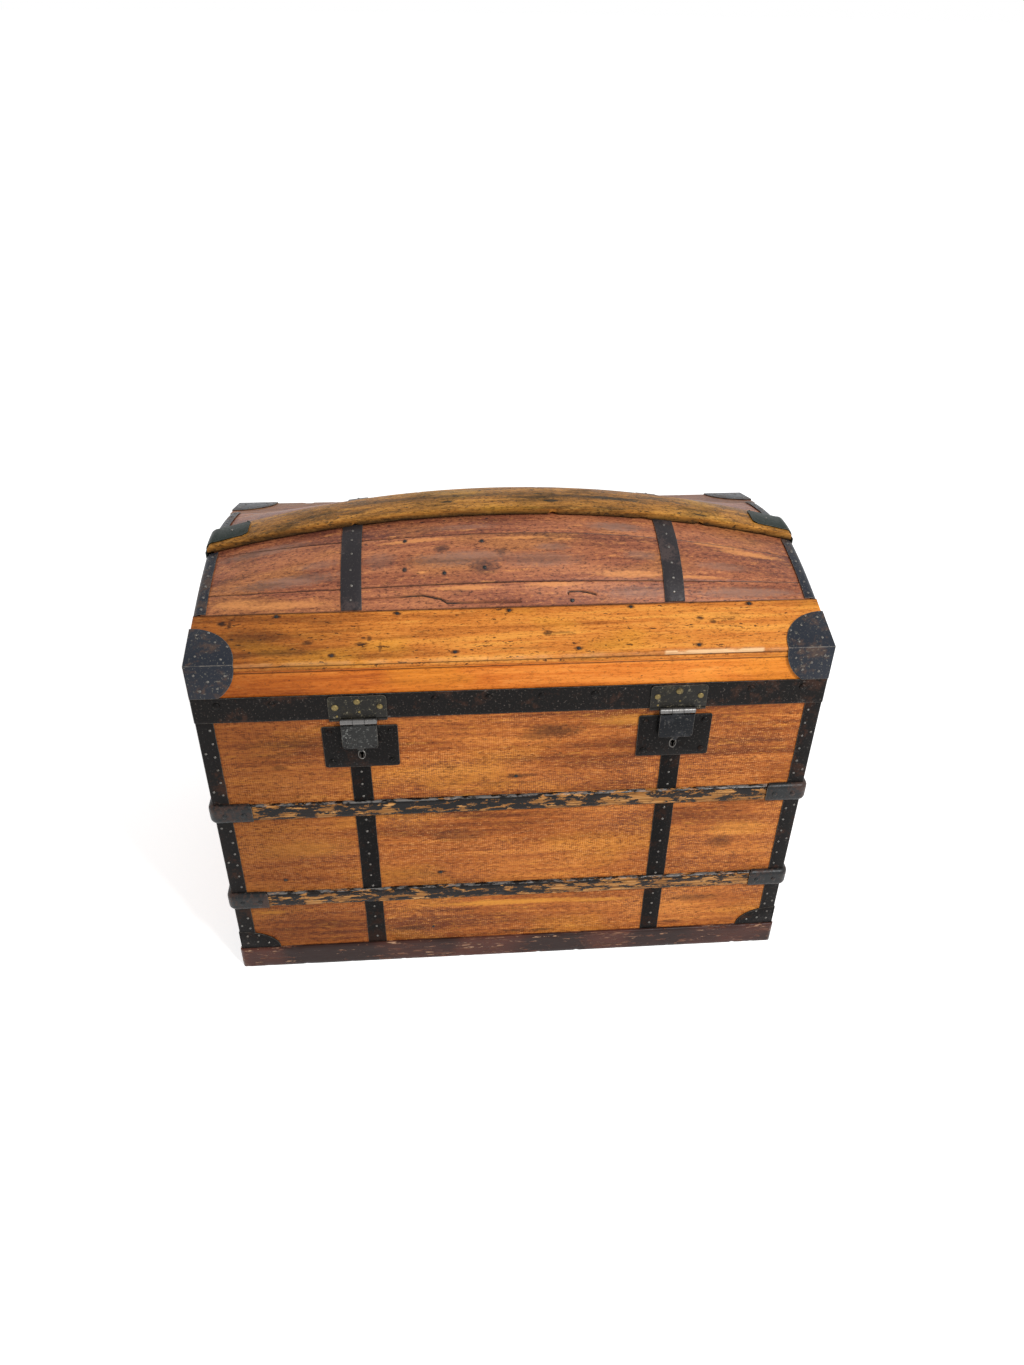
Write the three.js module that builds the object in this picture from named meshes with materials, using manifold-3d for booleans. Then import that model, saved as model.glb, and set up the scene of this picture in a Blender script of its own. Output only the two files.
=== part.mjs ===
// Dome top trunk: a boarded travelling trunk with a bent-stave lid, hardwood slats and iron fittings.
// Millimetres, +Z up, +Y towards the hinges, origin on the floor under the middle of the trunk.
import * as THREE from 'three';
import { mergeVertices } from 'three/addons/utils/BufferGeometryUtils.js';
import Module from 'manifold-3d';

const wasm = await Module();
wasm.setup();

// Trunk over its boards
const trunkWidth = 820;
const trunkDepth = 468;
const seamHeight = 489;
const boardThickness = 14;

// Clearances: between flat faces, and between bent pieces, whose faces are facets
const fitGap = 0.3;
const bentGap = 0.7;
const cutOverrun = 5;

// Bottom
const bottomBoardThickness = 14;
const floorClearance = 3;

// Rail round the foot
const railHeight = 39;
const railProud = 5;
const railLip = 3.5;
const railCorner = 7;
const railArcSteps = 4;

// Slats with rounded edges
const slatHeight = 27;
const slatProud = 6;
const slatRound = 5;
const slatArcSteps = 4;
const lowerSlatShare = 0.2935;
const upperSlatShare = 0.6432;

// Sheet iron
const sheetIron = 1.4;
const clampIron = 1.6;
const clampReach = 52;
const angleLeg = 22;
const capIron = 2;
const capLeafWidth = 57;
const capLeafHeight = 36;
const capArcSteps = 6;

// Straps, locks and hasps, as shares of the half width: they were set out by hand and so not quite evenly
const strapWidth = 27;
const frontStrapLeftShare = 0.5024;
const frontStrapRightShare = 0.5244;
const lockLeftShare = 0.4951;
const lockRightShare = 0.5244;
const lidStrapLeftShare = 0.5073;
const lidStrapRightShare = 0.5317;

// Lid
const lidBoardHeight = 59;
const shoulderWidth = 82;
const shoulderThickness = 10;
const shoulderArrisHeight = 69;
const shoulderRise = 22;
const nosingProud = 1.5;
const domeEndRise = 23;
const domeEndFullness = 1.5;
const domeBow = 55.5;
const domeBowFullness = 3.4;
const innerStaveShare = 0.4605;
const middleStaveShare = 0.4013;
const seamDrawInLeft = [0, 36, 14, 0];
const seamDrawInRight = [0, 0, 10, 0];
const seamDrawInPower = [1, 2.5, 4, 1];
const staveThickness = 9;
const lidSteps = 20;
const staveDivisions = 4;
const ridgeSlatWidth = 52;
const ridgeSlatBelly = 18;
const ridgeDivisions = 6;
const ridgeEdgeGap = 1.5;
const ridgeEdgeThickness = 10;
const ridgeCrownThickness = 12;
const ridgeClampReach = 57;
const ridgeClampDrop = 24;
const ridgeClampRound = 14;
const ridgeClampInset = 6;
const edgeBandWidth = 16;
const edgeBandDrop = 16;
const edgeBandRound = 9;
const lidCapRadius = 60;

// Iron rim on the lid, which laps over the box
const rimHeight = 38.5;
const rimLap = 19.5;
const rimIron = 2;
const rimStudCount = 12;
const rimStudDrop = 12;
const rimStudEndInset = 30;
const endStudSpacing = 82;
const endStudCount = 5;

// Locks and hasps
const lockPlateWidth = 99;
const lockPlateHeight = 68;
const lockSeamGap = 32;
const lockPlateIron = 2;
const lockPlateClip = 5;
const keyholeDrop = 45;
const keyholeRadius = 2.8;
const keySlotWidth = 3.2;
const keySlotLength = 9;
const stapleSlotWidth = 12;
const stapleSlotHeight = 3.8;
const stapleDrop = 20;
const stapleWidth = 8;
const stapleHeight = 2.4;
const haspPlateWidth = 75;
const haspPlateHeight = 39;
const haspPlateIron = 2;
const haspPlateClip = 9;
const haspKnuckleWidth = 47;
const haspKnuckleRadius = 4;
const haspPinRadius = 1.6;
const pinHeadLength = 2;
const flapHeight = 42;
const flapIron = 2;
const flapCorner = 9;
const flapTab = 5;
const flapTabWidth = 10;
const flapStandOff = 0.5;
const lockCaseWidth = 62;
const lockCaseHeight = 46;
const lockCaseDepth = 18;
const lockCaseWall = 2;
const boltLength = 34;
const boltHeight = 9;
const boltDepth = 5;

// Hinges
const hingeOffsetShare = 0.6585;
const hingeWidth = 64;
const hingeLidReach = 50;
const hingeBoxReach = 56;
const hingeIron = 2;
const hingeKnuckleRadius = 5;
const hingePinRadius = 2.4;
const hingePinHead = 3.6;

// Drop handles on the ends
const handleSlatGap = 38;
const handleRodRadius = 4;
const handleHalfSpan = 74;
const handleDrop = 44;
const handleBend = 12;
const handlePinEnd = 53;
const handleAxisProud = 8.5;
const handleSteps = 36;
const handleSides = 8;
const handlePlateWidth = 164;
const handlePlateHeight = 34;
const handlePlateIron = 2;
const handlePlateClip = 6;
const earOffset = 58;
const handleRivetOffset = 36;
const earThickness = 5;
const earProud = 15;
const earHeight = 17;

// Round heads
const studRadius = 5;
const studHeight = 3;
const rivetRadius = 4.5;
const rivetHeight = 2.6;
const nailRadius = 3.2;
const nailHeight = 1.8;
const headSides = 8;
const headSink = 0.5;
const headFlatShare = 0.72;
const clampNailInset = 12;
const haspRivetFall = 8;

// Running clearance round pins
const pinClearance = 0.4;
const pinSides = 12;

// Worked out from the sizes above
const halfWidth = trunkWidth / 2;
const halfDepth = trunkDepth / 2;
const lowerSlatCentre = lowerSlatShare * seamHeight;
const upperSlatCentre = upperSlatShare * seamHeight;
const lidBoardTop = seamHeight + lidBoardHeight;
const shoulderArris = seamHeight + shoulderArrisHeight;
const boxFloor = floorClearance + bottomBoardThickness;
const shoulderReach = halfDepth - shoulderWidth;
const shoulderSlope = shoulderRise / shoulderWidth;
const staveReach = halfWidth - edgeBandRound;
const domeSeat = shoulderArris + shoulderRise;
const rimBottom = seamHeight - rimLap;
const rimTop = rimBottom + rimHeight;
const rimFace = halfDepth + fitGap + rimIron;
const rimEndFace = halfWidth + fitGap + rimIron;
const lockPlateTop = seamHeight - lockSeamGap;
const lockPlateBottom = lockPlateTop - lockPlateHeight;
const lockPlateMiddle = lockPlateBottom + lockPlateHeight / 2;
const keyholeCentre = lockPlateTop - keyholeDrop;
const angleTop = rimBottom - fitGap;
const haspAxisY = -(rimFace + fitGap + haspKnuckleRadius);
const haspAxisZ = rimBottom - haspKnuckleRadius / 2;
const hingeOffset = hingeOffsetShare * halfWidth;
const hingeAxisY = halfDepth + fitGap + hingeKnuckleRadius;
const handleAxisX = halfWidth + handleAxisProud;
const handleHeight = upperSlatCentre - (slatHeight + handlePlateHeight) / 2 - handleSlatGap;
const strapCentres = { left: -frontStrapLeftShare * halfWidth, right: frontStrapRightShare * halfWidth };
const lockCentres = { left: -lockLeftShare * halfWidth, right: lockRightShare * halfWidth };
const lidStrapCentres = { left: -lidStrapLeftShare * halfWidth, right: lidStrapRightShare * halfWidth };
const staveSeams = [0, innerStaveShare * shoulderReach,
  (innerStaveShare + middleStaveShare) * shoulderReach, shoulderReach - fitGap / 2];

// Finishes
const finishes = {
  wood: { color: 0x9a5b2c, roughness: 0.75, metalness: 0 },
  staveWood: { color: 0x7c4327, roughness: 0.75, metalness: 0 },
  slatWood: { color: 0x4a3a22, roughness: 0.7, metalness: 0 },
  railWood: { color: 0x4b2218, roughness: 0.8, metalness: 0 },
  blackIron: { color: 0x25201d, roughness: 0.55, metalness: 0.7 },
  brownIron: { color: 0x3a2418, roughness: 0.6, metalness: 0.6 },
  brightIron: { color: 0x6d6a66, roughness: 0.5, metalness: 0.9 },
  brass: { color: 0x9a7a3a, roughness: 0.4, metalness: 0.9 },
};

// A copy that holds positions only, with its shared corners merged
function plainOf(geometry) {
  const plain = geometry.clone();
  plain.deleteAttribute('normal');
  plain.deleteAttribute('uv');
  return mergeVertices(plain);
}

function bodyOf(geometry) {
  const plain = plainOf(geometry);
  return new wasm.Manifold(new wasm.Mesh({
    numProp: 3,
    vertProperties: Float32Array.from(plain.attributes.position.array),
    triVerts: Uint32Array.from(plain.index.array),
  }));
}

function geometryOf(body) {
  const mesh = body.getMesh();
  const geometry = new THREE.BufferGeometry();
  geometry.setAttribute('position', new THREE.BufferAttribute(Float32Array.from(mesh.vertProperties), 3));
  geometry.setIndex(new THREE.BufferAttribute(Uint32Array.from(mesh.triVerts), 1));
  return geometry;
}

function joined(first, ...others) {
  return geometryOf(others.reduce((body, other) => body.add(bodyOf(other)), bodyOf(first)));
}

function cut(stock, ...tools) {
  return geometryOf(tools.reduce((body, tool) => body.subtract(bodyOf(tool)), bodyOf(stock)));
}

function common(first, second) {
  return geometryOf(bodyOf(first).intersect(bodyOf(second)));
}

function block(left, right, front, back, low, high) {
  const geometry = new THREE.BoxGeometry(right - left, back - front, high - low);
  geometry.translate((left + right) / 2, (front + back) / 2, (low + high) / 2);
  return geometry;
}

// A mirrored copy: sideX and sideY are 1 or -1, and the winding turns when only one of them is -1
function mirrored(geometry, sideX, sideY) {
  const copy = plainOf(geometry);
  copy.scale(sideX, sideY, 1);
  if (sideX * sideY < 0) {
    const index = copy.index.array;
    for (let i = 0; i < index.length; i += 3) [index[i], index[i + 1]] = [index[i + 1], index[i]];
  }
  return copy;
}

const corners = [[-1, -1], [1, -1], [-1, 1], [1, 1]];
const sides = [-1, 1];

const axisX = new THREE.Vector3(1, 0, 0);
const axisY = new THREE.Vector3(0, 1, 0);
const axisZ = new THREE.Vector3(0, 0, 1);

// A prism along X from [y, z] points, along Y from [x, z] points, or along Z from [x, y] points
function prismX(points, from, to) {
  const geometry = prismZ(points, from, to);
  return geometry.applyMatrix4(new THREE.Matrix4().makeBasis(axisY, axisZ, axisX));
}

function prismY(points, from, to) {
  const geometry = prismZ(points.map(([x, z]) => [z, x]), from, to);
  return geometry.applyMatrix4(new THREE.Matrix4().makeBasis(axisZ, axisX, axisY));
}

function prismZ(points, from, to) {
  const shape = new THREE.Shape(points.map(([a, b]) => new THREE.Vector2(a, b)));
  const geometry = new THREE.ExtrudeGeometry(shape, { depth: to - from, bevelEnabled: false });
  return geometry.translate(0, 0, from);
}

// A closed body through rings of [x, y, z] points; flat names the two coordinates that the end rings span
function loft(rings, flat) {
  const count = rings[0].length;
  const positions = rings.flat().flat();
  const index = [];
  for (let ring = 0; ring + 1 < rings.length; ring += 1) {
    for (let i = 0; i < count; i += 1) {
      const next = (i + 1) % count;
      const a = ring * count + i;
      const b = ring * count + next;
      index.push(a, b, b + count, a, b + count, a + count);
    }
  }
  const outline = rings[0].map((point) => new THREE.Vector2(point[flat[0]], point[flat[1]]));
  const last = (rings.length - 1) * count;
  const forward = THREE.ShapeUtils.area(outline) > 0;
  const order = [...Array(count).keys()];
  if (!forward) order.reverse();
  for (const face of THREE.ShapeUtils.triangulateShape(order.map((i) => outline[i]), [])) {
    const [a, b, c] = face.map((i) => order[i]);
    const turned = forward ? [a, b, c] : [c, b, a];
    index.push(turned[2], turned[1], turned[0], last + turned[0], last + turned[1], last + turned[2]);
  }
  const geometry = new THREE.BufferGeometry();
  geometry.setAttribute('position', new THREE.Float32BufferAttribute(positions, 3));
  geometry.setIndex(index);
  return signedVolume(geometry) < 0 ? turnedOut(geometry) : geometry;
}

function signedVolume(geometry) {
  const place = geometry.attributes.position;
  const index = geometry.index.array;
  const [a, b, c] = [new THREE.Vector3(), new THREE.Vector3(), new THREE.Vector3()];
  let volume = 0;
  for (let i = 0; i < index.length; i += 3) {
    a.fromBufferAttribute(place, index[i]);
    b.fromBufferAttribute(place, index[i + 1]);
    c.fromBufferAttribute(place, index[i + 2]);
    volume += a.dot(b.cross(c));
  }
  return volume;
}

function turnedOut(geometry) {
  const index = geometry.index.array;
  for (let i = 0; i < index.length; i += 3) [index[i], index[i + 1]] = [index[i + 1], index[i]];
  return geometry;
}

// A round bar along X between two stations
function barX(radius, from, to, y, z) {
  const geometry = new THREE.CylinderGeometry(radius, radius, to - from, pinSides);
  geometry.rotateZ(Math.PI / 2);
  return geometry.translate((from + to) / 2, y, z);
}

// The same along Y
function barY(radius, from, to, x, z) {
  const geometry = new THREE.CylinderGeometry(radius, radius, to - from, pinSides);
  return geometry.translate(x, (from + to) / 2, z);
}

// A domed head on the face at the point given, sunk a little into it, that looks along direction
function head(radius, height, point, direction) {
  const profile = [[0, -headSink], [radius, -headSink], [radius, 0],
    [radius * headFlatShare, height * headFlatShare], [0, height]];
  const geometry = new THREE.LatheGeometry(profile.map(([r, h]) => new THREE.Vector2(r, h)), headSides);
  const turn = new THREE.Quaternion().setFromUnitVectors(axisY, direction);
  geometry.applyQuaternion(turn);
  return plainOf(geometry.translate(point.x, point.y, point.z));
}

const forwards = new THREE.Vector3(0, -1, 0);

// Points of a quarter ellipse about a centre, from one angle to another
function arc(centreA, centreB, radiusA, radiusB, from, to, steps) {
  const points = [];
  for (let i = 0; i <= steps; i += 1) {
    const angle = from + (to - from) * i / steps;
    points.push([centreA + radiusA * Math.cos(angle), centreB + radiusB * Math.sin(angle)]);
  }
  return points;
}

const parts = new THREE.Group();

function add(name, geometry, finish) {
  const material = new THREE.MeshStandardMaterial(finishes[finish]);
  geometry.computeVertexNormals();
  const mesh = new THREE.Mesh(geometry, material);
  mesh.name = name;
  parts.add(mesh);
}

// Box

function bottomBoard() {
  const reach = halfDepth - fitGap;
  return block(-halfWidth, halfWidth, -reach, reach, floorClearance, boxFloor - fitGap);
}

function longPanel(side) {
  const outer = side * halfDepth;
  const inner = side * (halfDepth - boardThickness);
  return block(-halfWidth, halfWidth, Math.min(outer, inner), Math.max(outer, inner),
    boxFloor, seamHeight - fitGap);
}

// The front panel has a mortise for each lock
function frontPanel() {
  const reachX = lockCaseWidth / 2 + fitGap;
  const reachZ = lockCaseHeight / 2 + fitGap;
  const mortises = Object.values(lockCentres).map((centre) => block(centre - reachX, centre + reachX,
    -halfDepth - cutOverrun, -halfDepth + boardThickness + cutOverrun,
    lockPlateMiddle - reachZ, lockPlateMiddle + reachZ));
  return cut(longPanel(-1), ...mortises);
}

function endPanel(side) {
  const outer = side * halfWidth;
  const inner = side * (halfWidth - boardThickness);
  const reach = halfDepth - boardThickness;
  return block(Math.min(outer, inner), Math.max(outer, inner), -reach, reach, boxFloor, seamHeight - fitGap);
}

// Rail section as [proud, z]: square foot and a rounded upper edge
function railSection() {
  const round = arc(railProud - railLip, railHeight - railLip, railLip, railLip, 0, Math.PI / 2,
    railArcSteps);
  return [[0, 0], [railProud, 0], ...round, [0, railHeight]];
}

function railPlan() {
  const reachX = halfWidth + railProud - railCorner;
  const reachY = halfDepth + railProud - railCorner;
  const points = [];
  const quarter = Math.PI / 2;
  [[1, 1], [-1, 1], [-1, -1], [1, -1]].forEach(([sideX, sideY], turn) => {
    points.push(...arc(sideX * reachX, sideY * reachY, railCorner, railCorner,
      quarter * turn, quarter * (turn + 1), railArcSteps));
  });
  return prismZ(points, -cutOverrun, railHeight + cutOverrun);
}

function longRail(side) {
  const section = railSection().map(([proud, z]) => [side * (halfDepth + proud), z]);
  const reach = halfWidth + railProud;
  return common(prismX(section, -reach, reach), railPlan());
}

function endRail(side) {
  const section = railSection().map(([proud, z]) => [side * (halfWidth + proud), z]);
  return prismY(section, -halfDepth, halfDepth);
}

// Slat section as [proud, z], grown by an offset for the irons that go over it
function slatSection(centre, offset) {
  const flat = slatHeight / 2 - slatRound;
  const round = slatRound + offset;
  const middle = slatProud - slatRound;
  return [[0, centre - flat - round],
    ...arc(middle, centre - flat, round, round, -Math.PI / 2, 0, slatArcSteps),
    ...arc(middle, centre + flat, round, round, 0, Math.PI / 2, slatArcSteps),
    [0, centre + flat + round]];
}

function angleEnvelope() {
  const inner = halfWidth - angleLeg - fitGap;
  const outer = halfWidth + sheetIron + fitGap;
  const front = -halfDepth - sheetIron - fitGap;
  const legBack = -halfDepth + angleLeg + fitGap;
  const frontLeg = block(inner, outer, front, -halfDepth + cutOverrun, 0, seamHeight);
  const endLeg = block(halfWidth - cutOverrun, outer, front, legBack, 0, seamHeight);
  return joined(frontLeg, endLeg);
}

function strapEnvelope(centre) {
  const reach = strapWidth / 2 + fitGap;
  return block(centre - reach, centre + reach, -halfDepth - sheetIron - fitGap, -halfDepth + cutOverrun,
    0, seamHeight);
}

function longSlat(centre, side) {
  const ring = (sideX) => slatSection(centre, 0).map(([proud, z]) => (
    [sideX * (halfWidth + proud - fitGap), side * (halfDepth + proud), z]));
  const reliefs = sides.map((sideX) => mirrored(angleEnvelope(), sideX, -side));
  const grooves = side < 0 ? Object.values(strapCentres).map(strapEnvelope) : [];
  return cut(loft([ring(-1), ring(1)], [1, 2]), ...reliefs, ...grooves);
}

function endSlat(centre, side) {
  const ring = (sideY) => slatSection(centre, 0).map(([proud, z]) => (
    [side * (halfWidth + proud), sideY * (halfDepth + proud - fitGap), z]));
  const reliefs = sides.map((sideY) => mirrored(angleEnvelope(), side, -sideY));
  return cut(loft([ring(-1), ring(1)], [0, 2]), ...reliefs);
}

// Iron bent over the slats where they meet at the corner, with a nail in each leg
function slatClamp(centre) {
  const outer = slatSection(centre, fitGap + clampIron);
  const inner = slatSection(centre, fitGap).reverse();
  const section = [...outer, ...inner];
  const start = section.map(([proud, z]) => [halfWidth - clampReach, -halfDepth - proud, z]);
  const turn = section.map(([proud, z]) => [halfWidth + proud, -halfDepth - proud, z]);
  const end = section.map(([proud, z]) => [halfWidth + proud, -halfDepth + clampReach, z]);
  const face = slatProud + fitGap + clampIron;
  const reach = clampReach - clampNailInset;
  const frontNail = new THREE.Vector3(halfWidth - reach, -halfDepth - face, centre);
  const endNail = new THREE.Vector3(halfWidth + face, -halfDepth + reach, centre);
  return joined(loft([start, turn, end], [1, 2]), head(nailRadius, nailHeight, frontNail, forwards),
    head(nailRadius, nailHeight, endNail, axisX));
}

function cornerAngle() {
  const outline = [
    [halfWidth - angleLeg, -halfDepth], [halfWidth - angleLeg, -halfDepth - sheetIron],
    [halfWidth + sheetIron, -halfDepth - sheetIron], [halfWidth + sheetIron, -halfDepth + angleLeg],
    [halfWidth, -halfDepth + angleLeg], [halfWidth, -halfDepth],
  ];
  return prismZ(outline, railHeight + fitGap, angleTop);
}

// Quarter-round iron leaves round a corner just above the rail
function bottomCap() {
  const low = railHeight + fitGap;
  const high = capLeafHeight - fitGap;
  const frontLeaf = [[halfWidth + capIron, low], [halfWidth + capIron, low + high],
    ...arc(halfWidth, low, capLeafWidth, high, Math.PI / 2, Math.PI, capArcSteps)];
  const endLeaf = [[-halfDepth - capIron, low], [-halfDepth - capIron, low + high],
    ...arc(-halfDepth, low, capLeafWidth, high, Math.PI / 2, 0, capArcSteps)];
  return joined(prismY(frontLeaf, -halfDepth - capIron, -halfDepth),
    prismX(endLeaf, halfWidth, halfWidth + capIron));
}

// All the iron of one corner of the box: the angle, the cap at its foot and the two clamps riveted to it
function cornerIron(sideX, sideY) {
  const iron = joined(cornerAngle(), bottomCap(), slatClamp(lowerSlatCentre), slatClamp(upperSlatCentre));
  return mirrored(iron, sideX, -sideY);
}

function frontStrap(centre) {
  const left = centre - strapWidth / 2;
  return block(left, left + strapWidth, -halfDepth - sheetIron, -halfDepth, railHeight + fitGap,
    lockPlateBottom - fitGap);
}

// Locks

// A lock: its face plate with four rivets, and the case behind it that hides the bolt
function lock(centre) {
  const reach = lockPlateWidth / 2;
  const clip = lockPlateClip;
  const outline = [
    [centre - reach + clip, lockPlateBottom], [centre + reach - clip, lockPlateBottom],
    [centre + reach, lockPlateBottom + clip], [centre + reach, lockPlateTop - clip],
    [centre + reach - clip, lockPlateTop], [centre - reach + clip, lockPlateTop],
    [centre - reach, lockPlateTop - clip], [centre - reach, lockPlateBottom + clip],
  ];
  const face = -halfDepth - lockPlateIron;
  const caseBack = -halfDepth + lockCaseDepth;
  const halfCase = lockCaseWidth / 2;
  const caseLow = lockPlateMiddle - lockCaseHeight / 2;
  const caseHigh = lockPlateMiddle + lockCaseHeight / 2;
  const shell = block(centre - halfCase, centre + halfCase, face + lockPlateIron / 2, caseBack,
    caseLow, caseHigh);
  const hollow = block(centre - halfCase + lockCaseWall, centre + halfCase - lockCaseWall, -halfDepth,
    caseBack - lockCaseWall, caseLow + lockCaseWall, caseHigh - lockCaseWall);
  const front = face - cutOverrun;
  const back = -halfDepth + lockCaseWall;
  const keyBow = barY(keyholeRadius, front, back, centre, keyholeCentre);
  const keySlot = block(centre - keySlotWidth / 2, centre + keySlotWidth / 2, front, back,
    keyholeCentre - keySlotLength, keyholeCentre);
  const stapleCentre = lockPlateTop - stapleDrop;
  const stapleSlot = block(centre - stapleSlotWidth / 2, centre + stapleSlotWidth / 2, front, back,
    stapleCentre - stapleSlotHeight / 2, stapleCentre + stapleSlotHeight / 2);
  const insetX = reach - clip - rivetRadius;
  const insetZ = lockPlateHeight / 2 - clip - rivetRadius;
  const rivets = corners.map(([signX, signZ]) => head(rivetRadius, rivetHeight,
    new THREE.Vector3(centre + signX * insetX, face, lockPlateMiddle + signZ * insetZ), forwards));
  const whole = joined(prismY(outline, face, -halfDepth), shell, ...rivets);
  return cut(whole, hollow, keyBow, keySlot, stapleSlot);
}

// The bolt rests on the floor of its case, against the back wall, and slides across
function lockBolt(centre) {
  const left = centre - lockCaseWidth / 2 + lockCaseWall + fitGap;
  const back = -halfDepth + lockCaseDepth - lockCaseWall - fitGap;
  const low = lockPlateMiddle - lockCaseHeight / 2 + lockCaseWall + fitGap;
  return block(left, left + boltLength, back - boltDepth, back, low, low + boltHeight);
}

// Three knuckles share a pin: the plate that stays has the outer two, the leaf that swings has the middle one
function knuckles(centre, width, radius, pinRadius, y, z, middle) {
  const third = width / 3;
  const bore = barX(pinRadius + pinClearance, centre - width, centre + width, y, z);
  const stations = middle
    ? [[centre - third / 2 + fitGap, centre + third / 2 - fitGap]]
    : [[centre - width / 2, centre - third / 2], [centre + third / 2, centre + width / 2]];
  return { bore, barrels: stations.map(([from, to]) => barX(radius, from, to, y, z)) };
}

function haspPlate(centre) {
  const reach = haspPlateWidth / 2;
  const back = -(rimFace + fitGap);
  const low = haspAxisZ;
  const high = low + haspPlateHeight;
  const outline = [
    [centre - reach, low], [centre + reach, low], [centre + reach, high - haspPlateClip],
    [centre + reach - haspPlateClip, high], [centre - reach + haspPlateClip, high],
    [centre - reach, high - haspPlateClip],
  ];
  const { bore, barrels } = knuckles(centre, haspKnuckleWidth, haspKnuckleRadius, haspPinRadius,
    haspAxisY, haspAxisZ, false);
  const third = haspKnuckleWidth / 3;
  const notch = barX(haspKnuckleRadius + fitGap, centre - third / 2, centre + third / 2,
    haspAxisY, haspAxisZ);
  const plate = joined(prismY(outline, back - haspPlateIron, back), ...barrels);
  const pin = barX(haspPinRadius, centre - haspKnuckleWidth / 2, centre + haspKnuckleWidth / 2,
    haspAxisY, haspAxisZ);
  const ends = [[centre - haspKnuckleWidth / 2, centre - haspKnuckleWidth / 2 + pinHeadLength],
    [centre + haspKnuckleWidth / 2 - pinHeadLength, centre + haspKnuckleWidth / 2]]
    .map(([from, to]) => barX(haspKnuckleRadius - fitGap, from, to, haspAxisY, haspAxisZ));
  const spread = reach - haspPlateClip;
  const rivets = [-1, 0, 1].map((share) => head(rivetRadius, rivetHeight,
    new THREE.Vector3(centre + share * spread, back - haspPlateIron,
      high - haspPlateClip - haspRivetFall * Math.abs(share)), forwards));
  return joined(cut(plate, bore, notch), pin, ...ends, ...rivets);
}

// The hinged leaf of a hasp: a dished sheet with flanges at its sides, a tab to lift it by and a staple
function haspFlap(centre) {
  const reach = haspKnuckleWidth / 2;
  const face = haspAxisY - haspKnuckleRadius;
  const back = -(halfDepth + lockPlateIron + flapStandOff);
  const top = haspAxisZ - haspKnuckleRadius - fitGap;
  const low = haspAxisZ - flapHeight;
  const corner = flapCorner;
  const bottomRight = arc(centre + reach - corner, low + corner, corner, corner, 0, -Math.PI / 2,
    capArcSteps);
  const bottomLeft = arc(centre - reach + corner, low + corner, corner, corner, -Math.PI / 2, -Math.PI,
    capArcSteps);
  const tab = [[centre + flapTabWidth / 2, low], [centre, low - flapTab], [centre - flapTabWidth / 2, low]];
  const outline = [[centre + reach, top], ...bottomRight, ...tab, ...bottomLeft, [centre - reach, top]];
  const dish = [
    [centre + reach - flapIron, top + cutOverrun],
    ...arc(centre + reach - corner, low + corner, corner - flapIron, corner - flapIron, 0, -Math.PI / 2,
      capArcSteps),
    ...arc(centre - reach + corner, low + corner, corner - flapIron, corner - flapIron, -Math.PI / 2,
      -Math.PI, capArcSteps),
    [centre - reach + flapIron, top + cutOverrun],
  ];
  const shell = cut(prismY(outline, face, back), prismY(dish, face + flapIron, back + cutOverrun));
  const third = haspKnuckleWidth / 3;
  const neck = block(centre - third / 2 + fitGap, centre + third / 2 - fitGap, face, face + flapIron,
    top - fitGap, haspAxisZ);
  const stapleCentre = lockPlateTop - stapleDrop;
  const staple = block(centre - stapleWidth / 2, centre + stapleWidth / 2, face + flapIron / 2, back,
    stapleCentre - stapleHeight / 2, stapleCentre + stapleHeight / 2);
  const { bore, barrels } = knuckles(centre, haspKnuckleWidth, haspKnuckleRadius, haspPinRadius,
    haspAxisY, haspAxisZ, true);
  return cut(joined(shell, neck, staple, ...barrels), bore);
}

// Hinges

// The knuckles and leaf of a hinge: the lid's leaf has the outer knuckles, the box's the middle one
function hingeLeaf(side, upper) {
  const centre = side * hingeOffset;
  const reach = hingeWidth / 2;
  const third = hingeWidth / 3;
  const low = upper ? seamHeight : seamHeight - hingeBoxReach;
  const high = upper ? seamHeight + hingeLidReach : seamHeight;
  const { bore, barrels } = knuckles(centre, hingeWidth, hingeKnuckleRadius, hingePinRadius,
    hingeAxisY, seamHeight, !upper);
  const plate = joined(block(centre - reach, centre + reach, halfDepth, halfDepth + hingeIron, low, high),
    ...barrels);
  const clear = hingeKnuckleRadius + fitGap;
  const notches = upper
    ? [barX(clear, centre - third / 2, centre + third / 2, hingeAxisY, seamHeight)]
    : [barX(clear, centre - reach - cutOverrun, centre - third / 2 + fitGap, hingeAxisY, seamHeight),
      barX(clear, centre + third / 2 - fitGap, centre + reach + cutOverrun, hingeAxisY, seamHeight)];
  return cut(plate, bore, ...notches);
}

// The box's leaf holds the pin, which is peened over at both ends
function boxHinge(side) {
  const centre = side * hingeOffset;
  const left = centre - hingeWidth / 2 - fitGap;
  const right = centre + hingeWidth / 2 + fitGap;
  const shank = barX(hingePinRadius, left, right, hingeAxisY, seamHeight);
  const grip = barX(hingeKnuckleRadius - fitGap, centre - fitGap, centre + fitGap, hingeAxisY, seamHeight);
  const heads = [[left - pinHeadLength, left], [right, right + pinHeadLength]]
    .map(([from, to]) => barX(hingePinHead, from, to, hingeAxisY, seamHeight));
  return joined(hingeLeaf(side, false), shank, grip, ...heads);
}

// Handles

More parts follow.
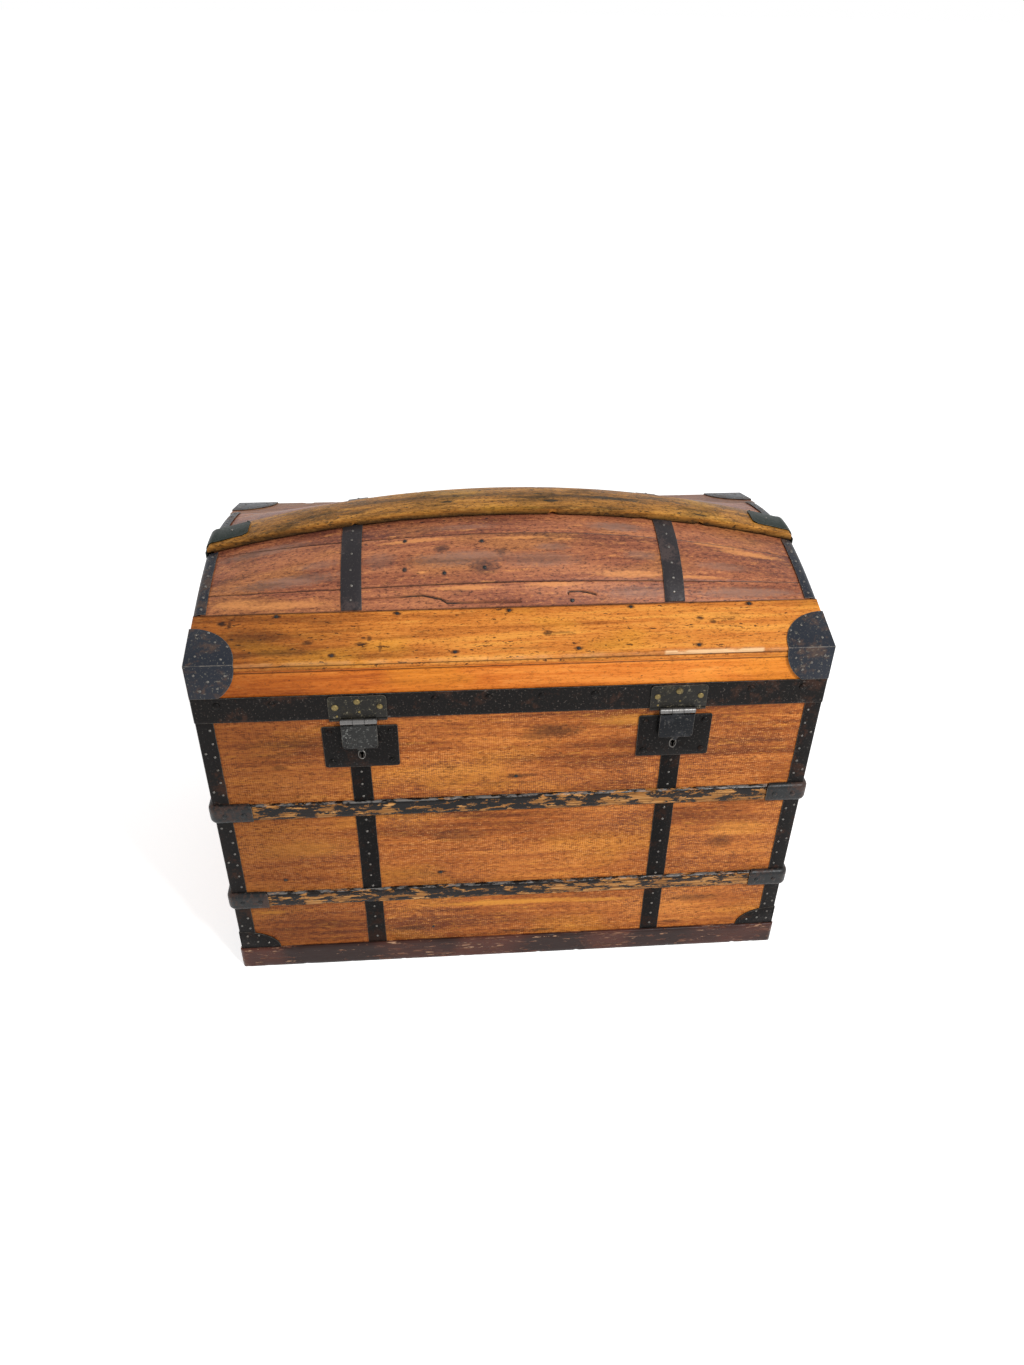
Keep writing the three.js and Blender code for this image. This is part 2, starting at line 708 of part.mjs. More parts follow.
// A plate with two ears that a drop handle swings in, and four rivets
function handlePlate(side) {
  const half = handlePlateWidth / 2;
  const tall = handlePlateHeight / 2;
  const clip = handlePlateClip;
  const outline = [
    [-half + clip, -tall], [half - clip, -tall], [half, -tall + clip], [half, tall - clip],
    [half - clip, tall], [-half + clip, tall], [-half, tall - clip], [-half, -tall + clip],
  ].map(([y, z]) => [y, handleHeight + z]);
  const plate = prismX(outline, halfWidth, halfWidth + handlePlateIron);
  const ears = sides.map((sideY) => block(halfWidth, halfWidth + earProud,
    sideY * earOffset - earThickness / 2, sideY * earOffset + earThickness / 2,
    handleHeight - earHeight / 2, handleHeight + earHeight / 2));
  const bore = barY(handleRodRadius + pinClearance, -half, half, handleAxisX, handleHeight);
  const rivets = corners.map(([signY, signZ]) => head(rivetRadius, rivetHeight,
    new THREE.Vector3(halfWidth + handlePlateIron, signY * handleRivetOffset,
      handleHeight + signZ * (tall - clip - rivetRadius / 2)), axisX));
  return mirrored(joined(cut(joined(plate, ...ears), bore), ...rivets), side, 1);
}

// A round bar bent to a U, with its ends turned in through the loops, hanging down
function handleBail(side) {
  const x = side * handleAxisX;
  const span = handleHalfSpan;
  const low = handleHeight - handleDrop;
  const at = (y, z) => new THREE.Vector3(x, y, z);
  const shoulder = (sign) => new THREE.QuadraticBezierCurve3(at(sign * (span - handleBend), handleHeight),
    at(sign * span, handleHeight), at(sign * span, handleHeight - handleBend));
  const foot = new THREE.QuadraticBezierCurve3(at(span, low + handleBend), at(span, low),
    at(span - handleBend, low));
  const path = new THREE.CurvePath();
  const first = shoulder(-1);
  path.add(new THREE.LineCurve3(at(-handlePinEnd, handleHeight), first.v0));
  path.add(first);
  path.add(new THREE.LineCurve3(first.v2, at(-span, low + handleBend)));
  path.add(new THREE.QuadraticBezierCurve3(at(-span, low + handleBend), at(-span, low),
    at(-span + handleBend, low)));
  path.add(new THREE.LineCurve3(at(-span + handleBend, low), at(span - handleBend, low)));
  path.add(new THREE.QuadraticBezierCurve3(foot.v2, foot.v1, foot.v0));
  const lastBend = shoulder(1);
  path.add(new THREE.LineCurve3(foot.v0, lastBend.v2));
  path.add(new THREE.QuadraticBezierCurve3(lastBend.v2, lastBend.v1, lastBend.v0));
  path.add(new THREE.LineCurve3(lastBend.v0, at(handlePinEnd, handleHeight)));
  const section = new THREE.Shape(arc(0, 0, handleRodRadius, handleRodRadius, 0,
    2 * Math.PI * (1 - 1 / handleSides), handleSides - 1).map(([a, b]) => new THREE.Vector2(a, b)));
  return new THREE.ExtrudeGeometry(section, { steps: handleSteps, extrudePath: path, bevelEnabled: false });
}

// Lid

// Height of the dome's outer face at x, at a distance from the ridge line
function domeTop(x, across) {
  const along = 2 * x / trunkWidth;
  const out = Math.abs(across) / shoulderReach;
  return domeSeat + domeEndRise * (1 - out ** domeEndFullness)
    + domeBow * (1 - along * along) * (1 - out ** domeBowFullness);
}

// Distance of a seam from the ridge line at x; the seams draw in towards the ends
function seamAt(index, x) {
  const along = Math.abs(2 * x / trunkWidth);
  const drawIn = (x < 0 ? seamDrawInLeft : seamDrawInRight)[index];
  return staveSeams[index] - drawIn * along ** seamDrawInPower[index];
}

function shoulderTop(across) {
  return shoulderArris + (halfDepth - across) * shoulderSlope;
}

// Stations along the lid where its bent pieces turn, between two ends
function lidStations(from, to) {
  const inside = steps(-halfWidth, halfWidth, lidSteps).filter((x) => x > from && x < to);
  return [from, ...inside, to];
}

function lidLongBoard(side) {
  const inner = halfDepth - boardThickness;
  const section = [
    [side * halfDepth, seamHeight], [side * halfDepth, lidBoardTop - fitGap],
    [side * inner, lidBoardTop + boardThickness * shoulderSlope - fitGap], [side * inner, seamHeight],
  ];
  return prismX(section, -halfWidth, halfWidth);
}

// Even steps from one value to another
function steps(from, to, count) {
  return [...Array(count + 1).keys()].map((i) => from + (to - from) * i / count);
}

// Knots of the dome between two distances from the ridge, where the faces of the staves bend
function domeKnots(from, to) {
  const knots = staveSeams.slice(1).flatMap((seam, i) => steps(staveSeams[i], seam, staveDivisions).slice(1));
  return [from, ...knots.filter((knot) => knot > from && knot < to), to];
}

function lidEnd(side) {
  const inner = halfDepth - boardThickness;
  const last = shoulderReach - fitGap;
  const ring = (x) => {
    const half = [[inner, seamHeight], [inner, shoulderTop(inner) - shoulderThickness - fitGap],
      [last, shoulderTop(last) - shoulderThickness - fitGap],
      ...domeKnots(0, last).reverse().map((across) => (
        [across, domeTop(x, across) - staveThickness - bentGap]))];
    const other = half.slice(0, -1).reverse().map(([across, z]) => [-across, z]);
    return [...half, ...other].map(([across, z]) => [x, across, z]);
  };
  return loft([ring(side * (halfWidth - boardThickness)), ring(side * halfWidth)], [1, 2]);
}

// One bent stave of one half of the dome, counted from the ridge
function stave(index, side) {
  const rings = lidStations(-staveReach, staveReach).map((x) => {
    const from = seamAt(index, x) + fitGap / 2;
    const to = seamAt(index + 1, x) - fitGap / 2;
    const top = steps(from, to, staveDivisions).map((across) => [x, side * across, domeTop(x, across)]);
    const under = top.map(([, y, z]) => [x, y, z - staveThickness]).reverse();
    return [...top, ...under];
  });
  return loft(rings, [1, 2]);
}

function shoulderBoard(side) {
  const outer = halfDepth + nosingProud;
  const top = [outer, shoulderReach].map((across) => [across, shoulderTop(across)]);
  const under = top.map(([across, z]) => [across, z - shoulderThickness]).reverse();
  const section = [...top, ...under];
  return prismX(section.map(([across, z]) => [side * across, z]), -halfWidth, halfWidth);
}

// A strip that follows the dome from one distance to another, between two stations along the lid
function domeStrip(left, right, from, to, low, high) {
  const half = domeKnots(0, to);
  const stations = from < 0
    ? [...half.slice(1).reverse().map((across) => -across), ...half]
    : domeKnots(from, to);
  return loft(stations.map((across) => [
    [left, across, domeTop(left, across) + low], [right, across, domeTop(right, across) + low],
    [right, across, domeTop(right, across) + high], [left, across, domeTop(left, across) + high],
  ]), [0, 2]);
}

function lidStrap(centre) {
  const reach = shoulderReach - fitGap;
  return domeStrip(centre - strapWidth / 2, centre + strapWidth / 2, -reach, reach,
    bentGap, bentGap + sheetIron);
}

// Half the width of the ridge slat at x; it is widest in the middle
function ridgeHalf(x) {
  const along = 2 * x / trunkWidth;
  return (ridgeSlatWidth + ridgeSlatBelly * Math.max(0, 1 - along * along)) / 2;
}

// Rings of the ridge slat at the given stations, grown by an offset all round and by another below
function ridgeRings(stations, grow, underGrow) {
  return stations.map((x) => {
    const half = ridgeHalf(x);
    const across = steps(-half, half, ridgeDivisions);
    const under = (knot) => domeTop(x, knot) + bentGap + (ridgeEdgeGap - bentGap) * Math.abs(knot) / half;
    const crown = under(0) + ridgeCrownThickness;
    const edge = under(half) + ridgeEdgeThickness;
    const wide = (knot) => knot + Math.sign(knot) * (Math.abs(knot) < half ? 0 : grow);
    const low = across.map((knot) => [x, wide(knot), under(knot) - underGrow]);
    const high = across.map((knot) => [x, wide(knot), crown + (edge - crown) * (knot / half) ** 2 + grow]);
    return [...low, ...high.reverse()];
  });
}

// The space under the rounded end of the ridge slat's iron, out to a radius round the bend's centre
function roundedEnd(radius) {
  const centre = halfWidth + fitGap + clampIron - ridgeClampRound;
  const crown = domeTop(centre, 0) + bentGap + ridgeCrownThickness;
  const height = crown + fitGap + clampIron - ridgeClampRound;
  const low = domeTop(halfWidth, ridgeSlatWidth) - cutOverrun;
  const high = domeTop(0, 0) + ridgeClampDrop;
  const outline = [[-halfWidth, low], [centre + radius, low],
    ...arc(centre, height, radius, radius, 0, Math.PI / 2, capArcSteps), [centre, high], [-halfWidth, high]];
  return { height, space: prismY(outline, -ridgeSlatWidth, ridgeSlatWidth) };
}

function ridgeSlat() {
  const reach = strapWidth / 2 + fitGap;
  const tools = Object.values(lidStrapCentres).map((centre) => domeStrip(centre - reach, centre + reach,
    -ridgeSlatWidth, ridgeSlatWidth, -cutOverrun, bentGap + fitGap + sheetIron));
  const { space } = roundedEnd(ridgeClampRound - clampIron - fitGap);
  const bar = loft(ridgeRings(lidStations(-halfWidth, halfWidth), 0, 0), [1, 2]);
  return cut(common(common(bar, space), mirrored(space, -1, 1)), ...tools);
}

// Iron on the end of the ridge slat, round its end and over the end board
function ridgeClamp() {
  const start = halfWidth - ridgeClampReach;
  const outerEnd = halfWidth + fitGap + clampIron;
  const innerEnd = halfWidth + fitGap;
  const outside = roundedEnd(ridgeClampRound);
  const inside = roundedEnd(ridgeClampRound - clampIron);
  const outer = ridgeRings(lidStations(start, outerEnd), fitGap + clampIron, ridgeEdgeGap - bentGap);
  const inner = ridgeRings(lidStations(start - cutOverrun, innerEnd), fitGap, cutOverrun);
  const shell = common(loft(outer, [1, 2]), outside.space);
  const hollow = common(loft(inner, [1, 2]), inside.space);
  const half = ridgeSlatWidth / 2;
  const low = domeTop(halfWidth, half) - ridgeClampDrop;
  const leaf = half - ridgeClampInset;
  const above = domeTop(0, 0) + ridgeClampDrop;
  const top = common(cut(shell, hollow), block(start, outerEnd, -leaf, leaf, low, above));
  const endHalf = half + fitGap + clampIron;
  return joined(top, block(innerEnd, outerEnd, -endHalf, endHalf, low, outside.height));
}

// Iron along the end of the dome, on its face and over its edge, from the ridge clamp to the shoulder board
function edgeBand() {
  const from = ridgeSlatWidth / 2 + clampIron / 2 + fitGap;
  const to = shoulderReach - fitGap;
  const inner = halfWidth - edgeBandWidth;
  const face = halfWidth + fitGap;
  const round = edgeBandRound;
  const bend = (height, radius, first, last) => (
    arc(face - round, height - round, radius, radius, first, last, railArcSteps));
  const rings = domeKnots(from, to).map((across) => {
    const low = domeTop(halfWidth, across) - edgeBandDrop;
    const start = domeTop(inner, across) + bentGap;
    const height = domeTop(face - round, across) + bentGap;
    const section = [
      [inner, start], ...bend(height, round, Math.PI / 2, 0), [face, low], [face + sheetIron, low],
      ...bend(height, round + sheetIron, 0, Math.PI / 2), [inner, start + sheetIron],
    ];
    return section.map(([x, z]) => [x, -across, z]);
  });
  return loft(rings, [0, 2]);
}

// The iron of one end of the dome: the clamp over the ridge slat and a band down each side of it
function lidEndIron(side) {
  const band = edgeBand();
  return mirrored(joined(ridgeClamp(), band, mirrored(band, 1, -1)), side, 1);
}

// Three leaves over a corner of the lid: on the shoulder board, the front and the end
function lidCap() {
  const radius = lidCapRadius;
  const front = -halfDepth - nosingProud;
  const iron = sheetIron + fitGap;
  const low = rimTop + fitGap;
  const topOutline = [[halfWidth + iron, front - iron], [halfWidth + iron, front + radius],
    ...arc(halfWidth, front, radius, radius, Math.PI / 2, Math.PI, capArcSteps),
    [halfWidth - radius, front - iron]];
  const top = prismZ(topOutline, fitGap, iron);
  const shear = new THREE.Matrix4().set(
    1, 0, 0, 0,
    0, 1, 0, 0,
    0, shoulderSlope, 1, shoulderArris + halfDepth * shoulderSlope,
    0, 0, 0, 1,
  );
  top.applyMatrix4(shear);
  const arris = shoulderTop(-front);
  const turn = Math.asin(Math.min(1, (arris - low) / radius));
  const leaf = (corner, sign, slope) => {
    const high = arris + iron / 2;
    return [[corner + sign * iron, low], [corner + sign * iron, high - slope * iron],
      [corner - sign * radius, high + slope * radius],
      ...arc(corner, arris, -sign * radius, -radius, 0, turn, capArcSteps)];
  };
  const frontLeaf = prismY(leaf(halfWidth, 1, 0), front - iron, front - fitGap);
  const endLeaf = prismX(leaf(front, -1, shoulderSlope), halfWidth + fitGap, halfWidth + iron);
  return joined(top, frontLeaf, endLeaf);
}

// Rim

// The rim is one strip bent round the front corners, and its studs; its lower half laps over the box
function rimBand() {
  const outer = [[-rimEndFace, halfDepth], [-rimEndFace, -rimFace], [rimEndFace, -rimFace],
    [rimEndFace, halfDepth]];
  const innerX = halfWidth + fitGap;
  const innerY = -halfDepth - fitGap;
  const inner = [[innerX, halfDepth], [innerX, innerY], [-innerX, innerY], [-innerX, halfDepth]];
  const band = prismZ([...outer, ...inner], rimBottom, rimTop);
  return joined(band, ...rimStuds());
}

function rimStuds() {
  const studs = [];
  const height = rimTop - rimStudDrop;
  const reach = halfWidth - rimStudEndInset;
  const halfPlate = haspPlateWidth / 2 + studRadius;
  for (const x of steps(-reach, reach, rimStudCount - 1)) {
    if (Object.values(lockCentres).every((centre) => Math.abs(x - centre) > halfPlate)) {
      studs.push(head(studRadius, studHeight, new THREE.Vector3(x, -rimFace, height), forwards));
    }
  }
  for (const side of sides) {
    const outwards = axisX.clone().multiplyScalar(side);
    for (let i = 0; i < endStudCount; i += 1) {
      const y = (i - (endStudCount - 1) / 2) * endStudSpacing;
      studs.push(head(studRadius, studHeight, new THREE.Vector3(side * rimEndFace, y, height), outwards));
    }
  }
  return studs;
}

// The back strip stays above the seam, so that the lid can swing, and carries the lid's hinge leaves
function backBand() {
  const band = block(-rimEndFace, rimEndFace, halfDepth + fitGap, rimFace, seamHeight + fitGap, rimTop);
  const reach = hingeWidth / 2 + hingePinHead;
  const pockets = sides.map((side) => block(side * hingeOffset - reach, side * hingeOffset + reach,
    halfDepth - cutOverrun, rimFace + cutOverrun, seamHeight, seamHeight + hingeKnuckleRadius + fitGap));
  return joined(cut(band, ...pockets), ...sides.map((side) => hingeLeaf(side, true)));
}

const ends = [['left', -1], ['right', 1]];
const faces = [['front', -1], ['back', 1]];

add('bottom_board', bottomBoard(), 'wood');
add('front_panel', frontPanel(), 'wood');
add('back_panel', longPanel(1), 'wood');
for (const [name, side] of ends) add(`${name}_panel`, endPanel(side), 'wood');
for (const [name, side] of faces) add(`base_rail_${name}`, longRail(side), 'railWood');
for (const [name, side] of ends) add(`base_rail_${name}`, endRail(side), 'railWood');
for (const [level, centre] of [['lower', lowerSlatCentre], ['upper', upperSlatCentre]]) {
  for (const [name, side] of faces) add(`${level}_slat_${name}`, longSlat(centre, side), 'slatWood');
  for (const [name, side] of ends) add(`${level}_slat_${name}`, endSlat(centre, side), 'slatWood');
}
for (const [face, sideY] of faces) {
  for (const [end, sideX] of ends) add(`corner_iron_${face}_${end}`, cornerIron(sideX, sideY), 'blackIron');
}
for (const [name, side] of ends) {
  add(`front_strap_${name}`, frontStrap(strapCentres[name]), 'brownIron');
  add(`lock_${name}`, lock(lockCentres[name]), 'brownIron');
  add(`lock_bolt_${name}`, lockBolt(lockCentres[name]), 'brightIron');
  add(`handle_plate_${name}`, handlePlate(side), 'blackIron');
  add(`handle_${name}`, handleBail(side), 'blackIron');
  add(`hinge_${name}`, boxHinge(side), 'blackIron');
}

for (const [name, side] of faces) add(`lid_${name}_board`, lidLongBoard(side), 'wood');
for (const [name, side] of ends) add(`lid_${name}_end`, lidEnd(side), 'wood');
['inner', 'middle', 'outer'].forEach((place, index) => {
  for (const [name, side] of faces) add(`stave_${name}_${place}`, stave(index, side), 'staveWood');
});
for (const [name, side] of faces) add(`shoulder_board_${name}`, shoulderBoard(side), 'wood');
add('ridge_slat', ridgeSlat(), 'slatWood');
for (const [name, side] of ends) {
  add(`lid_end_iron_${name}`, lidEndIron(side), 'blackIron');
  add(`lid_strap_${name}`, lidStrap(lidStrapCentres[name]), 'brownIron');
}
for (const [face, sideY] of faces) {
  for (const [end, sideX] of ends) {
    add(`lid_cap_${face}_${end}`, mirrored(lidCap(), sideX, -sideY), 'blackIron');
  }
}
add('rim_band', rimBand(), 'brownIron');
add('back_hinge_band', backBand(), 'brownIron');
for (const [name] of ends) {
  add(`hasp_plate_${name}`, haspPlate(lockCentres[name]), 'brownIron');
  add(`hasp_${name}`, haspFlap(lockCentres[name]), 'brightIron');
}

export default parts;
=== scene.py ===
import logging
import math
from collections.abc import Iterable, Sequence
from dataclasses import dataclass, field
from enum import Enum

import bmesh
import bpy
from mathutils import Matrix, Vector, noise


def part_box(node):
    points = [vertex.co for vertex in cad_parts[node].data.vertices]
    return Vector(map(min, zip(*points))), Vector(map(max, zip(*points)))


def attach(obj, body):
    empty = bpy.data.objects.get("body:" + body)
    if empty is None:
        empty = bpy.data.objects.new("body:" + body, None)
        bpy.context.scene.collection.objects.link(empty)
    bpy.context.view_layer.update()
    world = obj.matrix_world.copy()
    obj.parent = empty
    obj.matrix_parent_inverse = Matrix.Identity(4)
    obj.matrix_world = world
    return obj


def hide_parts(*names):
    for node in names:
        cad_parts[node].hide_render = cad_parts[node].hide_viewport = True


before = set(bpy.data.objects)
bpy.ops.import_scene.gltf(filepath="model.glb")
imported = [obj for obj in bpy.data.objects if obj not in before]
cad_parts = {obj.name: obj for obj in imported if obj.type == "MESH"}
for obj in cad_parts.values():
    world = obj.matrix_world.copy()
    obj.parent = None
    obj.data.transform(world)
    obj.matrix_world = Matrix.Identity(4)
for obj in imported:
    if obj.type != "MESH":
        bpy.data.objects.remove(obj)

MM = 0.001
QUARTER = math.pi / 2
# Painted shade that darkens the left end of the wood: where it runs along X, and the colour that it
# multiplies by.
LEFT_SHADE_SPAN = (-0.36, -0.14)  # metres along X, from full shade to none
LEFT_SHADE = (0.1, 0.03, 0.03)
# Colour of dark cracks and seams, and of painted shade in the lid boards' groove, under the shoulder boards'
# nosing and under the ridge slat.
CRACK_AND_SHADE_DARK = (0.012, 0.007, 0.005)
WEAVE_PITCH = 2.9  # millimetres from thread to thread of the canvas print
TRUNK_HEART = (0, 0, 0.35)  # metres
INWARD_LIMIT = -0.35  # a face looks into the trunk below this cosine
SUNK = 0.02  # millimetres that a sheet is set off what it lies on
BARE_ARRIS = (190, 320)  # millimetres along X where the front shoulder board's arris is broken away

Point = tuple[float, float, float]
Pair = tuple[float, float]
Colour = tuple[float, float, float]
Ring = list[Point]
Socket = bpy.types.NodeSocket
Value = float | Socket

log = logging.getLogger("dome_top_trunk")


class Body(Enum):
    """The bodies that pieces ride on."""

    BOX = "box"
    LID = "lid"
    HASP_LEFT = "hasp_left"
    HASP_RIGHT = "hasp_right"
    HANDLE_LEFT = "handle_left"
    HANDLE_RIGHT = "handle_right"


class End(Enum):
    """The two ends of the trunk, as signs along X."""

    LEFT = -1
    RIGHT = 1

    @property
    def label(self) -> str:
        """The end's word in names of pieces."""
        return self.name.lower()


class Face(Enum):
    """The two long faces of the trunk, as signs along Y."""

    FRONT = -1
    BACK = 1

    @property
    def label(self) -> str:
        """The face's word in names of pieces."""
        return self.name.lower()


class Along(Enum):
    """The axis that a prism is drawn along."""

    X = 0
    Y = 1
    Z = 2

    def place(self, station: float, first: float, second: float) -> Point:
        """A point from its station along the axis and its other two coordinates in order."""
        if self is Along.X:
            return (station, first, second)
        if self is Along.Y:
            return (first, station, second)
        return (first, second, station)


class Slot(Enum):
    """The record's material slots."""

    BOARD = "board_wood"
    LID = "lid_wood"
    STAVE = "stave_wood"
    RIDGE = "ridge_wood"
    SLAT = "slat_wood"
    RAIL = "rail_wood"
    BLACK = "black_iron"
    STRAP = "strap_iron"
    RIM = "rim_iron"
    LOCK = "lock_iron"
    WORN = "worn_iron"
    BRIGHT = "bright_iron"


# Numbers


def spread(low: float, high: float, count: int) -> list[float]:
    """Evenly spaced values.

    Args:
        low: First value.
        high: Last value.
        count: Number of steps between them.

    Returns:
        count + 1 values.
    """
    return [low + (high - low) * i / count for i in range(count + 1)]


def stations(low: float, high: float, pace: float) -> list[float]:
    """Values from low to high that are about a pace apart."""
    return spread(low, high, max(1, round((high - low) / pace)))


def arc(centre: Pair, radii: Pair, start: float, end: float, count: int) -> list[Pair]:
    """Points of an elliptical arc.

    Args:
        centre: Centre of the ellipse.
        radii: Its two radii.
        start: First angle in radians.
        end: Last angle in radians.
        count: Number of steps.

    Returns:
        count + 1 points.
    """
    return [
        (centre[0] + radii[0] * math.cos(angle), centre[1] + radii[1] * math.sin(angle))
        for angle in spread(start, end, count)
    ]


def rough(place: Point, scale: float, seed: float = 0.0) -> float:
    """Smooth noise from about -1 to 1 at a place in millimetres; scale is its grain size."""
    x, y, z = place
    return noise.noise(Vector((x / scale + seed, y / scale - seed, z / scale + 2 * seed)))


@dataclass(frozen=True)
class Bites:
    """Places where wear has bitten into a face.

    Attributes:
        scale: Grain size of the wear in millimetres.
        start: How strong the noise is where it starts to bite.
        depth: How deep it bites for each unit above that.
        seed: The noise's seed.
    """

    scale: float
    start: float
    depth: float = 1
    seed: float = 0.0

    def at(self, place: Point) -> float:
        """How deep the face is bitten at a place."""
        return max(0.0, rough(place, self.scale, self.seed) - self.start) * self.depth


def rounded_outline(low: Pair, high: Pair, radius: float, count: int = 4) -> list[Pair]:
    """A rectangle with rounded corners, anticlockwise.

    Args:
        low: Its lowest corner.
        high: Its highest corner.
        radius: Radius of its corners.
        count: Steps in each corner.

    Returns:
        Its points.
    """
    turns = (
        ((high[0] - radius, high[1] - radius), 0),
        ((low[0] + radius, high[1] - radius), 1),
        ((low[0] + radius, low[1] + radius), 2),
        ((high[0] - radius, low[1] + radius), 3),
    )
    points: list[Pair] = []
    for centre, turn in turns:
        points += arc(centre, (radius, radius), QUARTER * turn, QUARTER * (turn + 1), count)
    return points


# Sizes


@dataclass(frozen=True)
class Trunk:
    """Sizes that several pieces share, in millimetres."""

    half_width: float = 410
    half_depth: float = 234
    seam: float = 489
    board: float = 14
    gap: float = 0.3
    bent_gap: float = 0.7
    floor: float = 17
    rail_top: float = 39
    sheet: float = 1.4
    rim_bottom: float = 469.5
    rim_top: float = 508
    rim_face: float = 236.3
    rim_end_face: float = 412.3
    strap_width: float = 27
    slat_centres: Pair = (143.52, 314.52)
    shoulder_reach: float = 152
    shoulder_arris: float = 558
    shoulder_rise: float = 22
    shoulder_thickness: float = 10
    nosing: float = 1.5
    dome_seat: float = 580
    dome_end_rise: float = 23
    dome_end_fullness: float = 1.5
    dome_bow: float = 55.5
    dome_bow_fullness: float = 3.4
    stave_seams: tuple[float, ...] = (0, 70, 131, 151.85)
    seam_draw_left: tuple[float, ...] = (0, 36, 14, 0)
    seam_draw_right: tuple[float, ...] = (0, 0, 10, 0)
    seam_draw_power: tuple[float, ...] = (1, 2.5, 4, 1)
    stave_thickness: float = 9

    def dome_top(self, x: float, across: float) -> float:
        """Height of the dome's outer face at a place."""
        along = x / self.half_width
        out = abs(across) / self.shoulder_reach
        end = self.dome_end_rise * (1 - out**self.dome_end_fullness)
        return self.dome_seat + end + self.dome_bow * (1 - along * along) * (1 - out**self.dome_bow_fullness)

    def seam_at(self, index: int, x: float) -> float:
        """Distance of a seam from the ridge line; the seams draw in towards the ends."""
        draws = self.seam_draw_left if x < 0 else self.seam_draw_right
        share = abs(x / self.half_width) ** self.seam_draw_power[index]
        return self.stave_seams[index] - draws[index] * share

    def dome_out(self, x: float, across: float, side: int) -> Point:
        """The way that the dome looks at a distance from the ridge line; side is the sign of Y there."""
        rise = (self.dome_top(x, across + 1) - self.dome_top(x, across - 1)) / 2
        return tuple(Vector((0, -rise * side, 1)).normalized())

    def iron_top(self, x: float, across: float) -> float:
        """Height of the face of the sheet iron that lies on the dome."""
        return self.dome_top(x, across) + self.bent_gap + self.sheet

    @property
    def shoulder_slope(self) -> float:
        """How much the shoulder boards rise for each millimetre towards the ridge line."""
        return self.shoulder_rise / (self.half_depth - self.shoulder_reach)

    def shoulder_top(self, across: float) -> float:
        """Height of a shoulder board's face at a distance from the ridge line."""
        width = self.half_depth - self.shoulder_reach
        return self.shoulder_arris + (self.half_depth - abs(across)) * self.shoulder_rise / width


TRUNK = Trunk()


@dataclass(frozen=True)
class Wall:
    """A side of the box, and how points on it are placed."""

    side: Face | End

    @property
    def long(self) -> bool:
        """Whether it is one of the two long sides."""
        return isinstance(self.side, Face)

    @property
    def half(self) -> float:
        """Half its length."""
        return TRUNK.half_width if self.long else TRUNK.half_depth

    def place(self, along: float, proud: float, height: float) -> Point:
        """A point from its station along the side, how proud of it the point is, and its height."""
        if self.long:
            return (along, self.side.value * (TRUNK.half_depth + proud), height)
        return (self.side.value * (TRUNK.half_width + proud), along, height)


WALLS = tuple(Wall(side) for side in (*Face, *End))


def middle_of(node: str) -> float:
    """The middle of a node along X, in millimetres."""
    low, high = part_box(node)
    return (low[0] + high[0]) / 2 / MM


# Shader graphs


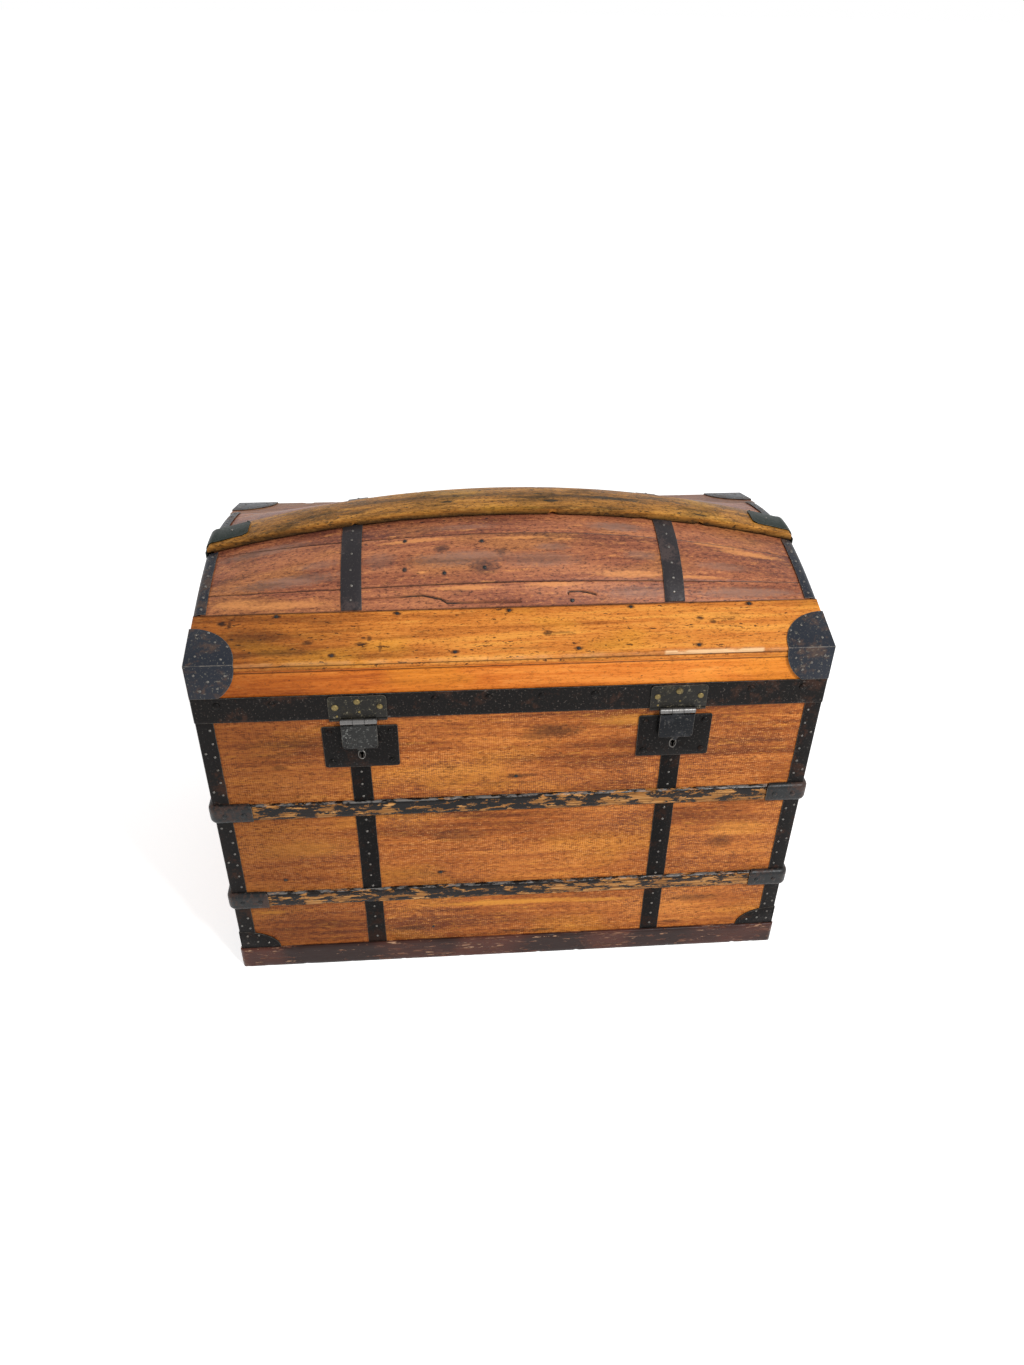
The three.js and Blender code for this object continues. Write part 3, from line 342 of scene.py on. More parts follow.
class Graph:
    """A material's node tree, with short calls for the nodes that finishes use."""

    def __init__(self, name: str) -> None:
        """Starts an empty material.

        Args:
            name: The material's name.
        """
        self.material = bpy.data.materials.new(name)
        self.material.use_nodes = True
        self.tree = self.material.node_tree
        self.tree.nodes.clear()
        self.place = self.node("ShaderNodeTexCoord").outputs["Object"]
        self.x, self.y, self.z = self.parts(self.place)

    def node(self, kind: str, **settings: object) -> bpy.types.Node:
        """A new node with its settings."""
        made = self.tree.nodes.new(kind)
        for key, value in settings.items():
            setattr(made, key, value)
        return made

    def feed(self, socket: Socket, value: object) -> None:
        """Links a socket to the socket given, or sets its value."""
        if isinstance(value, bpy.types.NodeSocket):
            self.tree.links.new(value, socket)
        elif socket.type == "RGBA":
            socket.default_value = (*value, 1.0)
        else:
            socket.default_value = value

    def parts(self, vector: Socket) -> tuple[Socket, Socket, Socket]:
        """The three coordinates of a vector."""
        split = self.node("ShaderNodeSeparateXYZ")
        self.feed(split.inputs[0], vector)
        return split.outputs[0], split.outputs[1], split.outputs[2]

    def sum_of(self, kind: str, first: Value, second: Value = 0.0, clamp: bool = False) -> Socket:
        """One step of arithmetic.

        Args:
            kind: The Math node's operation.
            first: Its first value.
            second: Its second value.
            clamp: Whether the result is kept from 0 to 1.

        Returns:
            The result.
        """
        made = self.node("ShaderNodeMath", operation=kind, use_clamp=clamp)
        self.feed(made.inputs[0], first)
        self.feed(made.inputs[1], second)
        return made.outputs[0]

    def plus(self, first: Value, second: Value, clamp: bool = False) -> Socket:
        """The sum of two values."""
        return self.sum_of("ADD", first, second, clamp)

    def less(self, first: Value, second: Value) -> Socket:
        """The first value less the second."""
        return self.sum_of("SUBTRACT", first, second)

    def times(self, first: Value, second: Value) -> Socket:
        """The product of two values."""
        return self.sum_of("MULTIPLY", first, second)

    def weighted(self, *parts: tuple[Value, float]) -> Socket:
        """The sum of values, each times its weight."""
        total, *others = [self.times(value, weight) for value, weight in parts]
        for other in others:
            total = self.plus(total, other)
        return total

    def attribute(self, name: str) -> Socket:
        """A number that the mesh carries."""
        made = self.node("ShaderNodeAttribute", attribute_name=name)
        return made.outputs["Fac"]

    def scaled(self, scale: Point, vector: Socket | None = None, shift: Point = (0, 0, 0)) -> Socket:
        """Coordinates stretched along each axis."""
        made = self.node("ShaderNodeMapping")
        self.feed(made.inputs["Vector"], vector or self.place)
        self.feed(made.inputs["Location"], shift)
        self.feed(made.inputs["Scale"], scale)
        return made.outputs[0]

    def moved(self, vector: Socket, by: Socket, share: float) -> Socket:
        """Coordinates pushed about by a colour or a number, to a share of it."""
        push = self.node("ShaderNodeVectorMath", operation="SCALE")
        self.feed(push.inputs[0], by)
        self.feed(push.inputs["Scale"], share)
        made = self.node("ShaderNodeVectorMath", operation="ADD")
        self.feed(made.inputs[0], vector)
        self.feed(made.inputs[1], push.outputs[0])
        return made.outputs[0]

    def noise(self, vector: Socket, detail: float = 3, roughness: float = 0.55, warp: float = 0) -> Socket:
        """Noise of scale 1 in the coordinates given."""
        made = self.node("ShaderNodeTexNoise")
        self.feed(made.inputs["Vector"], vector)
        self.feed(made.inputs["Scale"], 1.0)
        self.feed(made.inputs["Detail"], detail)
        self.feed(made.inputs["Roughness"], roughness)
        self.feed(made.inputs["Distortion"], warp)
        return made.outputs[0]

    def drift(self, vector: Socket) -> Socket:
        """Noise as a colour, for pushing coordinates about."""
        made = self.node("ShaderNodeTexNoise")
        self.feed(made.inputs["Vector"], vector)
        self.feed(made.inputs["Scale"], 1.0)
        self.feed(made.inputs["Detail"], 2.0)
        return made.outputs[1]

    def step(self, value: Value, low: float, high: float, start: float = 0.0, end: float = 1.0) -> Socket:
        """A smooth step from start at low to end at high."""
        made = self.node("ShaderNodeMapRange", interpolation_type="SMOOTHSTEP")
        entries = {"Value": value, "From Min": low, "From Max": high, "To Min": start, "To Max": end}
        for key, entry in entries.items():
            self.feed(made.inputs[key], entry)
        return made.outputs[0]

    def ramp(self, value: Value, stops: Sequence[tuple[float, Colour]]) -> Socket:
        """A colour that runs through stops of position and colour."""
        made = self.node("ShaderNodeValToRGB")
        self.feed(made.inputs[0], value)
        entries = made.color_ramp.elements
        while len(entries) < len(stops):
            entries.new(0.5)
        for entry, (position, colour) in zip(entries, stops):
            entry.position = position
            entry.color = (*colour, 1.0)
        return made.outputs[0]

    def mix(self, share: Value, first: object, second: object, blend: str = "MIX") -> Socket:
        """Two colours mixed by a share of the second.

        Args:
            share: Share of the second colour.
            first: First colour or socket.
            second: Second colour or socket.
            blend: How they are mixed.

        Returns:
            The mixed colour.
        """
        made = self.node("ShaderNodeMix", data_type="RGBA", blend_type=blend, clamp_factor=True)
        self.feed(made.inputs["Factor"], share)
        first_in, second_in = [s for s in made.inputs if s.type == "RGBA"]
        self.feed(first_in, first)
        self.feed(second_in, second)
        return [s for s in made.outputs if s.type == "RGBA"][0]

    def bump(self, height: Socket, depth: float, strength: float = 1.0,
             below: Socket | None = None) -> Socket:
        """A bumped normal; depth is in metres."""
        made = self.node("ShaderNodeBump")
        self.feed(made.inputs["Strength"], strength)
        self.feed(made.inputs["Distance"], depth)
        self.feed(made.inputs["Height"], height)
        if below is not None:
            self.feed(made.inputs["Normal"], below)
        return made.outputs[0]

    def close(self, **inputs: object) -> bpy.types.Material:
        """Ends the tree in a Principled shader.

        Args:
            inputs: The shader's inputs by name, with _ for a space.

        Returns:
            The material.
        """
        shader = self.node("ShaderNodeBsdfPrincipled")
        for key, value in inputs.items():
            self.feed(shader.inputs[key.replace("_", " ")], value)
        output = self.node("ShaderNodeOutputMaterial")
        self.tree.links.new(shader.outputs[0], output.inputs["Surface"])
        return self.material


def toned(colour: Colour, share: float) -> Colour:
    """A colour darkened or lightened to a share of itself."""
    return tuple(part * share for part in colour)


class Run(Enum):
    """The axis that grain runs along."""

    WIDTH = 0
    DEPTH = 1

    def stretch(self, along: float, across: float) -> Point:
        """Scales for a pattern with this many cells to the metre along the grain and across it."""
        return tuple(along if axis == self.value else across for axis in range(3))

    def pattern(self, g: Graph, cells: Pair, place: Socket, shift: Point = (0, 0, 0),
                **looks: float) -> Socket:
        """Noise that is drawn out along the grain.

        Args:
            g: The material's graph.
            cells: Its cells to the metre along the grain and across it.
            place: The coordinates to draw in.
            shift: How far it is moved, so that no two patterns match.
            looks: The noise's other settings.

        Returns:
            The noise.
        """
        return g.noise(g.scaled(self.stretch(*cells), place, shift), **looks)


class Plane(Enum):
    """The two coordinates that stains on a face are placed by."""

    UPRIGHT = "xz"
    LYING = "xy"


@dataclass(frozen=True)
class Stain:
    """A soft dark or light mark, in millimetres.

    Attributes:
        at: Its middle on the face.
        size: Its two half sizes.
        depth: How strongly it shows, from 0 to 1.
    """

    at: Pair
    size: Pair
    depth: float = 0.8


@dataclass(frozen=True)
class WoodFinish:
    """Old stained and varnished wood.

    Attributes:
        name: The material's name.
        deep: Colour of the darkest grain.
        middle: Colour between.
        light: Colour of the lightest grain.
        run: The way that the grain runs.
        grime: Colour of old dirt.
        grime_share: How much of the face has dirt in it.
        flecks: How many small dark nicks there are, from 0 to 1.
        weave: How strongly the print of a canvas cover shows.
        rub: Colour of the rubbed places.
        rub_share: How much of the face is rubbed.
        sheen: Roughness of the varnish.
        plane: The coordinates of the stains.
        stains: Dark marks.
        lights: Rubbed marks.
        veils: Dusty marks.
        veil: Colour of the dust.
        chipped: Colour of the chipped arris.
        dark_left: How much painted shade darkens the left end, from 0 to 1.
        grit: How strongly fine dark and pale grains show, from 0 to 1.
        shine: The shader's specular level.
        bare: Colour of the unfinished inner face.
    """

    name: str
    deep: Colour
    middle: Colour
    light: Colour
    run: Run = Run.WIDTH
    grime: Colour = (0.035, 0.014, 0.007)
    grime_share: float = 0.5
    flecks: float = 0.5
    weave: float = 0.0
    rub: Colour = (0.75, 0.33, 0.08)
    rub_share: float = 0.25
    sheen: float = 0.42
    plane: Plane = Plane.UPRIGHT
    stains: tuple[Stain, ...] = ()
    lights: tuple[Stain, ...] = ()
    veils: tuple[Stain, ...] = ()
    veil: Colour = (0.16, 0.085, 0.06)
    chipped: Colour = (0.8, 0.5, 0.26)
    dark_left: float = 0.0
    grit: float = 0.6
    shine: float = 0.12
    bare: Colour = (0.33, 0.19, 0.09)

    def marks(self, g: Graph, stains: Iterable[Stain]) -> Socket | float:
        """The mask of a set of placed marks.

        Args:
            g: The material's graph.
            stains: The marks.

        Returns:
            A mask from 0 to 1, or 0 where there are no marks.
        """
        second = g.z if self.plane is Plane.UPRIGHT else g.y
        ragged = g.noise(g.scaled((160, 260, 260)), detail=4, roughness=0.65)
        total: Socket | float = 0.0
        for stain in stains:
            across = g.times(g.less(g.x, stain.at[0] * MM), 1 / (stain.size[0] * MM))
            up = g.times(g.less(second, stain.at[1] * MM), 1 / (stain.size[1] * MM))
            far = g.plus(g.times(across, across), g.times(up, up))
            edge = g.plus(far, g.times(ragged, 1.6))
            mask = g.step(edge, 0.75, 1.75, stain.depth, 0.0)
            total = g.sum_of("MAXIMUM", mask, total)
        return total

    def build(self) -> bpy.types.Material:
        """The finished material."""
        g = Graph(self.name)
        tone = g.attribute("tone")
        shifted = g.moved(g.place, tone, 1.0)
        flow = g.moved(shifted, g.drift(g.scaled(self.run.stretch(2.2, 9.0), shifted)), 0.012)
        streak = self.run.pattern(g, (5, 120), flow, detail=4, roughness=0.6)
        fibre = self.run.pattern(g, (30, 900), flow, detail=2)
        figure = self.run.pattern(g, (1.6, 26), flow, detail=3, warp=1.2)
        cloud = self.run.pattern(g, (3.5, 8), shifted, detail=3)
        grain = g.weighted((streak, 0.42), (figure, 0.36), (fibre, 0.22))
        blend = g.weighted((grain, 0.7), (cloud, 0.3))
        colour = g.ramp(blend, ((0.41, self.deep), (0.5, self.middle), (0.59, self.light)))
        warmth = self.run.pattern(g, (6, 16), shifted, (3, 1, 2), detail=2)
        colour = g.mix(g.step(warmth, 0.52, 0.7, 0.0, 0.3), colour, (self.light[0], self.light[1] * 1.18,
                                                                     self.light[2] * 0.6))
        pores = g.step(self.run.pattern(g, (42, 640), flow, detail=2), 0.6, 0.75, 0.0, 0.35)
        colour = g.mix(pores, colour, self.deep, "MULTIPLY")
        rub = g.step(self.run.pattern(g, (16, 90), flow, (7, 3, 5), detail=5, roughness=0.7),
                     0.62 - 0.12 * self.rub_share, 0.74, 0.0, min(1.0, self.rub_share * 2))
        colour = g.mix(rub, colour, self.rub)
        height = g.weighted((fibre, 0.5), (streak, 0.5))
        if self.weave:
            colour, height = self.printed(g, colour, height, shifted)
        grit = self.run.pattern(g, (150, 400), shifted, (6, 2, 3), detail=4, roughness=0.75)
        colour = g.mix(g.step(grit, 0.47, 0.38, 0.0, self.grit), colour, toned(self.deep, 0.4))
        colour = g.mix(g.step(grit, 0.55, 0.64, 0.0, self.grit * 0.45), colour, self.rub)
        dirt = self.run.pattern(g, (9, 17), shifted, (1, 5, 9), detail=6, roughness=0.68)
        dirt = g.step(dirt, 0.66 - 0.2 * self.grime_share, 0.8 - 0.1 * self.grime_share, 0.0,
                      0.35 + 0.4 * self.grime_share)
        colour = g.mix(dirt, colour, self.grime)
        fleck = self.run.pattern(g, (85, 210), shifted, (4, 4, 8), detail=3, roughness=0.6)
        fleck = g.step(fleck, 0.735 - 0.075 * self.flecks, 0.775 - 0.075 * self.flecks, 0.0, 0.85)
        colour = g.mix(fleck, colour, self.grime)
        if self.veils:
            veil = g.mix(g.step(streak, 0.4, 0.6), self.veil, toned(self.veil, 1.7))
            colour = g.mix(self.marks(g, self.veils), colour, veil)
        if self.lights:
            colour = g.mix(self.marks(g, self.lights), colour, self.rub)
        if self.stains:
            marks = self.marks(g, self.stains)
            colour = g.mix(marks, colour, (self.grime[0] * 0.8, self.grime[1] * 0.8, self.grime[2]))
        # Painted shade: the left end is multiplied darker, standing in for light that falls off towards the
        # left.
        if self.dark_left:
            shade = g.step(g.x, *LEFT_SHADE_SPAN, self.dark_left, 0.0)
            colour = g.mix(shade, colour, LEFT_SHADE, "MULTIPLY")
        chipped = g.times(g.attribute("arris"), g.step(streak, 0.36, 0.56, 0.35, 1.0))
        colour = g.mix(chipped, colour, self.chipped)
        # Dark cracks and seams, together with painted shade in grooves and under overhangs, from the mark
        # that each board carries.
        colour = g.mix(g.attribute("crack_and_shade"), colour, CRACK_AND_SHADE_DARK)
        inside = g.attribute("inside")
        worn = g.mix(cloud, toned(self.bare, 0.72), toned(self.bare, 1.3))
        worn = g.mix(pores, worn, toned(self.bare, 0.4))
        worn = g.mix(g.times(dirt, 0.5), worn, self.grime)
        colour = g.mix(inside, colour, worn)
        gloss = g.plus(g.times(streak, 0.2), self.sheen - 0.1)
        gloss = g.plus(gloss, g.times(dirt, 0.3))
        gloss = g.plus(gloss, g.times(inside, 0.3), clamp=True)
        dents = g.noise(g.scaled((38, 38, 38), shifted), detail=3)
        relief = g.bump(dents, 0.0012, 0.6)
        relief = g.bump(height, 0.0006, 1.0, relief)
        relief = g.bump(g.less(1.0, fleck), 0.0004, 0.6, relief)
        return g.close(Base_Color=colour, Roughness=gloss, Normal=relief, Specular_IOR_Level=self.shine)

    def printed(self, g: Graph, colour: Socket, height: Socket, place: Socket) -> tuple[Socket, Socket]:
        """Adds the print that a canvas cover left in the old glue.

        Args:
            g: The material's graph.
            colour: Colour so far.
            height: Relief so far.
            place: The coordinates to draw in.

        Returns:
            The new colour and relief.
        """
        pitch = WEAVE_PITCH * MM
        bent = g.moved(place, g.drift(g.scaled((30, 30, 30), place)), 0.005)
        x, y, z = g.parts(bent)
        along = g.plus(x, y)
        warp = g.sum_of("SINE", g.times(along, math.tau / pitch))
        weft = g.sum_of("SINE", g.times(z, math.tau / pitch))
        dash = g.noise(g.scaled((150, 150, 400), bent), detail=4, roughness=0.75)
        row = g.noise(g.scaled((60, 60, 700), bent, (3, 5, 2)), detail=2)
        threads = g.weighted((warp, 0.045), (weft, 0.055), (dash, 0.72), (row, 0.28))
        where = g.step(g.noise(g.scaled((7, 7, 14), place, (2, 8, 1)), detail=4), 0.38, 0.6, 0.3, 1.0)
        dark = g.times(g.step(threads, 0.49, 0.42), where)
        pale = g.times(g.step(threads, 0.56, 0.63), where)
        zone = g.step(g.noise(g.scaled((5, 5, 13), place, (6, 1, 4)), detail=3), 0.44, 0.6)
        red = g.mix(zone, (0.3, 0.075, 0.016), (0.17, 0.055, 0.03))
        colour = g.mix(g.times(dark, 0.9 * self.weave), colour, red)
        colour = g.mix(g.times(pale, 0.6 * self.weave), colour, (0.8, 0.36, 0.13))
        raised = g.times(g.times(threads, where), 1.4 * self.weave)
        return colour, g.plus(g.times(height, 0.6), raised)


@dataclass(frozen=True)
class PaintedWoodFinish:
    """Black or brown paint worn through to the wood.

    Attributes:
        name: The material's name.
        paint: Colour of the paint.
        other_paint: Its second tone.
        wood: Colour of the bare wood.
        pale_wood: Colour of the most rubbed wood.
        wear: How much of the paint is gone, from 0 to 1.
        run: The way that the piece runs.
        sheen: Roughness of the paint.
        arris: How much sooner the paint wears along the upper arris.
        painted_highlight: How strongly a pale painted highlight along the upper arris shows, from 0 to 1.
    """

    name: str
    paint: Colour
    other_paint: Colour
    wood: Colour
    pale_wood: Colour
    wear: float = 0.5
    run: Run = Run.WIDTH
    sheen: float = 0.2
    arris: float = -0.05
    painted_highlight: float = 0.0

    def build(self) -> bpy.types.Material:
        """The finished material."""
        g = Graph(self.name)
        tone = g.attribute("tone")
        place = g.moved(g.place, tone, 1.0)
        zone = self.run.pattern(g, (7, 7), place, detail=2)
        flake = self.run.pattern(g, (38, 130), place, (4, 1, 6), detail=6, roughness=0.7)
        flake = g.weighted((flake, 0.75), (zone, 0.25))
        arris = g.attribute("arris")
        flake = g.plus(flake, g.times(arris, self.arris))
        edge = 0.62 - 0.2 * self.wear
        worn = g.step(flake, edge, edge + 0.025)
        streak = self.run.pattern(g, (14, 380), place, detail=3)
        wood = g.ramp(streak, ((0.35, toned(self.wood, 0.45)), (0.52, self.wood),
                               (0.68, self.pale_wood)))
        dust = self.run.pattern(g, (60, 160), place, (9, 2, 3), detail=5, roughness=0.7)
        wood = g.mix(g.step(dust, 0.55, 0.7, 0.0, 0.7), wood, self.paint)
        paint = g.mix(g.step(zone, 0.42, 0.6), self.paint, self.other_paint)
        paint = g.mix(g.step(dust, 0.64, 0.78, 0.0, 0.4), paint, (0.16, 0.12, 0.09))
        colour = g.mix(worn, paint, wood)
        rim = g.step(g.sum_of("ABSOLUTE", g.less(flake, edge + 0.012)), 0.0, 0.016, 0.7, 0.0)
        colour = g.mix(g.times(rim, 0.6), colour, toned(self.wood, 0.35))
        # Painted highlight: a pale grey line along the slat's upper arris, where light glints on the rounded
        # edge.
        line = g.step(g.sum_of("ABSOLUTE", g.less(arris, 0.95)), 0.03, 0.16, self.painted_highlight, 0.0)
        colour = g.mix(g.times(line, g.step(dust, 0.46, 0.55)), colour, (0.4, 0.38, 0.36))
        gloss = g.plus(g.times(dust, 0.35), self.sheen - 0.12, clamp=True)
        gloss = g.plus(gloss, g.times(worn, 0.12))
        relief = g.bump(dust, 0.0006, 0.7)
        relief = g.bump(g.less(1.0, worn), 0.0003, 0.9, relief)
        relief = g.bump(streak, 0.0003, 0.5, relief)
        return g.close(Base_Color=colour, Roughness=gloss, Normal=relief, Specular_IOR_Level=0.2)


@dataclass(frozen=True)
class IronFinish:
    """Old japanned or blackened sheet iron.

    Attributes:
        name: The material's name.
        black: Its main colour.
        brown: Colour of its rusty or browned places.
        dust: Colour of dust, rubbed places and specks.
        brown_share: How much is browned, from 0 to 1.
        dust_share: How much is dusty or rubbed, from 0 to 1.
        edge: Colour of worn edges.
        edge_share: How strongly worn edges show.
        metal: Share of bare metal in the sheen.
        sheen: Roughness.
        speck: Cells to the metre of the specks.
        shine: The shader's specular level.
        spark: How strongly small bright specks show, from 0 to 1.
    """

    name: str
    black: Colour = (0.0045, 0.0038, 0.0036)
    brown: Colour = (0.032, 0.014, 0.0085)
    dust: Colour = (0.11, 0.10, 0.09)
    brown_share: float = 0.45
    dust_share: float = 0.3
    edge: Colour = (0.17, 0.15, 0.13)
    edge_share: float = 0.55
    metal: float = 0.15
    sheen: float = 0.4
    speck: float = 220
    shine: float = 0.12
    spark: float = 0.35

    def build(self) -> bpy.types.Material:
        """The finished material."""
        g = Graph(self.name)
        place = g.moved(g.place, g.attribute("tone"), 1.0)
        zone = g.noise(g.scaled((22, 22, 22), place), detail=4, roughness=0.6)
        pit = g.noise(g.scaled((self.speck, self.speck, self.speck), place), detail=5, roughness=0.65)
        fine = g.noise(g.scaled((900, 900, 900), place), detail=2)
        brown = g.step(g.weighted((zone, 0.65), (pit, 0.35)),
                       0.62 - 0.22 * self.brown_share, 0.7 - 0.18 * self.brown_share)
        colour = g.mix(brown, self.black, self.brown)
        dust = g.noise(g.scaled((self.speck * 0.55, self.speck * 0.55, self.speck * 0.55), place, (3, 7, 1)),
                       detail=6, roughness=0.72)
        rubbed = g.step(dust, 0.7 - 0.2 * self.dust_share, 0.78 - 0.14 * self.dust_share, 0.0, 0.85)
        colour = g.mix(rubbed, colour, self.dust)
        colour = g.mix(g.step(fine, 0.55, 0.75, 0.0, 0.35), colour, self.brown)
        grain = g.noise(g.scaled((330, 330, 330), place, (5, 1, 8)), detail=3, roughness=0.7)
        colour = g.mix(g.step(grain, 0.6, 0.66, 0.0, self.spark), colour, self.dust)
        colour = g.mix(g.step(grain, 0.42, 0.36, 0.0, self.spark), colour, self.black)
        edge = g.times(g.attribute("edge"), g.step(pit, 0.38, 0.6, 0.25, self.edge_share))
        colour = g.mix(edge, colour, self.edge)
        gloss = g.plus(g.times(pit, 0.4), self.sheen - 0.2)
        gloss = g.plus(gloss, g.times(brown, 0.12), clamp=True)
        relief = g.bump(zone, 0.0015, 0.35)
        relief = g.bump(pit, 0.0005, 0.55, relief)
        relief = g.bump(rubbed, 0.0002, 0.5, relief)
        return g.close(Base_Color=colour, Roughness=gloss, Normal=relief, Metallic=self.metal,
                       Specular_IOR_Level=self.shine)


FRONT_STAINS = (
    Stain((3, 360), (16, 6), 0.75),
    Stain((16, 361), (26, 4), 0.5),
    Stain((54, 436), (52, 15), 0.72),
    Stain((30, 428), (34, 9), 0.5),
    Stain((-105, 182), (7, 5), 0.95),
    Stain((-330, 180), (6, 4.5), 0.95),
    Stain((-314, 390), (15, 6), 0.5),
    Stain((-76, 252), (52, 16), 0.42),
    Stain((-154, 65), (30, 6), 0.6),
    Stain((4, 48), (30, 4), 0.7),
    Stain((46, 47), (24, 4), 0.7),
    Stain((306, 220), (26, 17), 0.5),
    Stain((282, 103), (52, 9), 0.5),
    Stain((249, 52), (22, 4), 0.6),
    Stain((330, 300), (70, 14), 0.3),
    Stain((-270, 428), (60, 20), 0.3),
)

FRONT_LIGHTS = (
    Stain((-356, 113), (26, 5), 0.75),
    Stain((0, 112), (150, 7), 0.75),
    Stain((130, 108), (70, 5), 0.6),
    Stain((165, 450), (80, 12), 0.45),
    Stain((-230, 452), (60, 9), 0.3),
    Stain((-300, 240), (80, 22), 0.35),
    Stain((330, 245), (60, 20), 0.3),
)

# The two rows of nails in a shoulder board: distance from the ridge line, and each nail's X.
SHOULDER_NAILS = ((157, (-304, -149, -3, 158, 317)), (225, (-230, -76, 81, 236)))

SHOULDER_STAINS = (
    *(Stain((x, -157), (7.5, 4.5), 0.95) for x in SHOULDER_NAILS[0][1]),
    *(Stain((x, -225), (7.5, 5), 0.95) for x in SHOULDER_NAILS[1][1]),
    Stain((44, -198), (8, 6), 0.95),
    Stain((60, -198), (26, 3), 0.5),
    Stain((-372, -167), (9, 6), 0.95),
    Stain((-362, -170), (4, 9), 0.8),
    Stain((-261, -203), (10, 5), 0.8),
    Stain((-194, -207), (13, 4), 0.75),
    Stain((-184, -198), (4, 7), 0.7),
    Stain((-170, -214), (3, 10), 0.6),
    Stain((246, -180), (8, 4), 0.85),
    Stain((262, -187), (6, 4), 0.8),
    Stain((-330, -190), (52, 20), 0.4),
    Stain((-290, -219), (60, 8), 0.45),
    Stain((-240, -170), (30, 6), 0.35),
    Stain((-345, -222), (40, 6), 0.5),
    Stain((10, -222), (60, 3), 0.3),
)

STAVE_STAINS = (
    *(Stain((x, y), (5, 4), 0.95) for x, y in ((-137, -74), (-35, -82), (-138, -114), (-86, -120))),
    *(Stain((x, -40), (3, 2.5), 0.85) for x in (-159, -114, -84, -62, -26)),
    Stain((-89, -90), (14, 7), 0.75),
    Stain((-33, -116), (28, 9), 0.7),
    Stain((81, -148), (5, 2), 0.9),
    Stain((-10, -98), (10, 6), 0.6),
)

STAVE_VEILS = (
    Stain((-60, -104), (90, 12), 0.75),
    Stain((39, -108), (70, 12), 0.6),
    Stain((150, -54), (52, 12), 0.85),
    Stain((178, -100), (30, 9), 0.6),
    Stain((60, -92), (34, 7), 0.6),
    Stain((-330, -52), (80, 12), 0.75),
    Stain((-290, -114), (90, 11), 0.8),
    Stain((-250, -96), (40, 8), 0.5),
    Stain((320, -142), (90, 9), 0.8),
    Stain((290, -108), (50, 9), 0.6),
    Stain((-170, -100), (30, 14), 0.5),
    Stain((170, -142), (60, 7), 0.55),
    Stain((-60, -56), (60, 7), 0.5),
)

STAVE_LIGHTS = (
    Stain((334, -80), (60, 7), 0.6),
    Stain((290, -72), (50, 5), 0.5),
    Stain((-120, -75), (70, 4), 0.6),
    Stain((20, -78), (60, 3), 0.5),
    Stain((-60, -135), (60, 3), 0.6),
    Stain((160, -124), (60, 5), 0.5),
    Stain((247, -125), (60, 3), 0.45),
    Stain((-358, -138), (40, 8), 0.5),
    Stain((-300, -143), (80, 6), 0.45),
    Stain((59, -134), (50, 3), 0.5),
)

RIDGE_STAINS = (
    Stain((65, -18), (16, 5), 0.95),
    Stain((273, -23), (14, 3), 0.9),
    Stain((-79, -14), (13, 4), 0.9),
    Stain((-205, -18), (20, 5), 0.7),
    Stain((-30, 3), (130, 7), 0.6),
    Stain((120, -3), (90, 7), 0.65),
    Stain((-150, 4), (80, 7), 0.55),
    Stain((40, -9), (60, 4), 0.6),
)


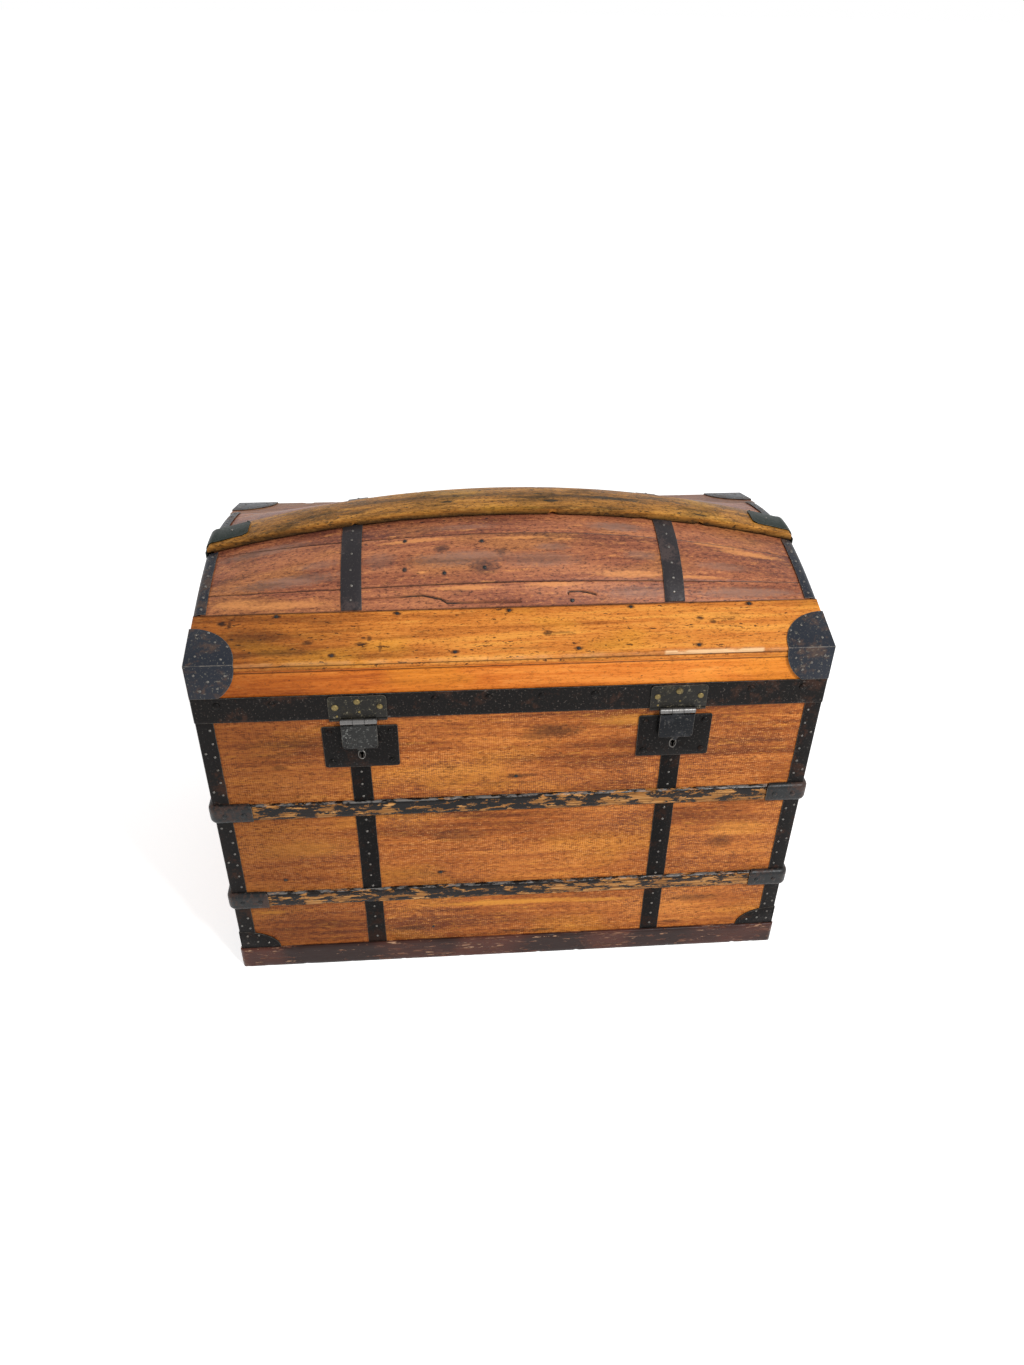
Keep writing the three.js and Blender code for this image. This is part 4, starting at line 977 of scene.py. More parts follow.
class Finishes:
    """Every finish of the trunk, built once."""

    black: bpy.types.Material
    clamp: bpy.types.Material
    strap: bpy.types.Material
    lid_strap: bpy.types.Material
    rim: bpy.types.Material
    cap: bpy.types.Material
    ridge_clamp: bpy.types.Material
    lock: bpy.types.Material
    hasp_plate: bpy.types.Material
    flap_left: bpy.types.Material
    flap_right: bpy.types.Material
    knuckle: bpy.types.Material
    nail: bpy.types.Material
    brass: bpy.types.Material
    bolt: bpy.types.Material

    def __init__(self) -> None:
        """Builds the materials."""
        board = WoodFinish(
            "board_wood", (0.16, 0.04, 0.011), (0.45, 0.132, 0.028), (0.7, 0.25, 0.052),
            weave=1.0, flecks=0.4, grime_share=0.3, rub_share=0.35, stains=FRONT_STAINS, lights=FRONT_LIGHTS,
            rub=(0.78, 0.33, 0.05), sheen=0.5, dark_left=0.5,
        )
        self.board = board.build()
        self.end_board = WoodFinish(
            "end_board_wood", board.deep, board.middle, board.light, run=Run.DEPTH, weave=0.9, flecks=0.35,
            grime_share=0.4, rub_share=0.3, rub=board.rub, sheen=0.5,
        ).build()
        self.plain_board = WoodFinish(
            "plain_board_wood", board.deep, board.middle, board.light, weave=0.9, flecks=0.35,
            grime_share=0.4, rub_share=0.3, rub=board.rub, sheen=0.5,
        ).build()
        self.lid_board = WoodFinish(
            "lid_board_wood", (0.36, 0.075, 0.01), (0.66, 0.17, 0.02), (0.85, 0.28, 0.045),
            flecks=0.6, grime_share=0.2, rub_share=0.25, rub=(0.88, 0.38, 0.09), sheen=0.42, dark_left=0.45,
            grit=0.4,
        ).build()
        self.lid_end_board = WoodFinish(
            "lid_end_board_wood", (0.26, 0.07, 0.014), (0.5, 0.155, 0.028), (0.7, 0.25, 0.045),
            run=Run.DEPTH, flecks=0.4, grime_share=0.3, rub_share=0.2, sheen=0.46,
        ).build()
        self.shoulder = WoodFinish(
            "shoulder_wood", (0.3, 0.085, 0.014), (0.63, 0.2, 0.032), (0.82, 0.34, 0.06),
            flecks=1.35, grime_share=0.34, rub_share=0.2, rub=(0.85, 0.42, 0.1), sheen=0.42,
            plane=Plane.LYING, stains=SHOULDER_STAINS, dark_left=0.42,
        ).build()
        self.back_shoulder = WoodFinish(
            "back_shoulder_wood", (0.09, 0.03, 0.015), (0.2, 0.075, 0.035), (0.32, 0.13, 0.06),
            flecks=0.8, grime_share=0.5, plane=Plane.LYING,
        ).build()
        self.stave = WoodFinish(
            "stave_wood", (0.125, 0.038, 0.025), (0.29, 0.092, 0.044), (0.44, 0.16, 0.07),
            flecks=0.8, grime=(0.04, 0.022, 0.019), grime_share=0.55, rub_share=0.4, rub=(0.8, 0.33, 0.1),
            grit=0.75, sheen=0.4, plane=Plane.LYING, stains=STAVE_STAINS, lights=STAVE_LIGHTS,
            veils=STAVE_VEILS, shine=0.22, bare=(0.3, 0.17, 0.085),
        ).build()
        self.ridge = WoodFinish(
            "ridge_wood", (0.06, 0.034, 0.012), (0.32, 0.132, 0.024), (0.62, 0.28, 0.055),
            flecks=1.4, grime=(0.014, 0.016, 0.01), grime_share=0.8, rub_share=0.3, grit=0.8,
            rub=(0.66, 0.34, 0.08), sheen=0.4, plane=Plane.LYING, stains=RIDGE_STAINS, shine=0.1,
            chipped=(0.42, 0.15, 0.03),
        ).build()
        slat = PaintedWoodFinish(
            "slat_paint", (0.004, 0.003, 0.003), (0.012, 0.007, 0.005), (0.34, 0.14, 0.03),
            (0.64, 0.33, 0.11), wear=0.66, painted_highlight=0.4,
        )
        self.slat = slat.build()
        self.end_slat = PaintedWoodFinish(
            "end_slat_paint", slat.paint, slat.other_paint, slat.wood, slat.pale_wood, wear=0.42,
            run=Run.DEPTH,
        ).build()
        rail = PaintedWoodFinish(
            "rail_paint", (0.024, 0.010, 0.008), (0.085, 0.026, 0.017), (0.13, 0.045, 0.026),
            (0.5, 0.3, 0.18), wear=0.45, sheen=0.3, arris=0.05,
        )
        self.rail = rail.build()
        self.end_rail = PaintedWoodFinish(
            "end_rail_paint", rail.paint, rail.other_paint, rail.wood, rail.pale_wood, wear=rail.wear,
            run=Run.DEPTH, sheen=rail.sheen, arris=rail.arris,
        ).build()
        irons = {
            "black": IronFinish("black_iron", brown_share=0.4, dust_share=0.15),
            "clamp": IronFinish(
                "clamp_iron", black=(0.008, 0.010, 0.011), brown=(0.045, 0.024, 0.018),
                brown_share=0.55, dust_share=0.4, edge_share=0.9, shine=0.3,
            ),
            "strap": IronFinish(
                "strap_iron", black=(0.003, 0.0026, 0.0025), brown=(0.018, 0.008, 0.005),
                brown_share=0.5, dust_share=0.1, shine=0.08, spark=0.25,
            ),
            "lid_strap": IronFinish(
                "lid_strap_iron", black=(0.026, 0.023, 0.025), brown=(0.062, 0.046, 0.044),
                brown_share=0.5, dust_share=0.2,
            ),
            "rim": IronFinish(
                "rim_iron", brown=(0.036, 0.017, 0.011), dust=(0.17, 0.14, 0.12),
                brown_share=0.42, dust_share=0.36, speck=150, shine=0.12, spark=0.5,
            ),
            # The cap iron's bluish black is a painted reflection of the sky. It also colours the dome edge
            # bands.
            "cap": IronFinish(
                "cap_iron", black=(0.014, 0.018, 0.027), brown=(0.07, 0.045, 0.036), dust=(0.24, 0.22, 0.17),
                brown_share=0.5, dust_share=0.42, edge_share=0.9, speck=130, shine=0.2, spark=0.5,
            ),
            "ridge_clamp": IronFinish(
                "ridge_clamp_iron", black=(0.006, 0.014, 0.010), brown=(0.016, 0.02, 0.012),
                brown_share=0.35, dust_share=0.25,
            ),
            "lock": IronFinish(
                "lock_iron", brown=(0.02, 0.010, 0.007), brown_share=0.45, dust_share=0.2,
                edge_share=0.5, shine=0.1, spark=0.5,
            ),
            "hasp_plate": IronFinish(
                "hasp_plate_iron", black=(0.018, 0.017, 0.015), brown=(0.04, 0.034, 0.022),
                dust=(0.24, 0.21, 0.14), brown_share=0.5, dust_share=0.62, speck=300,
            ),
            "flap_left": IronFinish(
                "flap_iron_left", black=(0.03, 0.03, 0.029), brown=(0.008, 0.007, 0.007),
                dust=(0.3, 0.3, 0.28), brown_share=0.45, dust_share=0.66, speck=330, metal=0.5, sheen=0.36,
            ),
            "flap_right": IronFinish(
                "flap_iron_right", black=(0.010, 0.011, 0.013), brown=(0.026, 0.027, 0.03),
                dust=(0.2, 0.19, 0.17), brown_share=0.5, dust_share=0.3, speck=260, metal=0.4, sheen=0.34,
            ),
            "knuckle": IronFinish(
                "knuckle_iron", black=(0.16, 0.155, 0.15), brown=(0.06, 0.05, 0.045),
                dust=(0.34, 0.33, 0.31), brown_share=0.3, dust_share=0.5, metal=0.8, sheen=0.36,
            ),
            "nail": IronFinish(
                "nail_iron", black=(0.14, 0.13, 0.12), brown=(0.07, 0.055, 0.045),
                dust=(0.5, 0.48, 0.44), brown_share=0.35, dust_share=0.5, metal=0.7, sheen=0.34,
            ),
            "brass": IronFinish(
                "brass_rivets", black=(0.2, 0.15, 0.06), brown=(0.08, 0.06, 0.03),
                dust=(0.42, 0.35, 0.2), brown_share=0.4, dust_share=0.45, metal=0.7, sheen=0.42,
            ),
            "bolt": IronFinish(
                "bolt_iron", black=(0.2, 0.2, 0.2), brown=(0.1, 0.07, 0.05),
                dust=(0.4, 0.4, 0.4), brown_share=0.2, dust_share=0.4, metal=0.9, sheen=0.32,
            ),
        }
        for use, finish in irons.items():
            setattr(self, use, finish.build())
        self.flaps = {End.LEFT: self.flap_left, End.RIGHT: self.flap_right}


# Mesh making


@dataclass
class Bevel:
    """The bevel that finishes a piece, in millimetres."""

    width: float = 0.4
    segments: int = 2
    angle: float = 35


class Stock:
    """Closed shells that are gathered in millimetres and become one object at the origin."""

    def __init__(self) -> None:
        """Starts with no faces."""
        self.mesh = bmesh.new()

    def vertex(self, point: Sequence[float]) -> bmesh.types.BMVert:
        """Adds a vertex at a point in millimetres."""
        return self.mesh.verts.new([part * MM for part in point])

    def loft(self, rings: Sequence[Sequence[Point]], looped: bool = False) -> None:
        """A closed shell through rings of points.

        Args:
            rings: Rings with the same number of points.
            looped: Whether the last ring joins the first; otherwise both ends are closed.
        """
        rows = [[self.vertex(point) for point in ring] for ring in rings]
        count = len(rows[0])
        pairs = list(zip(rows, rows[1:]))
        if looped:
            pairs.append((rows[-1], rows[0]))
        made = []
        for first, second in pairs:
            for i in range(count):
                after = (i + 1) % count
                made.append(self.mesh.faces.new((first[i], first[after], second[after], second[i])))
        if not looped:
            made.append(self.mesh.faces.new(list(reversed(rows[0]))))
            made.append(self.mesh.faces.new(rows[-1]))
        bmesh.ops.recalc_face_normals(self.mesh, faces=made)

    def prism(self, outline: Sequence[Pair], along: Along, low: float, high: float) -> None:
        """A closed prism.

        Args:
            outline: Its outline in the other two coordinates, in their order.
            along: The axis that it is drawn along.
            low: Where it starts.
            high: Where it ends.
        """
        self.loft([[along.place(station, *point) for point in outline] for station in (low, high)])

    def block(self, low: Point, high: Point) -> None:
        """A closed block between two corners."""
        outline = [(low[0], low[1]), (high[0], low[1]), (high[0], high[1]), (low[0], high[1])]
        self.prism(outline, Along.Z, low[2], high[2])

    def bar(self, along: Along, centre: Pair, radius: float, low: float, high: float,
            sides: int = 24) -> None:
        """A round bar with softened ends."""
        soft = min(0.6, radius / 3)
        rings = []
        for station, size in ((low, radius - soft), (low + soft, radius), (high - soft, radius),
                              (high, radius - soft)):
            circle = arc(centre, (size, size), 0, math.tau * (1 - 1 / sides), sides - 1)
            rings.append([along.place(station, *point) for point in circle])
        self.loft(rings)

    def tube(self, centre: Pair, bore: float, radius: float, soft: float, low: float, high: float,
             sides: int = 24) -> None:
        """A knuckle along X, with a bore and softened ends.

        Args:
            centre: Its middle, as Y and Z.
            bore: Radius of its bore.
            radius: Its own radius.
            soft: How much its ends are softened.
            low: Where it starts.
            high: Where it ends.
            sides: Its number of sides.
        """
        y, z = centre
        turns = [math.tau * k / sides for k in range(sides)]
        rings = []
        for x, size in ((low, bore), (low, radius - soft), (low + soft, radius),
                        (high - soft, radius), (high, radius - soft), (high, bore)):
            rings.append([(x, y + size * math.cos(turn), z + size * math.sin(turn)) for turn in turns])
        self.loft(rings, looped=True)

    def mirror(self, side_x: int, side_y: int) -> None:
        """Mirrors the shells in X, Y or both, and turns the faces out again."""
        for vertex in self.mesh.verts:
            vertex.co.x *= side_x
            vertex.co.y *= side_y
        if side_x * side_y < 0:
            bmesh.ops.reverse_faces(self.mesh, faces=self.mesh.faces[:])

    def finish(self, name: str, material: bpy.types.Material, bevel: Bevel | None = None,
               smooth: float = 40, cutters: Sequence["Stock"] = ()) -> bpy.types.Object:
        """Turns the shells into an object.

        Args:
            name: The piece's name.
            material: Its finish.
            bevel: Its bevel, if any.
            smooth: Largest angle in degrees that is shaded smooth.
            cutters: Shells to cut away first.

        Returns:
            The object, at the origin.
        """
        data = bpy.data.meshes.new(name)
        self.mesh.to_mesh(data)
        self.mesh.free()
        made = bpy.data.objects.new(name, data)
        bpy.context.scene.collection.objects.link(made)
        data.materials.append(material)
        for index, cutter in enumerate(cutters):
            tool = cutter.finish(f"{name}_cutter_{index}", material)
            cut = made.modifiers.new(f"cut_{index}", "BOOLEAN")
            cut.operation = "DIFFERENCE"
            cut.solver = "EXACT"
            cut.object = tool
            settle(made)
            bpy.data.objects.remove(tool)
        if bevel is not None:
            soften(made, bevel)
        made.data.shade_smooth()
        made.data.set_sharp_from_angle(angle=math.radians(smooth))
        return made


def settle(piece: bpy.types.Object) -> None:
    """Makes a piece's evaluated mesh its own and takes its modifiers off."""
    bpy.context.view_layer.update()
    graph = bpy.context.evaluated_depsgraph_get()
    data = bpy.data.meshes.new_from_object(piece.evaluated_get(graph), depsgraph=graph)
    data.name = piece.name
    piece.modifiers.clear()
    piece.data = data


def soften(piece: bpy.types.Object, bevel: Bevel) -> None:
    """Bevels a piece's edges, and marks the bevel's faces as worn edges.

    Args:
        piece: The piece.
        bevel: The bevel.
    """
    piece.data.materials.append(piece.data.materials[0])
    change = piece.modifiers.new("soft_edges", "BEVEL")
    change.width = bevel.width * MM
    change.segments = bevel.segments
    change.limit_method = "ANGLE"
    change.angle_limit = math.radians(bevel.angle)
    change.use_clamp_overlap = True
    change.material = 1
    settle(piece)
    edges = [float(face.material_index == 1) for face in piece.data.polygons]
    mark(piece, "edge", "FACE", edges)
    for face in piece.data.polygons:
        face.material_index = 0
    piece.data.materials.pop(index=1)


def mark(piece: bpy.types.Object, name: str, domain: str, values: Sequence[float]) -> None:
    """Gives a mesh a named number on each face or point."""
    kept = piece.data.attributes.new(name, "FLOAT", domain)
    kept.data.foreach_set("value", values)


def set_tone(piece: bpy.types.Object, tone: float) -> None:
    """Shifts a piece's pattern, so that no two boards have the same grain."""
    mark(piece, "tone", "POINT", [tone] * len(piece.data.vertices))


def mark_inside(piece: bpy.types.Object) -> None:
    """Marks the faces of a board that look into the trunk."""
    heart = Vector(TRUNK_HEART)
    values = []
    for face in piece.data.polygons:
        out = face.center - heart
        out.x *= 0.35
        values.append(1.0 if face.normal.dot(out.normalized()) < INWARD_LIMIT else 0.0)
    mark(piece, "inside", "FACE", values)


def fit(piece: bpy.types.Object, body: Body, slot: Slot, *nodes: str) -> bpy.types.Object:
    """Fixes a piece to its body, and hides the CAD nodes that it replaces.

    Args:
        piece: The piece.
        body: The body that it rides on.
        slot: The material slot that it takes its finish from; not used.
        nodes: The CAD nodes that it replaces.

    Returns:
        The piece.
    """
    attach(piece, body.value)
    if nodes:
        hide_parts(*nodes)
    log.info("%s: %d faces on %s", piece.name, len(piece.data.polygons), body.value)
    return piece


def add(stock: Stock, name: str, material: bpy.types.Material, body: Body, slot: Slot, *nodes: str,
        bevel: Bevel | None = None, tone: float | None = None) -> None:
    """Finishes a piece that needs no marks, and fits it.

    Args:
        stock: Its shells.
        name: Its name.
        material: Its finish.
        body: The body that it rides on.
        slot: The material slot that it takes its finish from.
        nodes: The CAD nodes that it replaces.
        bevel: Its bevel, if any.
        tone: How far its pattern is shifted, if it is.
    """
    piece = stock.finish(name, material, bevel)
    if tone is not None:
        set_tone(piece, tone)
    fit(piece, body, slot, *nodes)


def dress(node: str, material: bpy.types.Material) -> None:
    """Gives a CAD node that stays its finish."""
    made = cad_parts[node]
    made.data.materials.clear()
    made.data.materials.append(material)


# Geometry Nodes


class Field(Enum):
    """Types of the inputs of a Geometry Nodes tree."""

    GEOMETRY = "NodeSocketGeometry"
    LENGTH = "NodeSocketFloat"
    COUNT = "NodeSocketInt"
    FINISH = "NodeSocketMaterial"


class NodeTool:
    """A Geometry Nodes tree with named inputs, which is run on a mesh and leaves a plain mesh."""

    def __init__(self, name: str, fields: dict[str, Field]) -> None:
        """Starts a tree.

        Args:
            name: The tree's name.
            fields: Its inputs after the geometry.
        """
        self.tree = bpy.data.node_groups.new(name, "GeometryNodeTree")
        self.tree.is_modifier = True
        self.tree.interface.new_socket("Geometry", in_out="INPUT", socket_type=Field.GEOMETRY.value)
        self.tree.interface.new_socket("Geometry", in_out="OUTPUT", socket_type=Field.GEOMETRY.value)
        for label, kind in fields.items():
            self.tree.interface.new_socket(label, in_out="INPUT", socket_type=kind.value)
        self.start = self.tree.nodes.new("NodeGroupInput")
        self.end = self.tree.nodes.new("NodeGroupOutput")

    def node(self, kind: str, settings: dict[str, object] | None = None, **inputs: object) -> bpy.types.Node:
        """A node with its settings and inputs.

        Args:
            kind: The node's type.
            settings: Its properties.
            inputs: Its inputs by name, with _ for a space, as values or sockets.

        Returns:
            The node.
        """
        made = self.tree.nodes.new(kind)
        for key, value in (settings or {}).items():
            setattr(made, key, value)
        for key, value in inputs.items():
            socket = made.inputs[key.replace("_", " ")]
            if isinstance(value, bpy.types.NodeSocket):
                self.tree.links.new(value, socket)
            else:
                socket.default_value = value
        return made

    def field(self, label: str) -> Socket:
        """One of the tree's inputs."""
        return self.start.outputs[label]

    def close(self, geometry: Socket) -> None:
        """Ends the tree in Realize Instances, smooth shading and Set Material."""
        plain = self.node("GeometryNodeRealizeInstances", Geometry=geometry)
        smooth = self.node("GeometryNodeSetShadeSmooth", Geometry=plain.outputs[0])
        coated = self.node("GeometryNodeSetMaterial", Geometry=smooth.outputs[0],
                           Material=self.field("Finish"))
        self.tree.links.new(coated.outputs[0], self.end.inputs[0])

    def run(self, piece: bpy.types.Object, **values: object) -> bpy.types.Object:
        """Runs the tree on a mesh object and leaves its result as a plain mesh.

        Args:
            piece: The object with the mesh that the tree starts from.
            values: The tree's inputs by name, with _ for a space.

        Returns:
            The same object.
        """
        change = piece.modifiers.new(self.tree.name, "NODES")
        change.node_group = self.tree
        for item in self.tree.interface.items_tree:
            key = item.name.replace(" ", "_")
            if item.in_out == "INPUT" and key in values:
                change[item.identifier] = values[key]
        bpy.context.scene.collection.objects.link(piece)
        settle(piece)
        return piece


@dataclass(frozen=True)
class Head:
    """A round head: the point that it sits on and the way that it looks."""

    at: Point
    out: Point


@dataclass(frozen=True)
class HeadSize:
    """Sizes of a kind of head.

    Attributes:
        radius: Its radius in millimetres.
        height: How far it stands up.
        sides: Its number of sides.
        uneven: How much the sizes vary, as a share.
    """

    radius: float
    height: float
    sides: int = 12
    uneven: float = 0.1


class HeadTool(NodeTool):
    """Sets a domed head on each point of a mesh, turned to the way that the point looks."""

    def __init__(self) -> None:
        """Builds the tree."""
        super().__init__("domed_heads", {
            "Radius": Field.LENGTH, "Height": Field.LENGTH, "Sides": Field.COUNT, "Rings": Field.COUNT,
            "Unevenness": Field.LENGTH, "Seed": Field.COUNT, "Finish": Field.FINISH,
        })
        ball = self.node("GeometryNodeMeshUVSphere", Segments=self.field("Sides"), Rings=self.field("Rings"),
                         Radius=1.0)
        size = self.node("ShaderNodeCombineXYZ", X=self.field("Radius"), Y=self.field("Radius"),
                         Z=self.field("Height"))
        dome = self.node("GeometryNodeTransform", Geometry=ball.outputs["Mesh"], Scale=size.outputs[0])
        out = self.node("GeometryNodeInputNamedAttribute", {"data_type": "FLOAT_VECTOR"}, Name="out")
        turn = self.node("FunctionNodeAlignRotationToVector", {"axis": "Z"}, Vector=out.outputs[0])
        least = self.node("ShaderNodeMath", {"operation": "SUBTRACT"})
        least.inputs[0].default_value = 1.0
        self.tree.links.new(self.field("Unevenness"), least.inputs[1])
        most = self.node("ShaderNodeMath", {"operation": "ADD"})
        most.inputs[0].default_value = 1.0
        self.tree.links.new(self.field("Unevenness"), most.inputs[1])
        chance = self.node("FunctionNodeRandomValue", {"data_type": "FLOAT"}, Seed=self.field("Seed"))
        floats = [s for s in chance.inputs if s.type == "VALUE" and s.enabled]
        self.tree.links.new(least.outputs[0], floats[0])
        self.tree.links.new(most.outputs[0], floats[1])
        drawn = [s for s in chance.outputs if s.type == "VALUE"][0]
        placed = self.node("GeometryNodeInstanceOnPoints", Points=self.field("Geometry"),
                           Instance=dome.outputs[0], Rotation=turn.outputs[0])
        self.tree.links.new(drawn, placed.inputs["Scale"])
        self.close(placed.outputs[0])

    def drive(self, name: str, heads: Sequence[Head], size: HeadSize,
              material: bpy.types.Material) -> bpy.types.Object:
        """Sets heads as one plain mesh.

        Args:
            name: The piece's name.
            heads: Where they sit.
            size: Their sizes.
            material: Their finish.

        Returns:
            The piece.
        """
        data = bpy.data.meshes.new(name)
        data.from_pydata([[part * MM for part in head.at] for head in heads], [], [])
        looks = data.attributes.new("out", "FLOAT_VECTOR", "POINT")
        looks.data.foreach_set("vector", [part for head in heads for part in head.out])
        made = bpy.data.objects.new(name, data)
        return self.run(made, Radius=size.radius * MM, Height=size.height * MM, Sides=size.sides,
                        Rings=max(4, size.sides // 2), Unevenness=size.uneven, Seed=7, Finish=material)


class RodTool(NodeTool):
    """Draws a round rod along a mesh of edges."""

    def __init__(self) -> None:
        """Builds the tree."""
        super().__init__("round_rod", {"Radius": Field.LENGTH, "Sides": Field.COUNT, "Finish": Field.FINISH})
        line = self.node("GeometryNodeMeshToCurve", Mesh=self.field("Geometry"))
        ring = self.node("GeometryNodeCurvePrimitiveCircle", Resolution=self.field("Sides"),
                         Radius=self.field("Radius"))
        rod = self.node("GeometryNodeCurveToMesh", Curve=line.outputs[0], Fill_Caps=True)
        self.tree.links.new(ring.outputs[0], rod.inputs["Profile Curve"])
        self.close(rod.outputs[0])

    def draw(self, name: str, path: Sequence[Point], radius: float, material: bpy.types.Material,
             sides: int = 16) -> bpy.types.Object:
        """Draws a rod as a plain mesh.

        Args:
            name: The piece's name.
            path: Points along it in millimetres.
            radius: Its radius in millimetres.
            material: Its finish.
            sides: Its number of sides.

        Returns:
            The piece.
        """
        data = bpy.data.meshes.new(name)
        data.from_pydata([[part * MM for part in point] for point in path],
                         [(i, i + 1) for i in range(len(path) - 1)], [])
        made = bpy.data.objects.new(name, data)
        return self.run(made, Radius=radius * MM, Sides=sides, Finish=material)


@dataclass
class Shop:
    """What every sub-assembly works with."""

    finishes: Finishes
    heads: HeadTool
    rods: RodTool

    def drive(self, name: str, heads: Sequence[Head], size: HeadSize, material: bpy.types.Material,
              body: Body, slot: Slot) -> None:
        """Sets heads as one piece that rides on a body.

        Args:
            name: The piece's name.
            heads: Where they sit.
            size: Their sizes.
            material: Their finish.
            body: The body that they ride on.
            slot: Their material slot.
        """
        fit(self.heads.drive(name, heads, size, material), body, slot)


# Box


@dataclass
class Carcass:
    """The boards of the box."""

    shop: Shop
    pace: float = 9
    waviness: float = 0.18
    mortise: Pair = (62.6, 46.6)
    mortise_centre: float = 423

    def panel(self, name: str, along: Along, outer: float, inner: float, low: Pair, high: Pair,
              holes: Sequence[tuple[float, float, float, float]] = ()) -> bpy.types.Object:
        """A board with a slightly uneven outer face.

        Args:
            name: The piece's name.
            along: The axis across its thickness.
            outer: Where its outer face is on that axis.
            inner: Where its inner face is.
            low: Its low corner in the other two coordinates.
            high: Its high corner.
            holes: Rectangles cut through, as low and high in each of those coordinates.

        Returns:
            The board.
        """
        marks_a = {edge for hole in holes for edge in hole[:2]}
        marks_b = {edge for hole in holes for edge in hole[2:]}
        line_a = self.cuts(low[0], high[0], marks_a)
        line_b = self.cuts(low[1], high[1], marks_b)
        stock = Stock()
        grid: dict[tuple[int, int, int], bmesh.types.BMVert] = {}

        def corner(i: int, j: int, side: int) -> bmesh.types.BMVert:
            """The board's vertex at a crossing, on its outer or inner face."""
            if (i, j, side) not in grid:
                a, b = line_a[i], line_b[j]
                depth = outer if side else inner
                inwards = math.copysign(1, inner - outer)
                edge = i in (0, len(line_a) - 1) or j in (0, len(line_b) - 1)
                if side and not edge:
                    wave = (1 + rough((a, b, outer), 55)) / 2 + (1 + rough((a, b, outer), 14, 3.1)) / 6
                    depth += inwards * self.waviness * wave
                grid[i, j, side] = stock.vertex(along.place(depth, a, b))
            return grid[i, j, side]

        def kept(i: int, j: int) -> bool:
            """Whether a cell of the board is there."""
            if not (0 <= i < len(line_a) - 1 and 0 <= j < len(line_b) - 1):
                return False
            a = (line_a[i] + line_a[i + 1]) / 2
            b = (line_b[j] + line_b[j + 1]) / 2
            return not any(h[0] < a < h[1] and h[2] < b < h[3] for h in holes)

        for i in range(len(line_a) - 1):
            for j in range(len(line_b) - 1):
                if not kept(i, j):
                    continue
                ring = ((i, j), (i + 1, j), (i + 1, j + 1), (i, j + 1))
                for side in (0, 1):
                    stock.mesh.faces.new([corner(*spot, side) for spot in ring])
                beside = ((i, j - 1), (i + 1, j), (i, j + 1), (i - 1, j))
                for k, other in enumerate(beside):
                    if not kept(*other):
                        first, second = ring[k], ring[(k + 1) % 4]
                        stock.mesh.faces.new([corner(*first, 0), corner(*second, 0), corner(*second, 1),
                                              corner(*first, 1)])
        bmesh.ops.recalc_face_normals(stock.mesh, faces=stock.mesh.faces[:])
        return stock.finish(name, self.shop.finishes.plain_board)

    def cuts(self, low: float, high: float, marks: Iterable[float]) -> list[float]:
        """Grid lines between two values, with lines exactly at the marks."""
        fixed = sorted({low, high, *marks})
        lines = [low]
        for start, end in zip(fixed, fixed[1:]):
            lines += stations(start, end, self.pace)[1:]
        return lines

    def build(self) -> None:
        """Makes the bottom and the four walls."""
        t = TRUNK
        top = t.seam - t.gap
        back = self.panel("back_wall", Along.Y, t.half_depth, t.half_depth - t.board,
                          (-t.half_width, t.floor), (t.half_width, top))
        holes = []
        for end in End:
            centre = middle_of(f"lock_{end.label}")
            half_a, half_b = self.mortise[0] / 2, self.mortise[1] / 2
            holes.append((centre - half_a, centre + half_a, self.mortise_centre - half_b,
                          self.mortise_centre + half_b))
        front = self.panel("front_wall", Along.Y, -t.half_depth, -t.half_depth + t.board,
                           (-t.half_width, t.floor), (t.half_width, top), holes)
        bottom = self.panel("bottom_board_piece", Along.Z, 3, t.floor - t.gap,
                            (-t.half_width, -t.half_depth + t.gap), (t.half_width, t.half_depth - t.gap))
        walls = {"back_panel": (back, 0.31), "front_panel": (front, 0.0), "bottom_board": (bottom, 0.77)}
        for end in End:
            reach = t.half_depth - t.board
            wall = self.panel(f"{end.label}_wall", Along.X, end.value * t.half_width,
                              end.value * (t.half_width - t.board), (-reach, t.floor), (reach, top))
            walls[f"{end.label}_panel"] = (wall, 0.5 + 0.23 * end.value)
        materials = {"front_panel": self.shop.finishes.board, "left_panel": self.shop.finishes.end_board,
                     "right_panel": self.shop.finishes.end_board}
        for node, (wall, tone) in walls.items():
            if node in materials:
                wall.data.materials[0] = materials[node]
            set_tone(wall, tone)
            if node == "bottom_board":
                mark(wall, "inside", "FACE", [1.0] * len(wall.data.polygons))
            else:
                mark_inside(wall)
            fit(wall, Body.BOX, Slot.BOARD, node)


